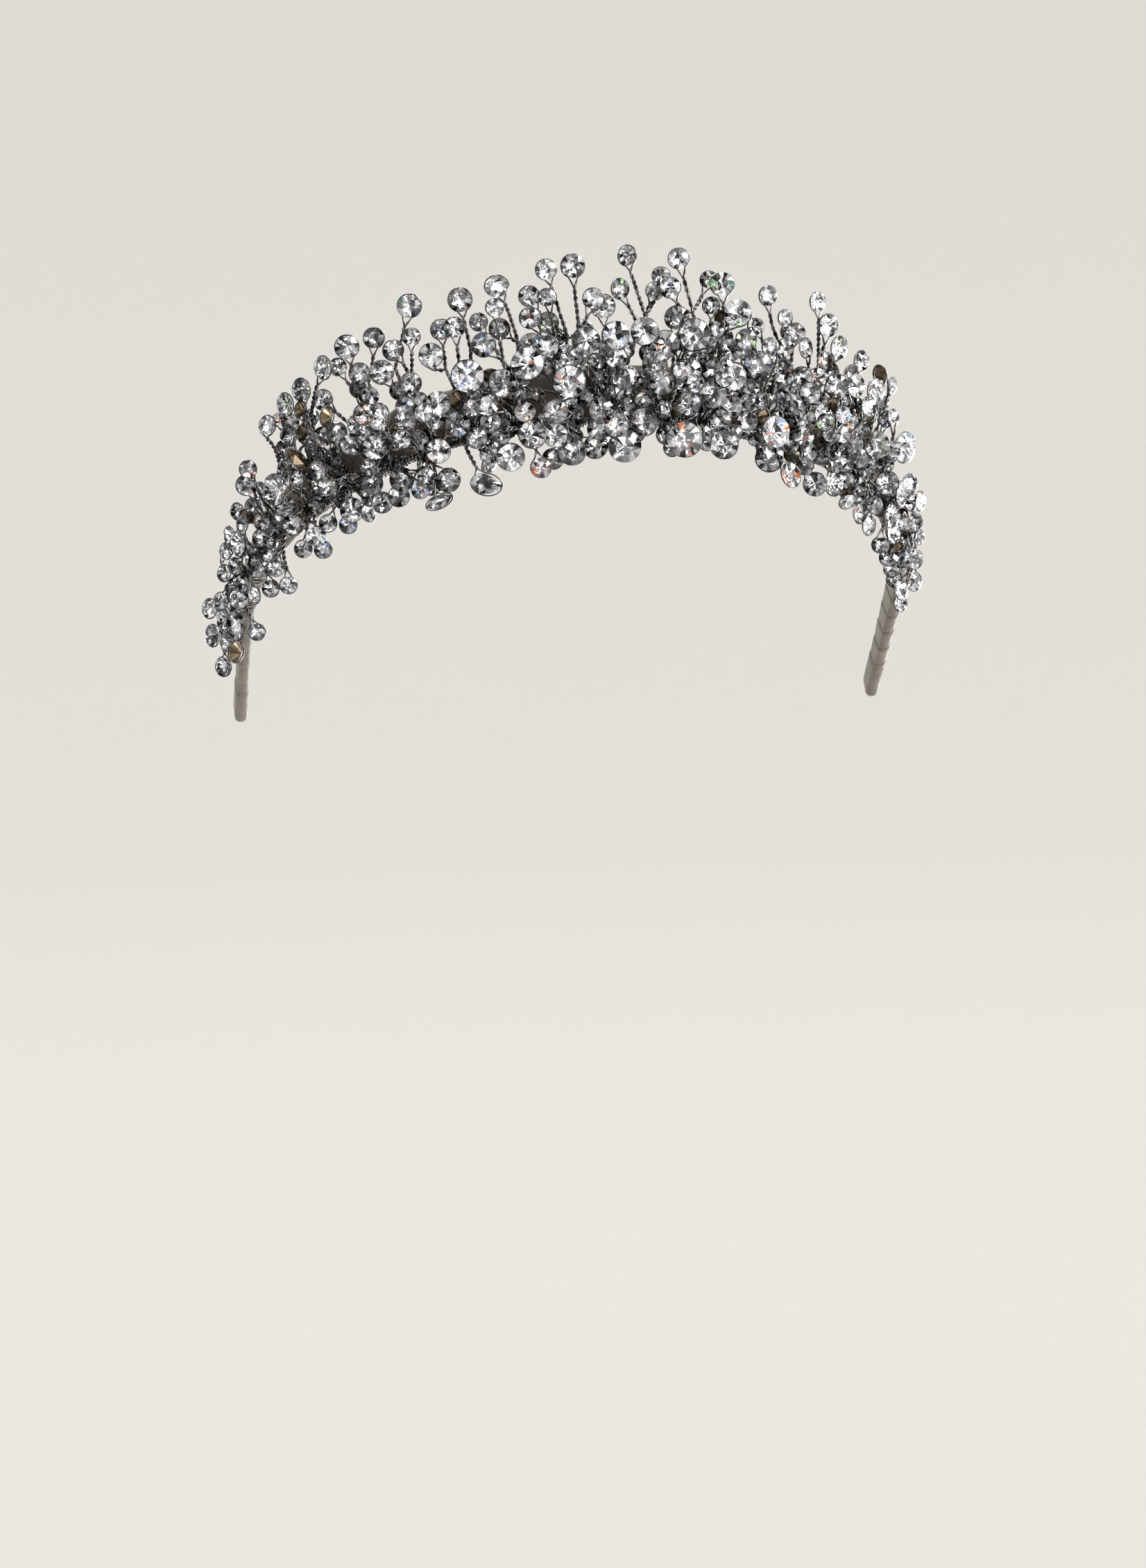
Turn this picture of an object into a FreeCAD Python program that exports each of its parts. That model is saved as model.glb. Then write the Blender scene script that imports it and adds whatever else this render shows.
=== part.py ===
import FreeCAD, Part
import math
import os
from FreeCAD import Vector as V, Rotation, Placement, Matrix

# Bridal tiara: about 400 foil-backed crystals, each held by a wire hoop whose
# tails are twisted into a stem.  The stems are bound in sprays along a frame
# wire, and the frame wire is sewn to a ribbon-wrapped steel headband.
# Worn position: +Z up, -Y is the wearer's forehead side, +X is to the right
# when looking at the front.  The origin is the middle of the circle that the
# head fills, in the plane of the headband, which leans back from the vertical.

doc = FreeCAD.newDocument("BridalTiara")
sheet = doc.addObject("Spreadsheet::Sheet", "Sheet")
sheet.Label = "dimensions"

PARAMS = [
    # headband
    ("half_width", 78.6),        # half the width of the headband's curve
    ("crown_depth", 75.0),       # front of the curve to the widest point
    ("leg_length", 40.0),       # straight legs behind the widest point
    ("band_lean", 51.7),        # lean of the headband's plane from the horizontal plane, seen from the side
    ("flare", 38.3),            # outward flare of the crown from the plane's normal
    ("flare_from", 40.0),       # the flare fades between these two stations
    ("flare_to", 120.0),
    ("band_height", 13.0),      # ribbon-wrapped width at the front
    ("band_end_height", 6.0),   # ribbon-wrapped width at the ends
    ("band_thickness", 2.8),    # over the ribbon
    ("core_thickness", 1.0),    # spring steel strip
    ("ribbon_cover", 0.9),      # ribbon layers on each face of the core
    # wires
    ("frame_wire_d", 1.4),
    ("frame_offset", 3.0),      # frame wire's centre in front of the band's middle
    ("binding_d", 3.1),         # outside of the coil binding
    ("binding_bore", 1.46),
    ("binding_length", 7.0),
    ("stem_d", 0.85),            # two twisted strands
    ("trunk_d", 1.0),
    ("hoop_d", 0.42),
    # round crystals
    ("dia_a", 4.0), ("dia_b", 4.7), ("dia_c", 5.4), ("dia_d", 6.2), ("dia_e", 7.2), ("dia_f", 8.0),
    ("crown_ratio", 0.17),      # crown height / diameter
    ("pavilion_ratio", 0.40),   # pavilion depth / diameter
    ("crown_taper", 54.0),
    ("pavilion_taper", 47.5),
]
for i, (name, value) in enumerate(PARAMS):
    sheet.set("A%d" % (i + 1), name)
    sheet.set("B%d" % (i + 1), "%g" % value)
    sheet.setAlias("B%d" % (i + 1), name)
doc.recompute()
P = {name: float(sheet.get(name)) for name, _ in PARAMS}

# Arc stations of the sprays along the frame wire, in millimetres from the front
STATIONS = [-121.00, -110.81, -100.62, -90.43, -80.24, -70.05, -59.86, -49.67, -39.48, -29.29, -19.10, -8.90, 1.29, 11.48, 21.67, 31.86, 42.05, 52.24, 62.43, 72.62, 82.81, 93.00]

# One line per crystal: spray, cut (r round, m marquise, o oval, p pear), length, width,
# girdle centre, table direction, long-axis direction, then the stem's start at the
# hoop, its middle and its end.
STONES = [
    (1, "r", 4.7, 4.7, -84.17, 7.1, -10.22, -0.667, -0.745, -0.007, -0.06, 0.045, 0.997, -83.46, 6.45, -7.72, -83.69, 5.69, -3.93, -82.97, 3.15, -1.09),
    (1, "r", 5.4, 5.4, -82, -6.42, -5.89, -0.699, 0.702, 0.138, 0.411, 0.552, -0.726, -81.09, -6.08, -3.02, -82.38, -4.39, -1.04, -83.14, -2.51, 1.04),
    (1, "r", 5.4, 5.4, -86.79, 3.07, -2.46, -0.845, -0.534, 0.041, -0.219, 0.414, 0.884, -85.4, 1.01, -0.72, -84.49, 0.49, 0.3, -83.29, -0.2, 0.75),
    (1, "r", 4, 4, -84.1, -2.37, -4.07, -0.849, -0.528, 0.01, 0.039, -0.081, -0.996, -84.77, -1.25, -2.14, -84.46, 0.31, -0.61, -82.92, 1.72, 0.11),
    (2, "r", 4.7, 4.7, -87.77, -5.79, 4.42, -0.743, -0.666, 0.065, 0.364, -0.484, -0.796, -86.13, -7.49, 5.68, -84.08, -6.18, 6.4, -81.99, -4.85, 5.8),
    (2, "r", 6.2, 6.2, -84.73, -10.01, 1.91, -0.863, -0.503, -0.055, 0.429, -0.786, 0.446, -84.58, -10.64, 5.28, -83.65, -9.89, 7.91, -81.17, -9.48, 9.35),
    (3, "r", 4, 4, -77.62, -17.76, -0.89, -0.229, -0.97, -0.08, -0.955, 0.24, -0.175, -78.3, -17.78, 1.34, -80.34, -15.99, 6.7, -80.42, -13.39, 12.12),
    (3, "p", 7, 4.4, -82.34, -16.83, 0.7, -0.188, -0.981, 0.057, 0.047, -0.067, -0.997, -81.54, -16.78, 4.26, -81.39, -16.25, 5.83, -80.67, -15.64, 7.19),
    (3, "r", 4, 4, -83.49, -7.69, 17.87, -0.63, 0.777, -0.008, -0.738, -0.602, -0.305, -84.57, -8.58, 16, -83.49, -13.14, 13.93, -80.09, -16.98, 13.63),
    (3, "r", 4, 4, -85.51, -14.31, 6.52, -0.604, -0.797, -0.022, 0.487, -0.347, -0.801, -84.4, -15.2, 8.37, -83.06, -15.31, 11.21, -80.44, -15.7, 12.91),
    (3, "r", 4, 4, -84.97, -19.46, 13.18, -0.708, -0.701, 0.08, -0.68, 0.647, -0.346, -86.6, -17.8, 13.21, -83.88, -14.86, 13.64, -80.12, -13.89, 12.59),
    (3, "r", 4, 4, -81.7, -10.42, 14.33, -0.302, 0.667, 0.681, 0.949, 0.28, 0.147, -81.61, -12.06, 15.98, -81.23, -16.17, 15.59, -79.32, -19.44, 13.91),
    (3, "r", 4.7, 4.7, -81.58, -18.57, 7.22, 0.005, -0.997, -0.073, 0.79, 0.049, -0.611, -80.91, -18.75, 9.81, -80.63, -18.08, 12.03, -79.84, -17.47, 14.14),
    (3, "r", 4, 4, -82.39, -15.26, 9.36, 0.04, -0.722, -0.691, -0.824, 0.367, -0.431, -81.08, -16.55, 10.79, -80.82, -16.29, 12.29, -80.04, -16, 13.6),
    (3, "r", 4, 4, -80.63, -20.47, 10.65, -0.801, -0.598, 0.025, 0.106, -0.183, -0.977, -81.95, -18.67, 11.31, -81.9, -17.06, 12.03, -80.74, -15.76, 11.72),
    (4, "r", 4, 4, -84.06, -16.01, 18.18, -0.849, -0.528, -0.011, -0.4, 0.631, 0.665, -82.83, -17.98, 18.1, -80.58, -20.53, 18.08, -77.55, -22.05, 17.93),
    (4, "r", 4, 4, -78.59, -26.32, 8.1, -0.828, -0.559, -0.045, 0.118, -0.094, -0.989, -78.58, -26.53, 10.42, -78.86, -26.15, 15.43, -76.11, -25.69, 19.63),
    (4, "r", 4, 4, -83.53, -19.71, 21.98, -0.85, -0.526, 0.011, 0.104, -0.189, -0.976, -82.92, -20.74, 19.98, -81.12, -20.4, 18.87, -78.55, -21.12, 15.91),
    (4, "r", 4, 4, -74.97, -29.94, 9.72, -0.293, -0.954, 0.058, -0.152, -0.013, -0.988, -75.11, -29.76, 12.04, -76.11, -28.31, 16.88, -74.81, -26.07, 21.34),
    (4, "r", 4, 4, -80.99, -28.11, 24.7, -0.809, -0.577, 0.11, -0.428, 0.451, -0.783, -80.95, -28.59, 22.42, -78.95, -27.51, 19.66, -76.06, -25.87, 18.31),
    (4, "r", 4, 4, -82.36, -19.85, 14.71, -0.708, -0.705, -0.041, 0.493, -0.535, 0.686, -81.03, -21.27, 16, -79.46, -22.07, 18.01, -76.96, -22.77, 18.7),
    (4, "r", 6.2, 6.2, -82, -28.79, 20.3, -0.913, -0.408, 0.023, 0.275, -0.572, 0.772, -80.8, -31.56, 18.67, -78.07, -29.46, 19.56, -75.47, -27.03, 19.58),
    (4, "r", 4.7, 4.7, -81.28, -18.69, 19.94, -0.306, -0.951, 0.036, 0.952, -0.306, 0.013, -78.8, -19.51, 19.35, -77.43, -22.2, 19.09, -76.59, -25.08, 18.65),
    (4, "r", 4, 4, -74.26, -30.06, 20.71, 0.571, -0.821, -0.009, -0.532, -0.362, -0.765, -73.34, -29.4, 18.67, -75.55, -26.13, 18.7, -77.48, -22.76, 18.02),
    (4, "r", 5.4, 5.4, -78.67, -27.28, 16.46, -0.822, -0.563, 0.084, 0.067, 0.05, 0.996, -78.19, -27.54, 19.44, -77.21, -26.73, 20.27, -75.85, -26.09, 19.99),
    (4, "r", 4, 4, -77.23, -23.98, 14.04, -0.083, -0.982, -0.169, -0.955, 0.03, 0.296, -77.06, -24.39, 16.33, -77.22, -24.33, 17.62, -76.82, -24.22, 18.85),
    (5, "r", 4, 4, -79.31, -33.16, 37.31, 0.163, -0.985, 0.055, 0.876, 0.17, 0.451, -78.34, -33.12, 35.19, -75.54, -32.71, 28.39, -72.55, -31.11, 21.87),
    (5, "r", 4, 4, -81.65, -23.14, 27.47, -0.711, -0.703, -0.027, -0.688, 0.703, -0.18, -80.01, -24.79, 27.39, -78.17, -28.72, 27.32, -75.32, -31.99, 27.09),
    (5, "r", 4.7, 4.7, -79.84, -32.14, 33.66, -0.085, -0.993, 0.077, -0.792, 0.02, -0.611, -78.4, -32.44, 31.43, -75.85, -32.45, 26.58, -72.5, -31.37, 22.4),
    (5, "r", 4, 4, -71.09, -33.59, 10.53, 0.076, -0.991, 0.11, -0.972, -0.098, -0.212, -70.99, -33.32, 12.84, -71.93, -32.76, 19.37, -70.45, -32.25, 25.8),
    (5, "r", 4, 4, -79.31, -25.67, 26.33, -0.087, 0.867, -0.49, -0.886, -0.293, -0.361, -77.73, -26.39, 24.78, -76.76, -29.18, 25.03, -75.57, -31.79, 25.75),
    (5, "r", 4, 4, -77, -31.66, 32.29, -0.784, -0.606, 0.137, 0.506, -0.495, 0.706, -76.27, -33, 30.52, -73.92, -34.17, 27.49, -70.64, -33.58, 25.26),
    (5, "r", 4, 4, -73.88, -34.44, 14.48, -0.09, -0.984, -0.155, -0.531, 0.179, -0.828, -73.2, -34.84, 16.67, -72.97, -34, 18.61, -72.02, -32.82, 20.1),
    (5, "r", 4, 4, -78.33, -28.55, 28.61, -0.465, -0.883, 0.057, -0.46, 0.186, -0.868, -76.45, -29.6, 27.71, -73.58, -32.4, 25.96, -70.02, -34.45, 24.45),
    (5, "r", 4, 4, -75.21, -30.13, 16.76, -0.135, -0.939, 0.316, -0.991, 0.122, -0.061, -74.09, -29.62, 18.74, -73.4, -29.84, 22.11, -71.56, -30.96, 24.8),
    (5, "r", 4, 4, -77.34, -33.09, 21.39, -0.614, -0.79, 0.004, 0.746, -0.581, -0.326, -75.63, -34.42, 22.24, -72.71, -34.85, 23.84, -69.38, -34.82, 24.25),
    (5, "r", 4, 4, -76.65, -32.13, 25.15, -0.468, -0.883, 0.024, -0.138, 0.1, 0.985, -74.74, -33.17, 24.32, -73, -33.1, 23.86, -71.35, -32.79, 23.2),
    (5, "r", 4, 4, -72.87, -36.52, 25.3, -0.471, -0.882, 0.009, -0.612, 0.334, 0.717, -71.18, -37.41, 26.64, -70.47, -35.7, 27.21, -69.68, -34.1, 26.44),
    (5, "r", 4, 4, -70.12, -33.99, 24.66, -0.44, -0.889, -0.127, -0.045, -0.119, 0.992, -71.1, -33.22, 22.69, -71.02, -33.18, 22.95, -70.8, -33.17, 23.12),
    (6, "r", 5.4, 5.4, -71.12, -40.34, 51.77, -0.811, -0.583, -0.059, -0.57, 0.761, 0.309, -72.09, -38.75, 49.38, -71.25, -36.24, 47.51, -72.06, -32.16, 39.51),
    (6, "r", 4, 4, -68.73, -27.12, 47.85, 0.182, 0.664, -0.725, 0.26, -0.744, -0.616, -68.65, -28.85, 46.29, -68.39, -33.82, 40.24, -66.65, -36.99, 28.91),
    (6, "r", 4, 4, -71.98, -33.93, 48.63, -0.433, -0.641, 0.634, -0.152, 0.745, 0.649, -71.75, -35.64, 47.06, -70.22, -35.49, 43.7, -68.64, -33.82, 40.81),
    (6, "r", 4.7, 4.7, -75.13, -37.07, 47.16, -0.679, -0.726, 0.11, 0.042, 0.111, 0.993, -75.71, -36.92, 44.55, -73.82, -34.49, 42.84, -72.17, -31.95, 38.8),
    (6, "r", 4, 4, -70.46, -25.93, 41.53, -0.678, -0.689, 0.256, -0.374, 0.024, -0.927, -69.68, -27.32, 39.83, -70, -31.6, 38.84, -66.01, -37.66, 29.38),
    (6, "r", 4, 4, -66.36, -31.89, 45.27, -0.547, -0.104, -0.831, 0.432, 0.815, -0.387, -64.42, -31.77, 43.98, -67.67, -33.66, 40.81, -69.31, -32.61, 38.19),
    (6, "r", 4.7, 4.7, -70.45, -38.72, 44.83, -0.679, -0.731, 0.059, 0.734, -0.676, 0.066, -69.62, -39.67, 42.46, -66.86, -41.08, 36.65, -62.95, -40.93, 31.37),
    (6, "r", 4, 4, -71.32, -36.47, 41.68, 0.575, -0.817, -0.049, -0.277, -0.138, -0.951, -70.91, -36.04, 39.43, -69.18, -38.36, 36.99, -66.52, -40.86, 35.96),
    (6, "m", 6.9, 3.3, -69.02, -43.78, 39.34, -0.37, 0.929, -0.001, 0.655, 0.26, -0.709, -67.11, -43.03, 36.37, -65.69, -42, 33.23, -63.94, -40.26, 30.62),
    (6, "r", 7.2, 7.2, -74.4, -41.13, 32.56, -0.788, -0.615, -0.023, -0.573, 0.748, -0.335, -71.98, -44.23, 32.52, -68.63, -43.8, 32.64, -65.99, -41.67, 32.66),
    (6, "r", 5.4, 5.4, -72, -40.47, 36.4, -0.892, -0.445, -0.084, 0.039, 0.111, -0.993, -71.35, -41.22, 33.54, -68.37, -41.15, 30.92, -64.89, -39.58, 29.84),
    (6, "r", 4, 4, -67.85, -38.33, 18.85, -0.171, -0.985, -0.034, 0.535, -0.122, 0.836, -66.88, -38.57, 20.95, -66.09, -39.46, 26.11, -63.06, -41.64, 29.88),
    (6, "r", 4, 4, -63.47, -40.69, 18.62, -0.079, -0.964, 0.252, 0.995, -0.061, 0.079, -63.89, -40.08, 20.83, -64.95, -39.81, 24.14, -65.18, -39.37, 27.59),
    (6, "r", 4, 4, -69.17, -43.62, 34.79, -0.771, -0.631, 0.089, 0.203, -0.375, -0.905, -69.02, -44.13, 32.52, -66.82, -42.91, 30.01, -64.05, -40.76, 29.4),
    (6, "r", 4.7, 4.7, -65.3, -42.83, 21.75, -0.07, -0.938, -0.339, 0.44, -0.334, 0.834, -66.22, -43.63, 24.14, -66.96, -41.57, 26.5, -66.22, -38.51, 27.16),
    (6, "r", 4.7, 4.7, -70.21, -40.45, 24.53, -0.152, -0.968, 0.201, 0.982, -0.171, -0.077, -68.45, -40.31, 26.54, -67.22, -39.77, 28.86, -64.99, -38.93, 30.06),
    (6, "r", 4.7, 4.7, -71.52, -38.99, 28.63, 0.017, -0.983, 0.184, 0.888, 0.099, 0.449, -68.88, -38.87, 29.06, -66.35, -40.02, 30.37, -63.5, -41.14, 30.38),
    (6, "r", 4, 4, -67.28, -38.61, 26.74, -0.364, 0.931, -0.037, 0.919, 0.352, -0.175, -65.93, -38.01, 28.55, -65.92, -38.58, 28.54, -65.87, -39.03, 28.19),
    (6, "r", 4, 4, -64.79, -41.8, 28.95, -0.375, -0.874, -0.308, -0.506, 0.471, -0.722, -63.57, -41.63, 26.97, -63.73, -41.2, 27.75, -63.79, -40.64, 28.46),
    (7, "r", 5.4, 5.4, -62.91, -46.95, 59.8, -0.785, -0.617, -0.057, 0.619, -0.778, -0.104, -63.58, -45.85, 57.06, -65.1, -43.15, 50.5, -64.8, -39.6, 45.76),
    (7, "r", 5.4, 5.4, -67.86, -45.88, 54.96, -0.752, -0.657, -0.051, -0.085, 0.019, 0.996, -67.35, -46.22, 51.99, -64.43, -47.13, 41.41, -59.38, -44.66, 31.93),
    (7, "r", 4, 4, -69.51, -36.46, 47.93, 0.167, -0.923, 0.348, 0.317, -0.284, -0.905, -68.7, -37.1, 45.84, -67.18, -41.9, 43.36, -64.67, -46.64, 41.71),
    (7, "r", 4, 4, -68, -43.85, 50.59, -0.688, 0.705, 0.169, 0.45, 0.598, -0.663, -67.53, -42.9, 48.51, -62.32, -45.15, 39.73, -54.52, -47.46, 33.17),
    (7, "r", 4, 4, -65.18, -41.51, 48.61, 0.347, -0.927, -0.141, 0.508, 0.06, 0.859, -64.74, -41, 46.38, -63.71, -43.12, 42.19, -61.19, -45.4, 38.78),
    (7, "r", 4.7, 4.7, -62.66, -50.22, 48.89, -0.684, 0.71, 0.168, 0.634, 0.464, 0.619, -62.01, -49.05, 46.56, -59.93, -47.68, 40.38, -57.1, -45.24, 34.85),
    (7, "r", 4.7, 4.7, -67.09, -40.32, 45.36, -0.688, 0.706, 0.166, 0.504, 0.63, -0.591, -67.12, -39.73, 42.75, -64.19, -43.5, 39.91, -59.82, -46.92, 39.54),
    (7, "r", 4.7, 4.7, -60.31, -48.93, 45.38, -0.039, -0.969, 0.244, 0.955, -0.109, -0.278, -60.03, -49.59, 42.79, -59.75, -48.07, 37.53, -58.98, -44.18, 33.73),
    (7, "r", 4.7, 4.7, -63.3, -46.95, 44.21, -0.294, -0.947, 0.128, 0.898, -0.228, 0.377, -62.26, -47.59, 41.82, -61.33, -47.98, 39.38, -59.9, -47.44, 37.21),
    (7, "r", 6.2, 6.2, -65.41, -43.11, 41.73, -0.877, -0.48, 0.026, -0.472, 0.851, -0.231, -64.27, -45.31, 39.36, -60.54, -47.33, 36.53, -56.12, -47.08, 34),
    (7, "r", 4, 4, -66.9, -40.38, 37.34, 0.077, -0.914, -0.397, -0.103, -0.404, 0.909, -64.82, -39.82, 36.46, -61.97, -42.68, 34.03, -58.71, -44.75, 31.33),
    (7, "r", 4, 4, -62.49, -44.3, 24.69, -0.177, -0.978, 0.111, -0.914, 0.122, -0.386, -61.27, -44.3, 26.67, -60.29, -45.39, 30.09, -57.85, -45.83, 32.86),
    (7, "r", 4.7, 4.7, -50.88, -52.82, 29.21, 0.029, -0.999, 0.046, -0.274, 0.036, 0.961, -52.98, -52.81, 30.88, -55.59, -50.66, 32.8, -56.04, -46.8, 32.9),
    (7, "r", 4, 4, -63.15, -51.83, 33.42, 0.088, -0.989, 0.116, -0.995, -0.081, 0.064, -60.91, -51.57, 34.01, -57.91, -49.95, 35.34, -55.24, -47.44, 35.2),
    (7, "r", 4, 4, -58.07, -45.83, 24.11, -0.181, -0.969, -0.17, -0.982, 0.189, -0.031, -58.21, -46.21, 26.4, -58.74, -46.39, 29.6, -58.27, -45.53, 32.7),
    (7, "r", 4.7, 4.7, -64.59, -46.13, 36.73, -0.735, -0.678, -0.003, 0.138, -0.145, -0.98, -63.1, -47.74, 35.19, -59.66, -47.88, 33.77, -56.4, -46.51, 32.64),
    (7, "r", 4, 4, -64.9, -42.94, 33.23, -0.797, -0.597, 0.093, 0.027, -0.189, -0.982, -63.5, -44.79, 33.38, -59.55, -47.05, 34.5, -55.02, -47.5, 33.4),
    (7, "r", 4.7, 4.7, -61.28, -47.03, 39.29, -0.716, -0.696, -0.054, -0.68, 0.677, 0.281, -61.16, -46.95, 36.62, -60.06, -46.15, 34.79, -58.87, -44.78, 33.42),
    (7, "r", 4, 4, -53.55, -48.92, 26.86, 0.497, -0.849, 0.179, -0.694, -0.513, -0.506, -54.05, -48.73, 29.13, -55.72, -47.66, 32.42, -57.28, -45.05, 34.77),
    (7, "r", 4.7, 4.7, -62.23, -47.86, 32.45, -0.784, -0.621, -0.016, -0.121, 0.178, -0.977, -60.59, -49.93, 32.9, -57.9, -48.84, 33.87, -55.41, -47.21, 33.17),
    (7, "r", 5.4, 5.4, -57.21, -47.94, 27.59, 0.066, -0.998, -0.02, 0.903, 0.068, -0.424, -58.02, -48.05, 30.5, -59.04, -46.6, 32.68, -59.15, -43.97, 33.67),
    (7, "r", 4, 4, -53.36, -49.77, 30.32, -0.45, -0.887, 0.107, -0.592, 0.386, 0.707, -55.18, -48.72, 31.34, -56.69, -47.75, 32.33, -57.6, -46, 32.86),
    (7, "r", 4, 4, -58.91, -45.06, 29.77, -0.312, -0.763, 0.565, -0.425, -0.42, -0.802, -57.26, -44.58, 31.34, -56.95, -45.32, 33.18, -56.47, -46.44, 34.79),
    (8, "r", 4.7, 4.7, -51.05, -48.35, 66.15, -0.045, -0.997, -0.066, -0.604, 0.079, -0.793, -51.22, -48.17, 63.48, -51.33, -48.14, 61.8, -52.41, -47.87, 57.15),
    (8, "r", 5.4, 5.4, -57.22, -48.14, 64.3, -0.062, -0.989, -0.138, -0.339, -0.109, 0.935, -56.6, -47.77, 61.36, -56.24, -47.71, 59.6, -55.35, -47.3, 56.77),
    (8, "r", 4, 4, -59.14, -45.29, 59.86, 0.052, -0.984, -0.169, -0.668, -0.16, 0.727, -57.91, -44.9, 57.92, -56.11, -46.39, 54.92, -53.65, -47.46, 51.72),
    (8, "r", 4.7, 4.7, -54.64, -48.57, 58.3, -0.189, -0.982, -0.015, 0.918, -0.182, 0.352, -54.32, -48.59, 55.64, -54.09, -48.05, 54.55, -53.51, -47.55, 51.72),
    (8, "r", 4.7, 4.7, -62.8, -44.66, 52.62, -0.528, -0.848, 0.039, 0.83, -0.525, -0.185, -61.15, -45.77, 50.83, -55.2, -50.01, 45.05, -48.59, -51.1, 38.58),
    (8, "r", 4, 4, -54.94, -47.13, 54.73, -0.364, -0.912, -0.191, 0.422, -0.344, 0.839, -54.57, -46.8, 52.45, -54.84, -48.66, 49.2, -55.18, -49.83, 45.64),
    (8, "r", 4, 4, -52.51, -50.7, 53.25, 0.216, -0.964, 0.156, 0.922, 0.149, -0.358, -52.06, -50.96, 50.98, -52.06, -51.92, 44.06, -49.74, -50.93, 37.55),
    (8, "r", 4.7, 4.7, -54.34, -53.34, 49.11, 0.093, -0.988, -0.127, -0.12, -0.138, 0.983, -53.35, -52.94, 46.65, -52.77, -52.69, 44.87, -52.01, -52.01, 43.29),
    (8, "r", 4, 4, -56.87, -51.25, 46.85, -0.843, -0.536, 0.047, 0.538, -0.839, 0.088, -56.64, -51.81, 44.59, -54.33, -51.99, 40, -50.77, -50.48, 36.61),
    (8, "r", 4, 4, -41.6, -59.85, 34.65, -0.067, -0.994, -0.082, -0.984, 0.079, -0.162, -43.91, -59.72, 34.94, -47.63, -56.56, 36.61, -48.16, -51.45, 36.19),
    (8, "r", 4, 4, -42.67, -57.49, 31.85, -0.094, -0.995, -0.03, 0.69, -0.044, -0.722, -44.09, -57.41, 33.7, -45.88, -55.87, 36.26, -46.54, -52.72, 37.61),
    (8, "r", 4.7, 4.7, -57.24, -50.27, 42.48, -0.067, -0.996, 0.061, 0.737, -0.008, 0.676, -55.28, -50.51, 40.67, -54.83, -51.12, 40.08, -54.15, -51.64, 39.63),
    (8, "r", 4, 4, -54.29, -51.5, 45.05, -0.537, -0.804, 0.256, 0.416, 0.011, 0.909, -53.16, -52.76, 43.45, -50.54, -53.07, 40.89, -48.03, -51.56, 38.67),
    (8, "r", 5.4, 5.4, -52.52, -56.03, 41.62, -0.321, -0.941, 0.106, -0.289, -0.009, -0.957, -52.54, -56.37, 38.61, -51.62, -53.61, 36.12, -50.32, -50.13, 35.16),
    (8, "r", 4, 4, -50.9, -53.51, 44.65, 0.004, -0.787, 0.617, 0.211, -0.603, -0.77, -49.9, -54.8, 42.99, -49.14, -53.97, 38.99, -48.36, -51.22, 35.97),
    (8, "r", 4.7, 4.7, -47.21, -54.13, 30.52, -0.104, -0.991, 0.088, 0.318, -0.117, -0.941, -47.23, -53.89, 33.19, -47.56, -53.26, 36.45, -47.09, -51.63, 39.33),
    (8, "r", 4, 4, -53.89, -54.27, 37.29, -0.487, -0.871, 0.059, 0.469, -0.318, -0.823, -51.94, -55.4, 36.71, -50.7, -53.25, 37, -50.12, -50.86, 36.58),
    (8, "r", 4.7, 4.7, -53.02, -53.6, 33.51, -0.022, -0.999, 0.029, -0.253, -0.022, -0.967, -51.11, -53.59, 35.4, -49.96, -53.05, 37.27, -48.3, -51.74, 38.09),
    (9, "r", 5.4, 5.4, -43.22, -52.18, 73.02, -0.164, -0.962, -0.218, -0.757, 0.265, -0.597, -43.87, -51.42, 70.16, -45.49, -51.49, 63.93, -46.69, -51.02, 59.3),
    (9, "r", 4, 4, -43.36, -55.66, 66.15, -0.174, -0.979, 0.106, -0.196, 0.14, 0.971, -43.44, -55.9, 63.83, -43.25, -54.62, 61.51, -43.44, -53.57, 56.86),
    (9, "r", 4.7, 4.7, -47.26, -53.12, 63.19, 0.021, -0.976, -0.218, 0.01, 0.219, -0.976, -45.66, -52.61, 61.09, -45.33, -53.31, 60.49, -43.59, -53.5, 56.71),
    (9, "r", 5.4, 5.4, -50.09, -53.22, 58.46, -0.164, -0.976, 0.144, -0.213, -0.108, -0.971, -48.39, -53.86, 56.03, -43.27, -56.25, 47.72, -36.98, -56.33, 39.89),
    (9, "r", 4, 4, -42.95, -47.38, 55.78, -0.182, -0.431, -0.884, 0.972, -0.216, -0.095, -41.52, -49.13, 56.34, -42.08, -54.26, 52.66, -42.15, -56.02, 46.57),
    (9, "r", 4.7, 4.7, -43.91, -56.08, 55.78, -0.152, -0.982, -0.112, 0.983, -0.138, -0.122, -43.17, -55.91, 53.21, -41.45, -56.67, 46.06, -39.18, -55.38, 39.14),
    (9, "r", 4, 4, -46.55, -53.97, 54.16, -0.328, -0.942, -0.072, -0.918, 0.3, 0.26, -45.32, -54.25, 52.2, -43.81, -56.05, 48.64, -41.34, -56.43, 45.18),
    (9, "r", 6.2, 6.2, -51.58, -56.75, 48.42, -0.755, -0.655, 0.007, -0.338, 0.399, 0.852, -50.47, -58.06, 45.45, -46.44, -57.48, 42.04, -42.23, -54.54, 40.69),
    (9, "m", 6.5, 3.1, -38.9, -60.67, 29.15, -0.233, -0.972, 0.031, 0.894, -0.202, 0.4, -39.33, -60.51, 30.99, -40.72, -59.38, 36.48, -40.62, -55.49, 40.75),
    (9, "r", 4, 4, -45.66, -57.66, 50.72, -0.229, -0.961, 0.153, 0.911, -0.267, -0.315, -45.77, -58, 48.42, -45.99, -58.24, 45.22, -45.62, -57.12, 42.22),
    (9, "r", 4, 4, -41.91, -61.69, 49.1, -0.182, -0.983, 0.02, 0.705, -0.116, 0.7, -40.86, -61.93, 47.04, -39.17, -59.78, 43.91, -37.46, -56.28, 42.47),
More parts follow.
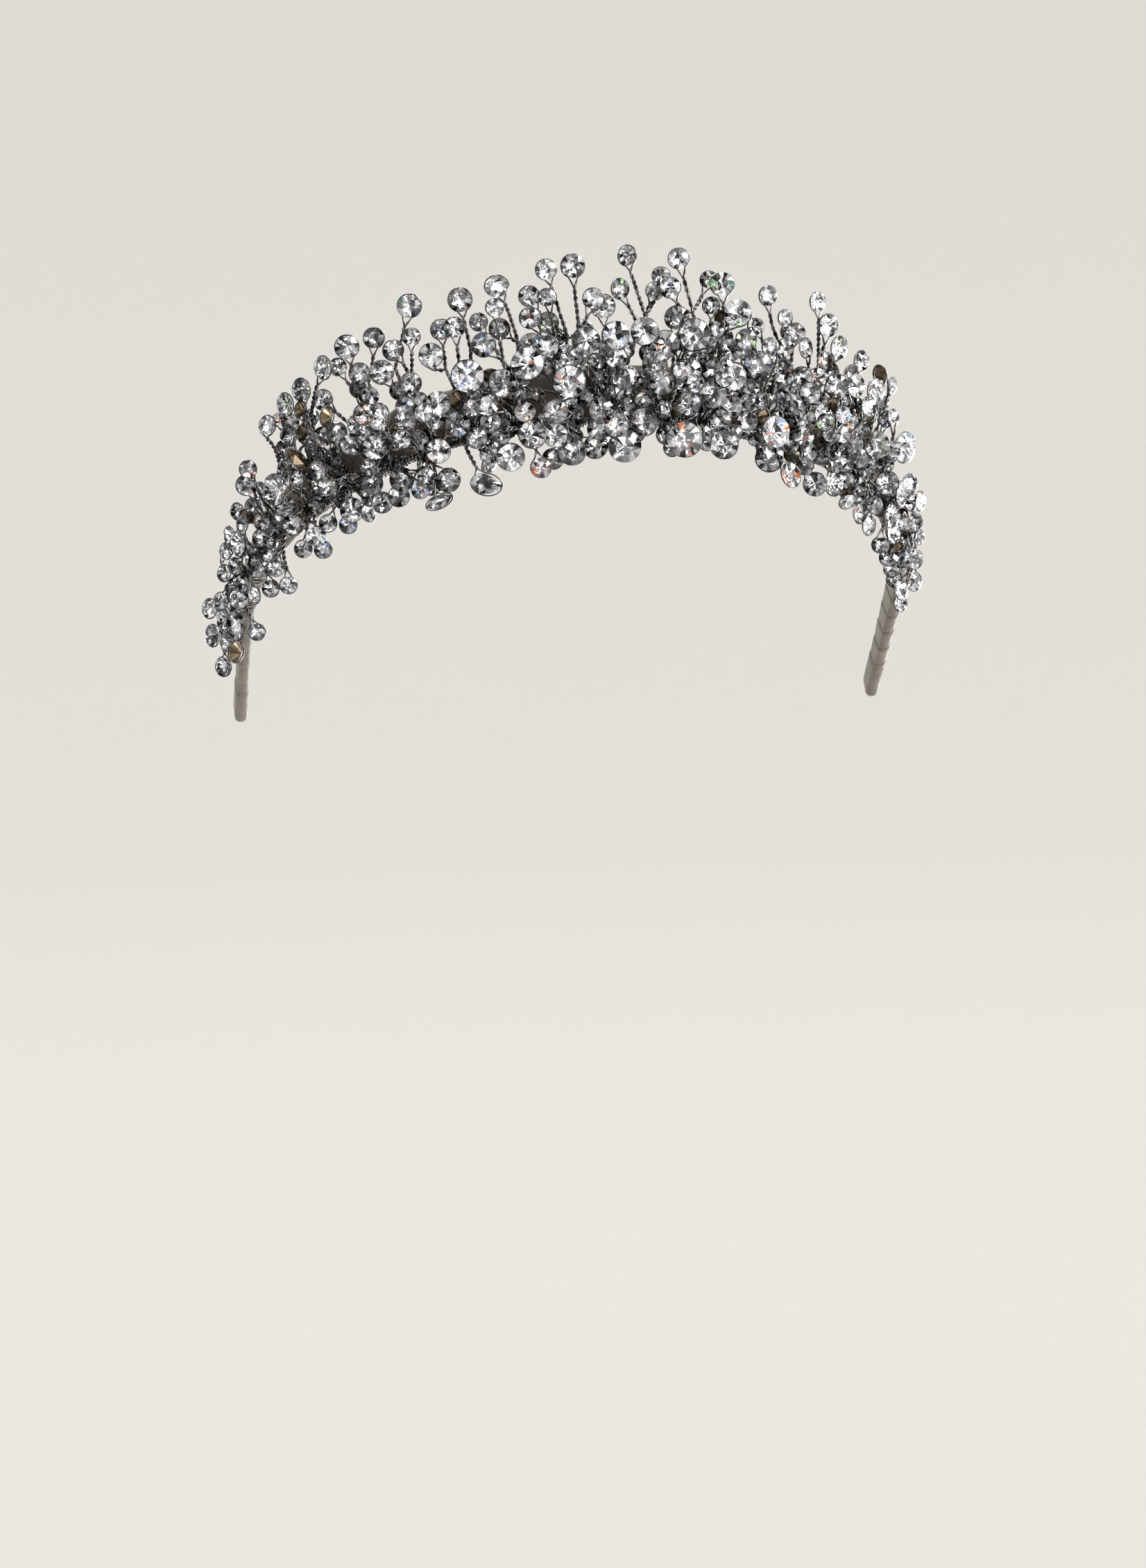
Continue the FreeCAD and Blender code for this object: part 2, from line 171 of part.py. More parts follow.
    (9, "r", 4.7, 4.7, -45.8, -59.36, 47.48, -0.227, -0.967, 0.116, 0.427, -0.206, -0.88, -44.65, -59.91, 45.13, -42.89, -58.39, 41.95, -41.22, -55.31, 40.17),
    (9, "r", 4, 4, -46.77, -60.94, 43.28, 0.121, -0.992, -0.017, -0.991, -0.122, 0.052, -44.67, -60.67, 42.31, -41.79, -58.62, 40.65, -39.25, -55.83, 39.65),
    (9, "r", 5.4, 5.4, -34.18, -61.13, 46.36, -0.019, -0.999, 0.028, -0.284, 0.032, 0.958, -36.35, -61.15, 44.25, -37.75, -58.95, 42.77, -38.15, -56.02, 42.26),
    (9, "r", 5.4, 5.4, -46.62, -55.62, 34.27, -0.249, -0.968, 0.013, -0.948, 0.241, -0.207, -43.98, -56.28, 35.61, -42.83, -57.39, 36.74, -41.31, -58.55, 37.17),
    (9, "r", 4, 4, -47.93, -57.41, 42.89, -0.174, -0.98, -0.093, -0.229, -0.051, 0.972, -45.82, -57.69, 41.93, -42.93, -57.05, 40.6, -40.1, -55.68, 39.81),
    (9, "r", 4, 4, -41.97, -56.29, 48.9, -0.178, -0.947, 0.268, 0.246, 0.221, 0.944, -41.14, -57.03, 46.85, -39.92, -57.3, 44.15, -38.85, -56.08, 41.65),
    (9, "r", 4, 4, -46.89, -54.18, 44.84, -0.235, 0.961, -0.149, -0.918, -0.169, 0.358, -44.85, -53.85, 43.76, -41.04, -55.73, 42.18, -36.92, -56.94, 40.76),
    (9, "r", 5.4, 5.4, -36.52, -59.07, 33.85, -0.216, -0.976, -0.039, 0.85, -0.168, -0.499, -38.53, -58.72, 36.09, -39.93, -57.61, 38.1, -40.62, -55.29, 39.26),
    (9, "r", 4.7, 4.7, -39.19, -58.94, 47.58, -0.158, -0.986, 0.05, 0.252, -0.089, -0.964, -39.59, -59.01, 44.94, -39.89, -57.76, 42.85, -39.53, -55.7, 41.58),
    (9, "r", 4, 4, -39.87, -56.44, 32.51, -0.288, -0.931, 0.225, 0.368, 0.109, 0.923, -39.17, -56.12, 34.71, -39.11, -56.46, 38, -37.76, -56.72, 41.01),
    (9, "r", 4.7, 4.7, -43.15, -59.4, 42.76, -0.178, -0.979, -0.095, -0.936, 0.139, 0.322, -42.48, -59.27, 40.16, -42.11, -57.14, 39.69, -41.39, -55.09, 39.26),
    (9, "r", 5.4, 5.4, -38.65, -60.38, 40.45, -0.018, -0.993, -0.114, -0.261, -0.106, 0.96, -41.49, -60.45, 41.52, -41.65, -57.61, 42.36, -40.19, -55.11, 41.68),
    (9, "r", 4, 4, -41.25, -56.12, 37.06, 0.555, -0.736, 0.388, 0.604, 0.036, -0.796, -40.57, -54.7, 38.79, -39.9, -55.42, 40.34, -38.45, -56.46, 40.84),
    (10, "r", 5.4, 5.4, -32.4, -57.75, 74, -0.214, -0.968, -0.129, 0.549, -0.228, 0.804, -31.88, -57.47, 71.03, -31.34, -57.59, 67.33, -30.23, -57.49, 62.5),
    (10, "r", 4.7, 4.7, -36.56, -55.42, 67.51, -0.045, -0.994, -0.104, -0.489, -0.069, 0.87, -36.27, -55.16, 64.86, -36.08, -55.43, 62.84, -35.9, -55.42, 58.96),
    (10, "r", 4.7, 4.7, -34.1, -59.84, 67.84, -0.093, -0.962, -0.257, 0.089, -0.265, 0.96, -33.57, -59.21, 65.29, -32.52, -59.95, 54.45, -29.87, -59.26, 43.89),
    (10, "r", 5.4, 5.4, -39.18, -56.18, 61.84, -0.258, -0.966, 0.024, -0.963, 0.256, -0.081, -39.25, -56.24, 58.81, -39.07, -55.55, 58.28, -36.35, -55.25, 58.39),
    (10, "r", 4, 4, -42.3, -57.26, 51.7, -0.198, -0.98, 0.015, -0.925, 0.181, -0.334, -40.4, -57.66, 50.41, -35.39, -59.39, 46.6, -29.78, -59.43, 43.27),
    (10, "p", 7.1, 5, -28.61, -64.38, 32.76, -0.244, -0.969, 0.027, 0.949, -0.244, -0.202, -30.03, -63.94, 35.53, -32.12, -62.48, 39.89, -32.78, -58.46, 42.89),
    (10, "r", 5.4, 5.4, -38.32, -60.54, 51.12, -0.058, -0.992, 0.112, 0.101, -0.117, -0.988, -36.48, -60.92, 48.75, -35.59, -60.65, 47.35, -34.69, -59.63, 46.38),
    (10, "r", 6.2, 6.2, -23.02, -64.9, 38.62, -0.089, -0.98, -0.179, 0.958, -0.133, 0.256, -26.26, -64.81, 39.74, -30.27, -62.87, 42.67, -32.84, -58.25, 43.36),
    (10, "r", 4, 4, -34.33, -58.76, 51.93, -0.664, 0.729, 0.17, -0.636, -0.431, -0.64, -33.91, -57.88, 49.81, -32.16, -58.36, 46.71, -29.89, -59.17, 44.06),
    (10, "r", 4, 4, -30.19, -59.64, 52.58, -0.443, -0.684, 0.58, 0.717, 0.118, 0.687, -31.71, -60.11, 50.87, -32.86, -59.52, 47.28, -32.78, -57.57, 44.01),
    (10, "r", 4, 4, -31.15, -62.85, 49.83, -0.155, -0.894, 0.42, 0.987, -0.126, 0.097, -30.92, -63.87, 47.74, -30.41, -62.55, 44.53, -29.73, -59.43, 43.06),
    (10, "r", 4, 4, -27.19, -60.49, 36.99, 0.497, -0.792, -0.354, 0.723, 0.151, 0.675, -28.12, -61.82, 38.66, -30.5, -61.15, 41.9, -32.84, -58.2, 43.45),
    (10, "r", 4, 4, -27.59, -62.96, 39.36, -0.172, -0.982, -0.082, -0.225, -0.042, 0.973, -28.91, -62.89, 41.28, -29.9, -61.64, 43.16, -29.87, -59.27, 43.87),
    (11, "r", 5.4, 5.4, -24.12, -58.58, 76.7, -0.063, -0.872, -0.486, -0.192, 0.488, -0.851, -22.7, -57.36, 74.32, -21.4, -59.01, 70.12, -19.89, -59.34, 64.66),
    (11, "r", 4, 4, -24.98, -60.51, 72.05, -0.036, -0.997, 0.071, 0.896, -0.064, -0.439, -24.64, -60.68, 69.75, -23.4, -63.37, 57.59, -20.96, -61.48, 45.46),
    (11, "r", 4, 4, -28.43, -58.5, 68.94, -0.007, -0.994, -0.107, 0.994, 0.005, -0.112, -27.27, -58.29, 66.92, -25.27, -59.38, 63.27, -22.26, -60.29, 58.22),
    (11, "r", 4.7, 4.7, -24, -60.18, 67.24, -0.216, -0.971, -0.104, 0.277, -0.163, 0.947, -21.98, -60.44, 65.5, -21.35, -59.83, 65.16, -19.79, -59.35, 63.92),
    (11, "r", 5.4, 5.4, -27.91, -61.76, 63.78, -0.254, -0.967, -0.036, 0.503, -0.164, 0.848, -25.76, -62.24, 61.7, -24.03, -61.16, 60.43, -21.96, -60.34, 58.06),
    (11, "r", 5.4, 5.4, -17.37, -63.54, 63.46, -0.194, -0.965, 0.179, -0.386, 0.242, 0.89, -19.54, -63.49, 61.35, -21.21, -63.76, 59.63, -22.96, -63.39, 58.02),
    (11, "r", 7.2, 7.2, -31.98, -63.83, 56.95, -0.073, -0.986, -0.152, 0.861, -0.139, 0.49, -28.86, -63.69, 54.56, -23.36, -63.86, 50.44, -18.21, -61.04, 46.88),
    (11, "r", 7.2, 7.2, -18.92, -67.01, 59.31, -0.218, -0.952, 0.215, -0.269, 0.27, 0.924, -20.69, -67.39, 55.83, -21.82, -66.31, 52.65, -22.11, -63.74, 50.23),
    (11, "r", 4, 4, -26.55, -60.51, 57.11, 0.002, 0.733, 0.68, 0.428, -0.615, 0.662, -25.15, -59.24, 55.74, -23.02, -60.92, 50.76, -20.72, -61.48, 45.61),
    (11, "r", 4.7, 4.7, -30.55, -65.07, 43.19, -0.171, -0.985, -0.021, -0.039, -0.015, 0.999, -27.93, -65.53, 43.49, -23.11, -64.63, 45.1, -18.81, -61.84, 44.55),
    (11, "r", 4, 4, -27.06, -61.17, 53.72, 0.3, -0.948, 0.104, -0.872, -0.316, -0.373, -25.4, -60.82, 52.12, -24.3, -60.91, 51.03, -23.04, -61.12, 50.16),
    (11, "r", 5.4, 5.4, -27.95, -64.8, 50.35, -0.111, -0.776, 0.62, 0.972, 0.046, 0.232, -25.12, -65.69, 49.74, -22.53, -64.27, 47.32, -21.41, -61.48, 44.96),
    (11, "r", 4, 4, -19.45, -62.18, 56.12, -0.119, -0.975, 0.189, -0.922, 0.179, 0.344, -19.58, -62.61, 53.83, -19.53, -63.06, 49.7, -19.73, -61.65, 45.8),
    (11, "r", 4.7, 4.7, -16.28, -65.38, 36.09, -0.159, -0.974, -0.163, -0.529, -0.055, 0.847, -17, -65.69, 38.65, -17.79, -65.14, 42.47, -17.87, -62.1, 44.98),
    (11, "r", 4, 4, -29.81, -60.25, 47.3, -0.153, -0.801, -0.579, 0.046, 0.579, -0.814, -27.55, -60.27, 46.73, -24.92, -61.16, 45.58, -22.11, -61.33, 44.56),
    (11, "r", 4.7, 4.7, -27.01, -62.64, 46.61, -0.099, -0.92, 0.38, 0.995, -0.092, 0.037, -24.41, -63.12, 46.14, -22.05, -62.75, 45.8, -20.33, -61.63, 44.54),
    (11, "r", 4, 4, -20.68, -63.47, 52.29, -0.614, -0.718, -0.329, -0.517, 0.051, 0.854, -20.07, -62.99, 50.09, -19.56, -62.75, 47.82, -18.73, -61.89, 45.81),
    (11, "r", 6.2, 6.2, -18.2, -67.32, 43.59, 0.048, -0.982, 0.181, -0.908, 0.032, 0.417, -16.47, -66.7, 46.49, -16.7, -64.28, 46.68, -16.9, -62.28, 45.3),
    (11, "r", 4, 4, -23.58, -61.47, 51.14, -0.032, 0.992, 0.121, 0.958, 0.065, -0.279, -22.54, -61.18, 49.08, -21.93, -61.1, 47.65, -21.19, -60.53, 46.42),
    (11, "r", 4, 4, -25.3, -60.17, 40.96, -0.208, -0.961, 0.18, 0.268, 0.121, 0.956, -23.27, -60.39, 42.08, -21.58, -61.25, 43.68, -19.32, -61.78, 44.55),
    (11, "r", 4.7, 4.7, -19.48, -65.28, 48.71, -0.087, -0.922, 0.376, -0.918, -0.073, -0.391, -17.36, -66.07, 47.27, -17.32, -63.97, 46.8, -17.74, -61.94, 46.2),
    (11, "r", 4, 4, -24.7, -62.17, 43.44, -0.257, -0.887, -0.383, 0.263, -0.445, 0.856, -22.54, -62.96, 43.83, -22.07, -62.32, 44.39, -21.86, -61.38, 44.58),
    (11, "r", 4, 4, -15.57, -63.62, 46.1, -0.021, -0.871, -0.492, -0.009, 0.492, -0.871, -17.84, -63.33, 45.7, -19.44, -62.44, 46.39, -20.19, -60.65, 46.61),
    (11, "r", 4, 4, -22.67, -62.96, 46.63, 0.245, -0.936, 0.253, -0.2, 0.206, 0.958, -20.57, -62.68, 45.65, -19.26, -62.42, 45.17, -18.26, -61.81, 44.36),
    (12, "r", 5.4, 5.4, -6.82, -59.32, 80.86, 0.078, -0.997, -0.012, -0.997, -0.078, 0.001, -6.78, -59.28, 77.83, -6.66, -59.76, 72.8, -6.11, -60.36, 67.67),
    (12, "r", 4.7, 4.7, -13.03, -59.75, 80.24, -0.185, -0.979, 0.084, 0.61, -0.182, -0.771, -12.38, -60.09, 77.66, -10.96, -60.08, 72.45, -8.73, -60.51, 65.26),
    (12, "r", 4.7, 4.7, -17.03, -60.12, 74.31, -0.163, -0.966, -0.2, -0.401, -0.12, 0.908, -15.6, -59.89, 72.06, -14.63, -60.07, 70.38, -9.34, -60.46, 65.69),
    (12, "r", 4, 4, -13.17, -61.57, 74.02, -0.242, -0.97, -0.028, -0.737, 0.165, 0.656, -12.78, -61.6, 71.72, -11.08, -63.84, 59.14, -8.82, -63.24, 46.46),
    (12, "r", 4.7, 4.7, -3.13, -63.58, 73.4, -0.234, -0.972, -0.032, -0.703, 0.146, 0.696, -4.17, -63.25, 70.95, -5.76, -62.01, 66.86, -8.14, -60.55, 64.8),
    (12, "r", 4.7, 4.7, -17.46, -63.29, 69.48, 0.008, -1, 0.03, -0.696, -0.027, -0.718, -16.06, -63.34, 67.2, -13.77, -64.31, 63.45, -11.41, -63.82, 59.66),
    (12, "r", 4.7, 4.7, -13.16, -61.41, 68.31, -0.109, -0.977, -0.182, 0.974, -0.142, 0.179, -11.3, -61.26, 66.38, -10.22, -61.05, 65.3, -8.62, -60.52, 64.52),
    (12, "r", 4, 4, -9.76, -50.27, 65.27, 0.906, -0.363, 0.22, 0.29, 0.908, 0.304, -9.81, -51.56, 63.33, -10.07, -61.33, 59.34, -9.8, -62.32, 47.64),
    (12, "r", 4, 4, -4.59, -60.6, 67.16, 0.259, -0.864, 0.432, 0.001, -0.447, -0.895, -5.59, -61.77, 65.41, -7.68, -62.71, 61.82, -9.76, -62.14, 58.15),
    (12, "r", 4, 4, -16.1, -54.41, 63.53, -0.043, -0.942, 0.332, -0.035, 0.334, 0.942, -14.97, -55.13, 61.63, -13.76, -60.95, 59.05, -6.39, -62.57, 47.84),
    (12, "r", 4, 4, -11.25, -60.52, 65.18, -0.186, -0.96, 0.209, 0.531, -0.277, -0.801, -11.71, -60.92, 62.93, -12.07, -61.61, 60.54, -12.66, -61.53, 58.1),
    (12, "r", 4.7, 4.7, -14.18, -67.41, 63.02, -0.246, -0.963, -0.111, 0.915, -0.192, -0.356, -13.51, -67.27, 60.42, -11.59, -65.99, 53.45, -9.09, -62.82, 47.32),
    (12, "r", 6.2, 6.2, -24.15, -64.38, 55.17, 0.084, -0.987, 0.138, 0.706, 0.157, 0.69, -20.83, -64.21, 54.33, -16.33, -65.29, 53.39, -11.74, -65.45, 52.3),
    (12, "r", 5.4, 5.4, -9.93, -67.72, 60.43, -0.183, -0.981, 0.06, 0.357, -0.01, 0.934, -10.46, -67.8, 57.45, -11.33, -66.08, 50.89, -11.59, -62.66, 44.97),
    (12, "r", 4, 4, -8.83, -59.75, 60.46, -0.327, -0.89, 0.318, -0.048, -0.32, -0.946, -8.98, -60.49, 58.26, -10.1, -63.13, 53.89, -11.3, -65.09, 50.07),
    (12, "r", 4, 4, -14.03, -63.26, 58.74, -0.541, -0.797, 0.268, -0.263, -0.143, -0.954, -13.63, -64.23, 56.66, -10.95, -65.03, 51.08, -8.28, -63.22, 45.75),
    (12, "r", 7.2, 7.2, -10.05, -69.55, 55.04, -0.265, -0.941, 0.211, 0.018, 0.214, 0.977, -11.67, -69.89, 51.48, -11.12, -67.69, 50.41, -10.38, -65.3, 50.45),
    (12, "o", 4, 3, -16.7, -64.14, 52.32, -0.255, -0.967, 0.008, 0.966, -0.255, -0.029, -15.49, -64.47, 50.78, -13.18, -64.46, 48.16, -10.97, -63.04, 45.84),
    (12, "r", 4.7, 4.7, -13.33, -63.77, 37.98, -0.076, -0.973, 0.218, 0.905, -0.16, -0.395, -11.98, -63.36, 40.26, -10.9, -63.39, 42.9, -9.19, -62.85, 45.11),
    (12, "r", 5.4, 5.4, -13.13, -68.99, 48.52, -0.175, -0.978, -0.112, -0.845, 0.208, -0.493, -10.31, -69.37, 47.5, -8.26, -66.21, 48.05, -7.61, -62.47, 47.79),
    (12, "r", 5.4, 5.4, -3.96, -65.7, 40.49, -0.257, -0.952, 0.166, 0.296, 0.086, 0.951, -6.51, -64.77, 41.85, -9.1, -64.14, 43.83, -11.76, -62.32, 44.62),
    (12, "r", 6.2, 6.2, -9.34, -66.84, 39.6, -0.07, -0.996, 0.058, -0.975, 0.056, -0.217, -9.94, -66.6, 42.96, -10.34, -65.37, 44.98, -10.21, -63.04, 45.56),
    (12, "r", 4, 4, -9.93, -67.79, 50.43, 0.203, -0.721, -0.663, -0.97, -0.058, -0.234, -9.29, -66.18, 48.87, -8.92, -64.61, 47.9, -8.6, -62.82, 47.39),
    (12, "r", 5.4, 5.4, -12.99, -66.89, 43.27, -0.293, -0.953, 0.082, -0.669, 0.266, 0.694, -10.99, -67.31, 45.5, -8.63, -65.81, 47.91, -6.88, -62.55, 47.81),
    (12, "r", 4, 4, -8.16, -64.73, 42.32, 0.366, -0.849, -0.382, 0.925, 0.286, 0.251, -9.19, -65.94, 44.03, -10.41, -65.08, 45.86, -11.26, -62.96, 46.51),
    (12, "r", 4, 4, -8.37, -65.28, 48.21, -0.381, -0.77, -0.511, 0.183, 0.479, -0.858, -8.97, -63.83, 46.48, -9.3, -63.37, 45.88, -9.44, -62.91, 45.2),
    (12, "r", 4, 4, -8.81, -63.39, 45.27, -0.014, -0.997, 0.077, -0.968, 0.033, 0.25, -6.52, -63.39, 45.71, -7.19, -63.3, 45.76, -7.77, -63.13, 45.45),
    (13, "r", 4.7, 4.7, 3.46, -62.01, 75.42, 0.433, -0.901, 0.004, 0.878, 0.423, 0.222, 4.45, -61.55, 72.97, 5.74, -61.62, 70.41, 7.45, -61.18, 66.97),
    (13, "r", 5.4, 5.4, -0.53, -60.64, 71.69, -0.191, -0.98, -0.063, 0.629, -0.171, 0.758, -0.57, -60.44, 68.67, 0.65, -61.76, 59.68, -1.59, -62.75, 47.97),
    (13, "r", 6.2, 6.2, -5.82, -69.11, 63.99, -0.156, -0.983, -0.098, -0.068, 0.109, -0.992, -3.35, -69.27, 61.61, -0.93, -66.2, 60.1, 0.28, -62.18, 59.93),
    (13, "r", 6.2, 6.2, 1.26, -67.03, 65.05, 0.085, -0.996, -0.037, 0.965, 0.073, 0.253, 1.34, -66.89, 61.62, 1.86, -66.77, 53.67, 1.45, -63.6, 46.37),
    (13, "r", 4, 4, 0.27, -70.42, 59.96, 0.053, -0.993, 0.102, 0.918, 0.089, 0.386, 0.83, -70.62, 57.71, 1.38, -69.19, 54.78, 1.74, -66.66, 52.7),
    (13, "r", 4, 4, 4.56, -62.57, 62.07, 0.486, -0.848, 0.212, -0.749, -0.529, -0.398, 4.04, -63.4, 59.96, 1.29, -65.26, 53.3, -1.58, -63.59, 46.65),
    (13, "r", 4, 4, -1.62, -60.8, 62.11, -0.341, -0.937, 0.073, -0.353, 0.199, 0.914, -0.94, -61.22, 59.92, -0.3, -63.4, 56.35, 0.59, -64.97, 52.53),
    (13, "r", 4, 4, -7.04, -66.81, 58.51, -0.196, -0.948, 0.249, -0.673, -0.055, -0.738, -5.79, -67.55, 56.69, -2.13, -67.34, 50.9, 1.45, -63.6, 46.41),
    (13, "r", 4, 4, -4.82, -64.82, 59.85, 0.148, -0.892, 0.426, 0.625, -0.25, -0.74, -4, -65.65, 57.83, -2.91, -66.87, 54.22, -1.6, -66.76, 50.47),
    (13, "r", 5.4, 5.4, 0.95, -66.09, 59.98, -0.179, -0.982, 0.054, 0.219, -0.093, -0.971, 0.19, -66.11, 57.05, -0.92, -65.24, 52.23, -1.59, -63, 47.79),
    (13, "r", 4, 4, -2.15, -63.6, 59.01, -0.438, -0.899, -0.021, -0.778, 0.367, 0.51, -1.72, -63.75, 56.72, -1.32, -64.62, 54.41, -1.17, -64.8, 51.92),
    (13, "r", 4.7, 4.7, 1.3, -70.92, 55.32, -0.64, -0.766, -0.054, 0.695, -0.608, 0.383, 0.5, -70.08, 52.9, 0.85, -67.43, 48.2, 1.43, -63, 45.16),
    (13, "r", 4, 4, -2.81, -67.15, 55.15, -0.267, -0.964, 0.004, 0.32, -0.093, -0.943, -1.88, -67.42, 53.02, -0.58, -67.72, 50.44, 0.68, -66.72, 48.02),
    (13, "r", 4, 4, 4.51, -64.75, 56.33, 0.367, -0.909, 0.196, 0.036, 0.225, 0.974, 3.48, -65.59, 54.41, 0.68, -65.38, 50.87, -1.59, -63.14, 47.66),
    (13, "r", 7.2, 7.2, 2.26, -69.02, 40.33, -0.062, -0.993, -0.103, 0.219, -0.114, 0.969, 0.24, -69.24, 43.7, -0.54, -66.68, 45.92, -0.06, -63.27, 45.45),
    (13, "r", 4, 4, 1.24, -68.89, 52.71, 0.343, -0.936, 0.081, 0.939, 0.339, -0.058, 1.95, -68.82, 50.49, 2.05, -66.58, 47.24, 1.43, -63.17, 45.33),
    (13, "r", 5.4, 5.4, 0.08, -70.84, 45.2, -0.327, -0.942, -0.072, 0.944, -0.322, -0.073, 0.31, -71.15, 48.21, 2.11, -67.15, 49.65, 2.98, -63.08, 47.66),
    (13, "r", 4, 4, -4.88, -64.59, 51.5, -0.246, -0.965, -0.095, 0.157, 0.057, -0.986, -3.51, -64.76, 49.63, -2.35, -64.07, 48.62, -1.59, -62.72, 47.99),
    (13, "r", 4, 4, -1.39, -66.58, 52.48, -0.499, -0.68, 0.537, -0.712, 0.675, 0.193, -2.48, -67.3, 50.55, -1.19, -66.14, 47.63, -0.06, -63.49, 45.84),
    (13, "r", 5.4, 5.4, -2.71, -68.34, 48.66, -0.211, -0.977, 0.038, 0.611, -0.162, -0.775, 0.2, -68.99, 48.12, 1.53, -66.05, 48.68, 1.46, -62.87, 47.89),
    (13, "r", 6.2, 6.2, 7.02, -66.76, 45.58, -0.083, -0.984, 0.157, -0.622, 0.174, 0.763, 3.61, -66.46, 45.63, 2.89, -64.7, 45.8, 2.92, -62.92, 45.09),
    (13, "r", 4.7, 4.7, -3.43, -67.09, 44.36, -0.235, -0.972, -0.026, 0.739, -0.196, 0.645, -2.7, -67.33, 46.92, -1.95, -65.5, 48.17, -1.59, -63.29, 47.46),
    (13, "r", 4, 4, -0.16, -64.84, 42.38, -0.549, -0.81, 0.204, 0.252, 0.072, 0.965, -0.28, -64.19, 44.61, -0.24, -63.96, 45.28, -0.06, -63.42, 45.7),
    (13, "r", 4, 4, 0.24, -63.82, 50.42, 0.303, -0.907, -0.292, -0.791, -0.068, -0.608, 0.87, -62.95, 48.35, 1.22, -63.17, 47.74, 1.46, -63.48, 47.12),
    (13, "r", 4, 4, 3.61, -64.15, 49.08, 0.121, -0.992, 0.044, -0.34, -0.083, -0.937, 2.9, -64.33, 46.87, 2.9, -63.82, 47.23, 2.98, -63.24, 47.47),
    (14, "r", 4.7, 4.7, 5.38, -59.28, 82.87, -0.621, -0.783, 0.03, -0.675, 0.554, 0.487, 5.8, -59.72, 80.26, 7.45, -59.66, 74.75, 9.41, -60.12, 68.48),
    (14, "r", 4, 4, 13.16, -59.22, 78.17, -0.082, -0.981, -0.179, -0.41, -0.13, 0.903, 12.49, -58.76, 75.99, 11.67, -59.73, 73.39, 9.28, -60.13, 69.22),
    (14, "r", 4, 4, 11.51, -59.97, 74.79, -0.029, -0.992, 0.126, -0.56, -0.089, -0.824, 10.43, -60.2, 72.73, 10.16, -60.01, 72.19, 9.33, -60.13, 69.23),
    (14, "r", 5.4, 5.4, 16.29, -60.57, 68.59, -0.02, -0.979, -0.205, 0.048, 0.204, -0.978, 15.94, -59.95, 65.65, 14.68, -62.05, 56.61, 13.78, -61.89, 47.3),
    (14, "r", 7.2, 7.2, 19.66, -63.37, 64.73, -0.052, -0.997, -0.064, 0.132, 0.057, -0.99, 17.61, -63.04, 61.4, 16.55, -62.9, 59.05, 15, -62.13, 57.14),
    (14, "r", 6.2, 6.2, 8.22, -63.96, 65.82, -0.325, -0.942, 0.088, -0.657, 0.158, -0.737, 8.5, -64.37, 62.43, 9.85, -64.94, 54.5, 10.88, -62.92, 46.76),
    (14, "r", 4.7, 4.7, 14.41, -54.83, 62.81, 0.165, -0.976, 0.141, -0.658, -0.216, -0.722, 13.22, -55.37, 60.47, 11.38, -63.71, 56.77, 10.27, -64.32, 53.35),
    (14, "r", 4, 4, 16.61, -60.6, 63.15, 0.189, 0.955, 0.226, -0.621, -0.062, 0.781, 16.37, -60.02, 60.9, 15.78, -60.61, 53.94, 14, -61.86, 47.27),
    (14, "r", 4, 4, 19.67, -60, 61.2, 0.086, -0.888, 0.451, 0.955, -0.055, -0.29, 18.67, -61.03, 59.37, 17.35, -61.93, 56.15, 15.79, -60.75, 53.14),
    (14, "r", 6.2, 6.2, 12.96, -63.38, 62.75, -0.089, -0.991, -0.097, -0.84, 0.022, 0.542, 12.57, -63.01, 59.36, 11.44, -63.43, 53.36, 11.11, -62.5, 47.31),
    (14, "r", 4, 4, 9.67, -58.37, 61.03, 0.809, 0.572, -0.133, -0.037, 0.277, 0.96, 10.36, -59.75, 59.29, 10.68, -62.18, 56.13, 11.27, -62.9, 52.57),
    (14, "r", 4, 4, 20.59, -62.62, 59.28, 0.035, -0.725, -0.688, -0.894, 0.284, -0.345, 19.23, -61.35, 57.88, 16.74, -62.26, 52.55, 14.24, -61.98, 47.15),
    (14, "r", 4, 4, 8.89, -63.83, 61.01, -0.363, -0.931, 0.03, -0.804, 0.329, 0.495, 10.08, -64.36, 59.07, 13.07, -64.21, 55.35, 15.87, -62.38, 51.96),
    (14, "r", 4, 4, 15.37, -70.73, 56.76, -0.145, -0.957, -0.25, 0.14, -0.27, 0.953, 14.56, -70.07, 54.67, 12.77, -67.75, 49.21, 11.25, -62.97, 45.58),
    (14, "r", 4, 4, 18.33, -69.89, 53.74, -0.532, -0.823, 0.2, -0.479, 0.097, -0.872, 16.67, -69.17, 52.28, 14.68, -68.58, 50.38, 12.87, -67.21, 48.74),
    (14, "r", 5.4, 5.4, 10.02, -66.1, 58.48, -0.163, -0.985, 0.052, 0.395, -0.113, -0.912, 10.74, -66.37, 55.55, 12.37, -65.61, 49.51, 14.22, -62.19, 44.54),
    (14, "r", 5.4, 5.4, 11.16, -67.94, 54.26, -0.237, -0.971, -0.028, -0.899, 0.208, 0.386, 11.6, -67.96, 51.27, 12.12, -66.9, 49.88, 12.58, -65.4, 48.97),
    (14, "r", 4, 4, 7.58, -63.21, 55.63, -0.839, -0.538, 0.081, 0.522, -0.838, -0.159, 7.69, -63.72, 53.35, 9.55, -64.25, 49.63, 11.52, -63, 46.13),
    (14, "r", 4, 4, 5.25, -63.45, 52.75, 0.448, -0.826, -0.343, 0.688, 0.563, -0.457, 6.86, -62.14, 51.69, 10.13, -62.32, 49.74, 13.11, -61.91, 47.4),
    (14, "r", 4, 4, 16.76, -63.7, 53.65, -0.252, -0.848, -0.466, 0.819, 0.069, -0.569, 16.34, -62.5, 51.69, 15.75, -62.73, 48.8, 14.66, -62.59, 46.06),
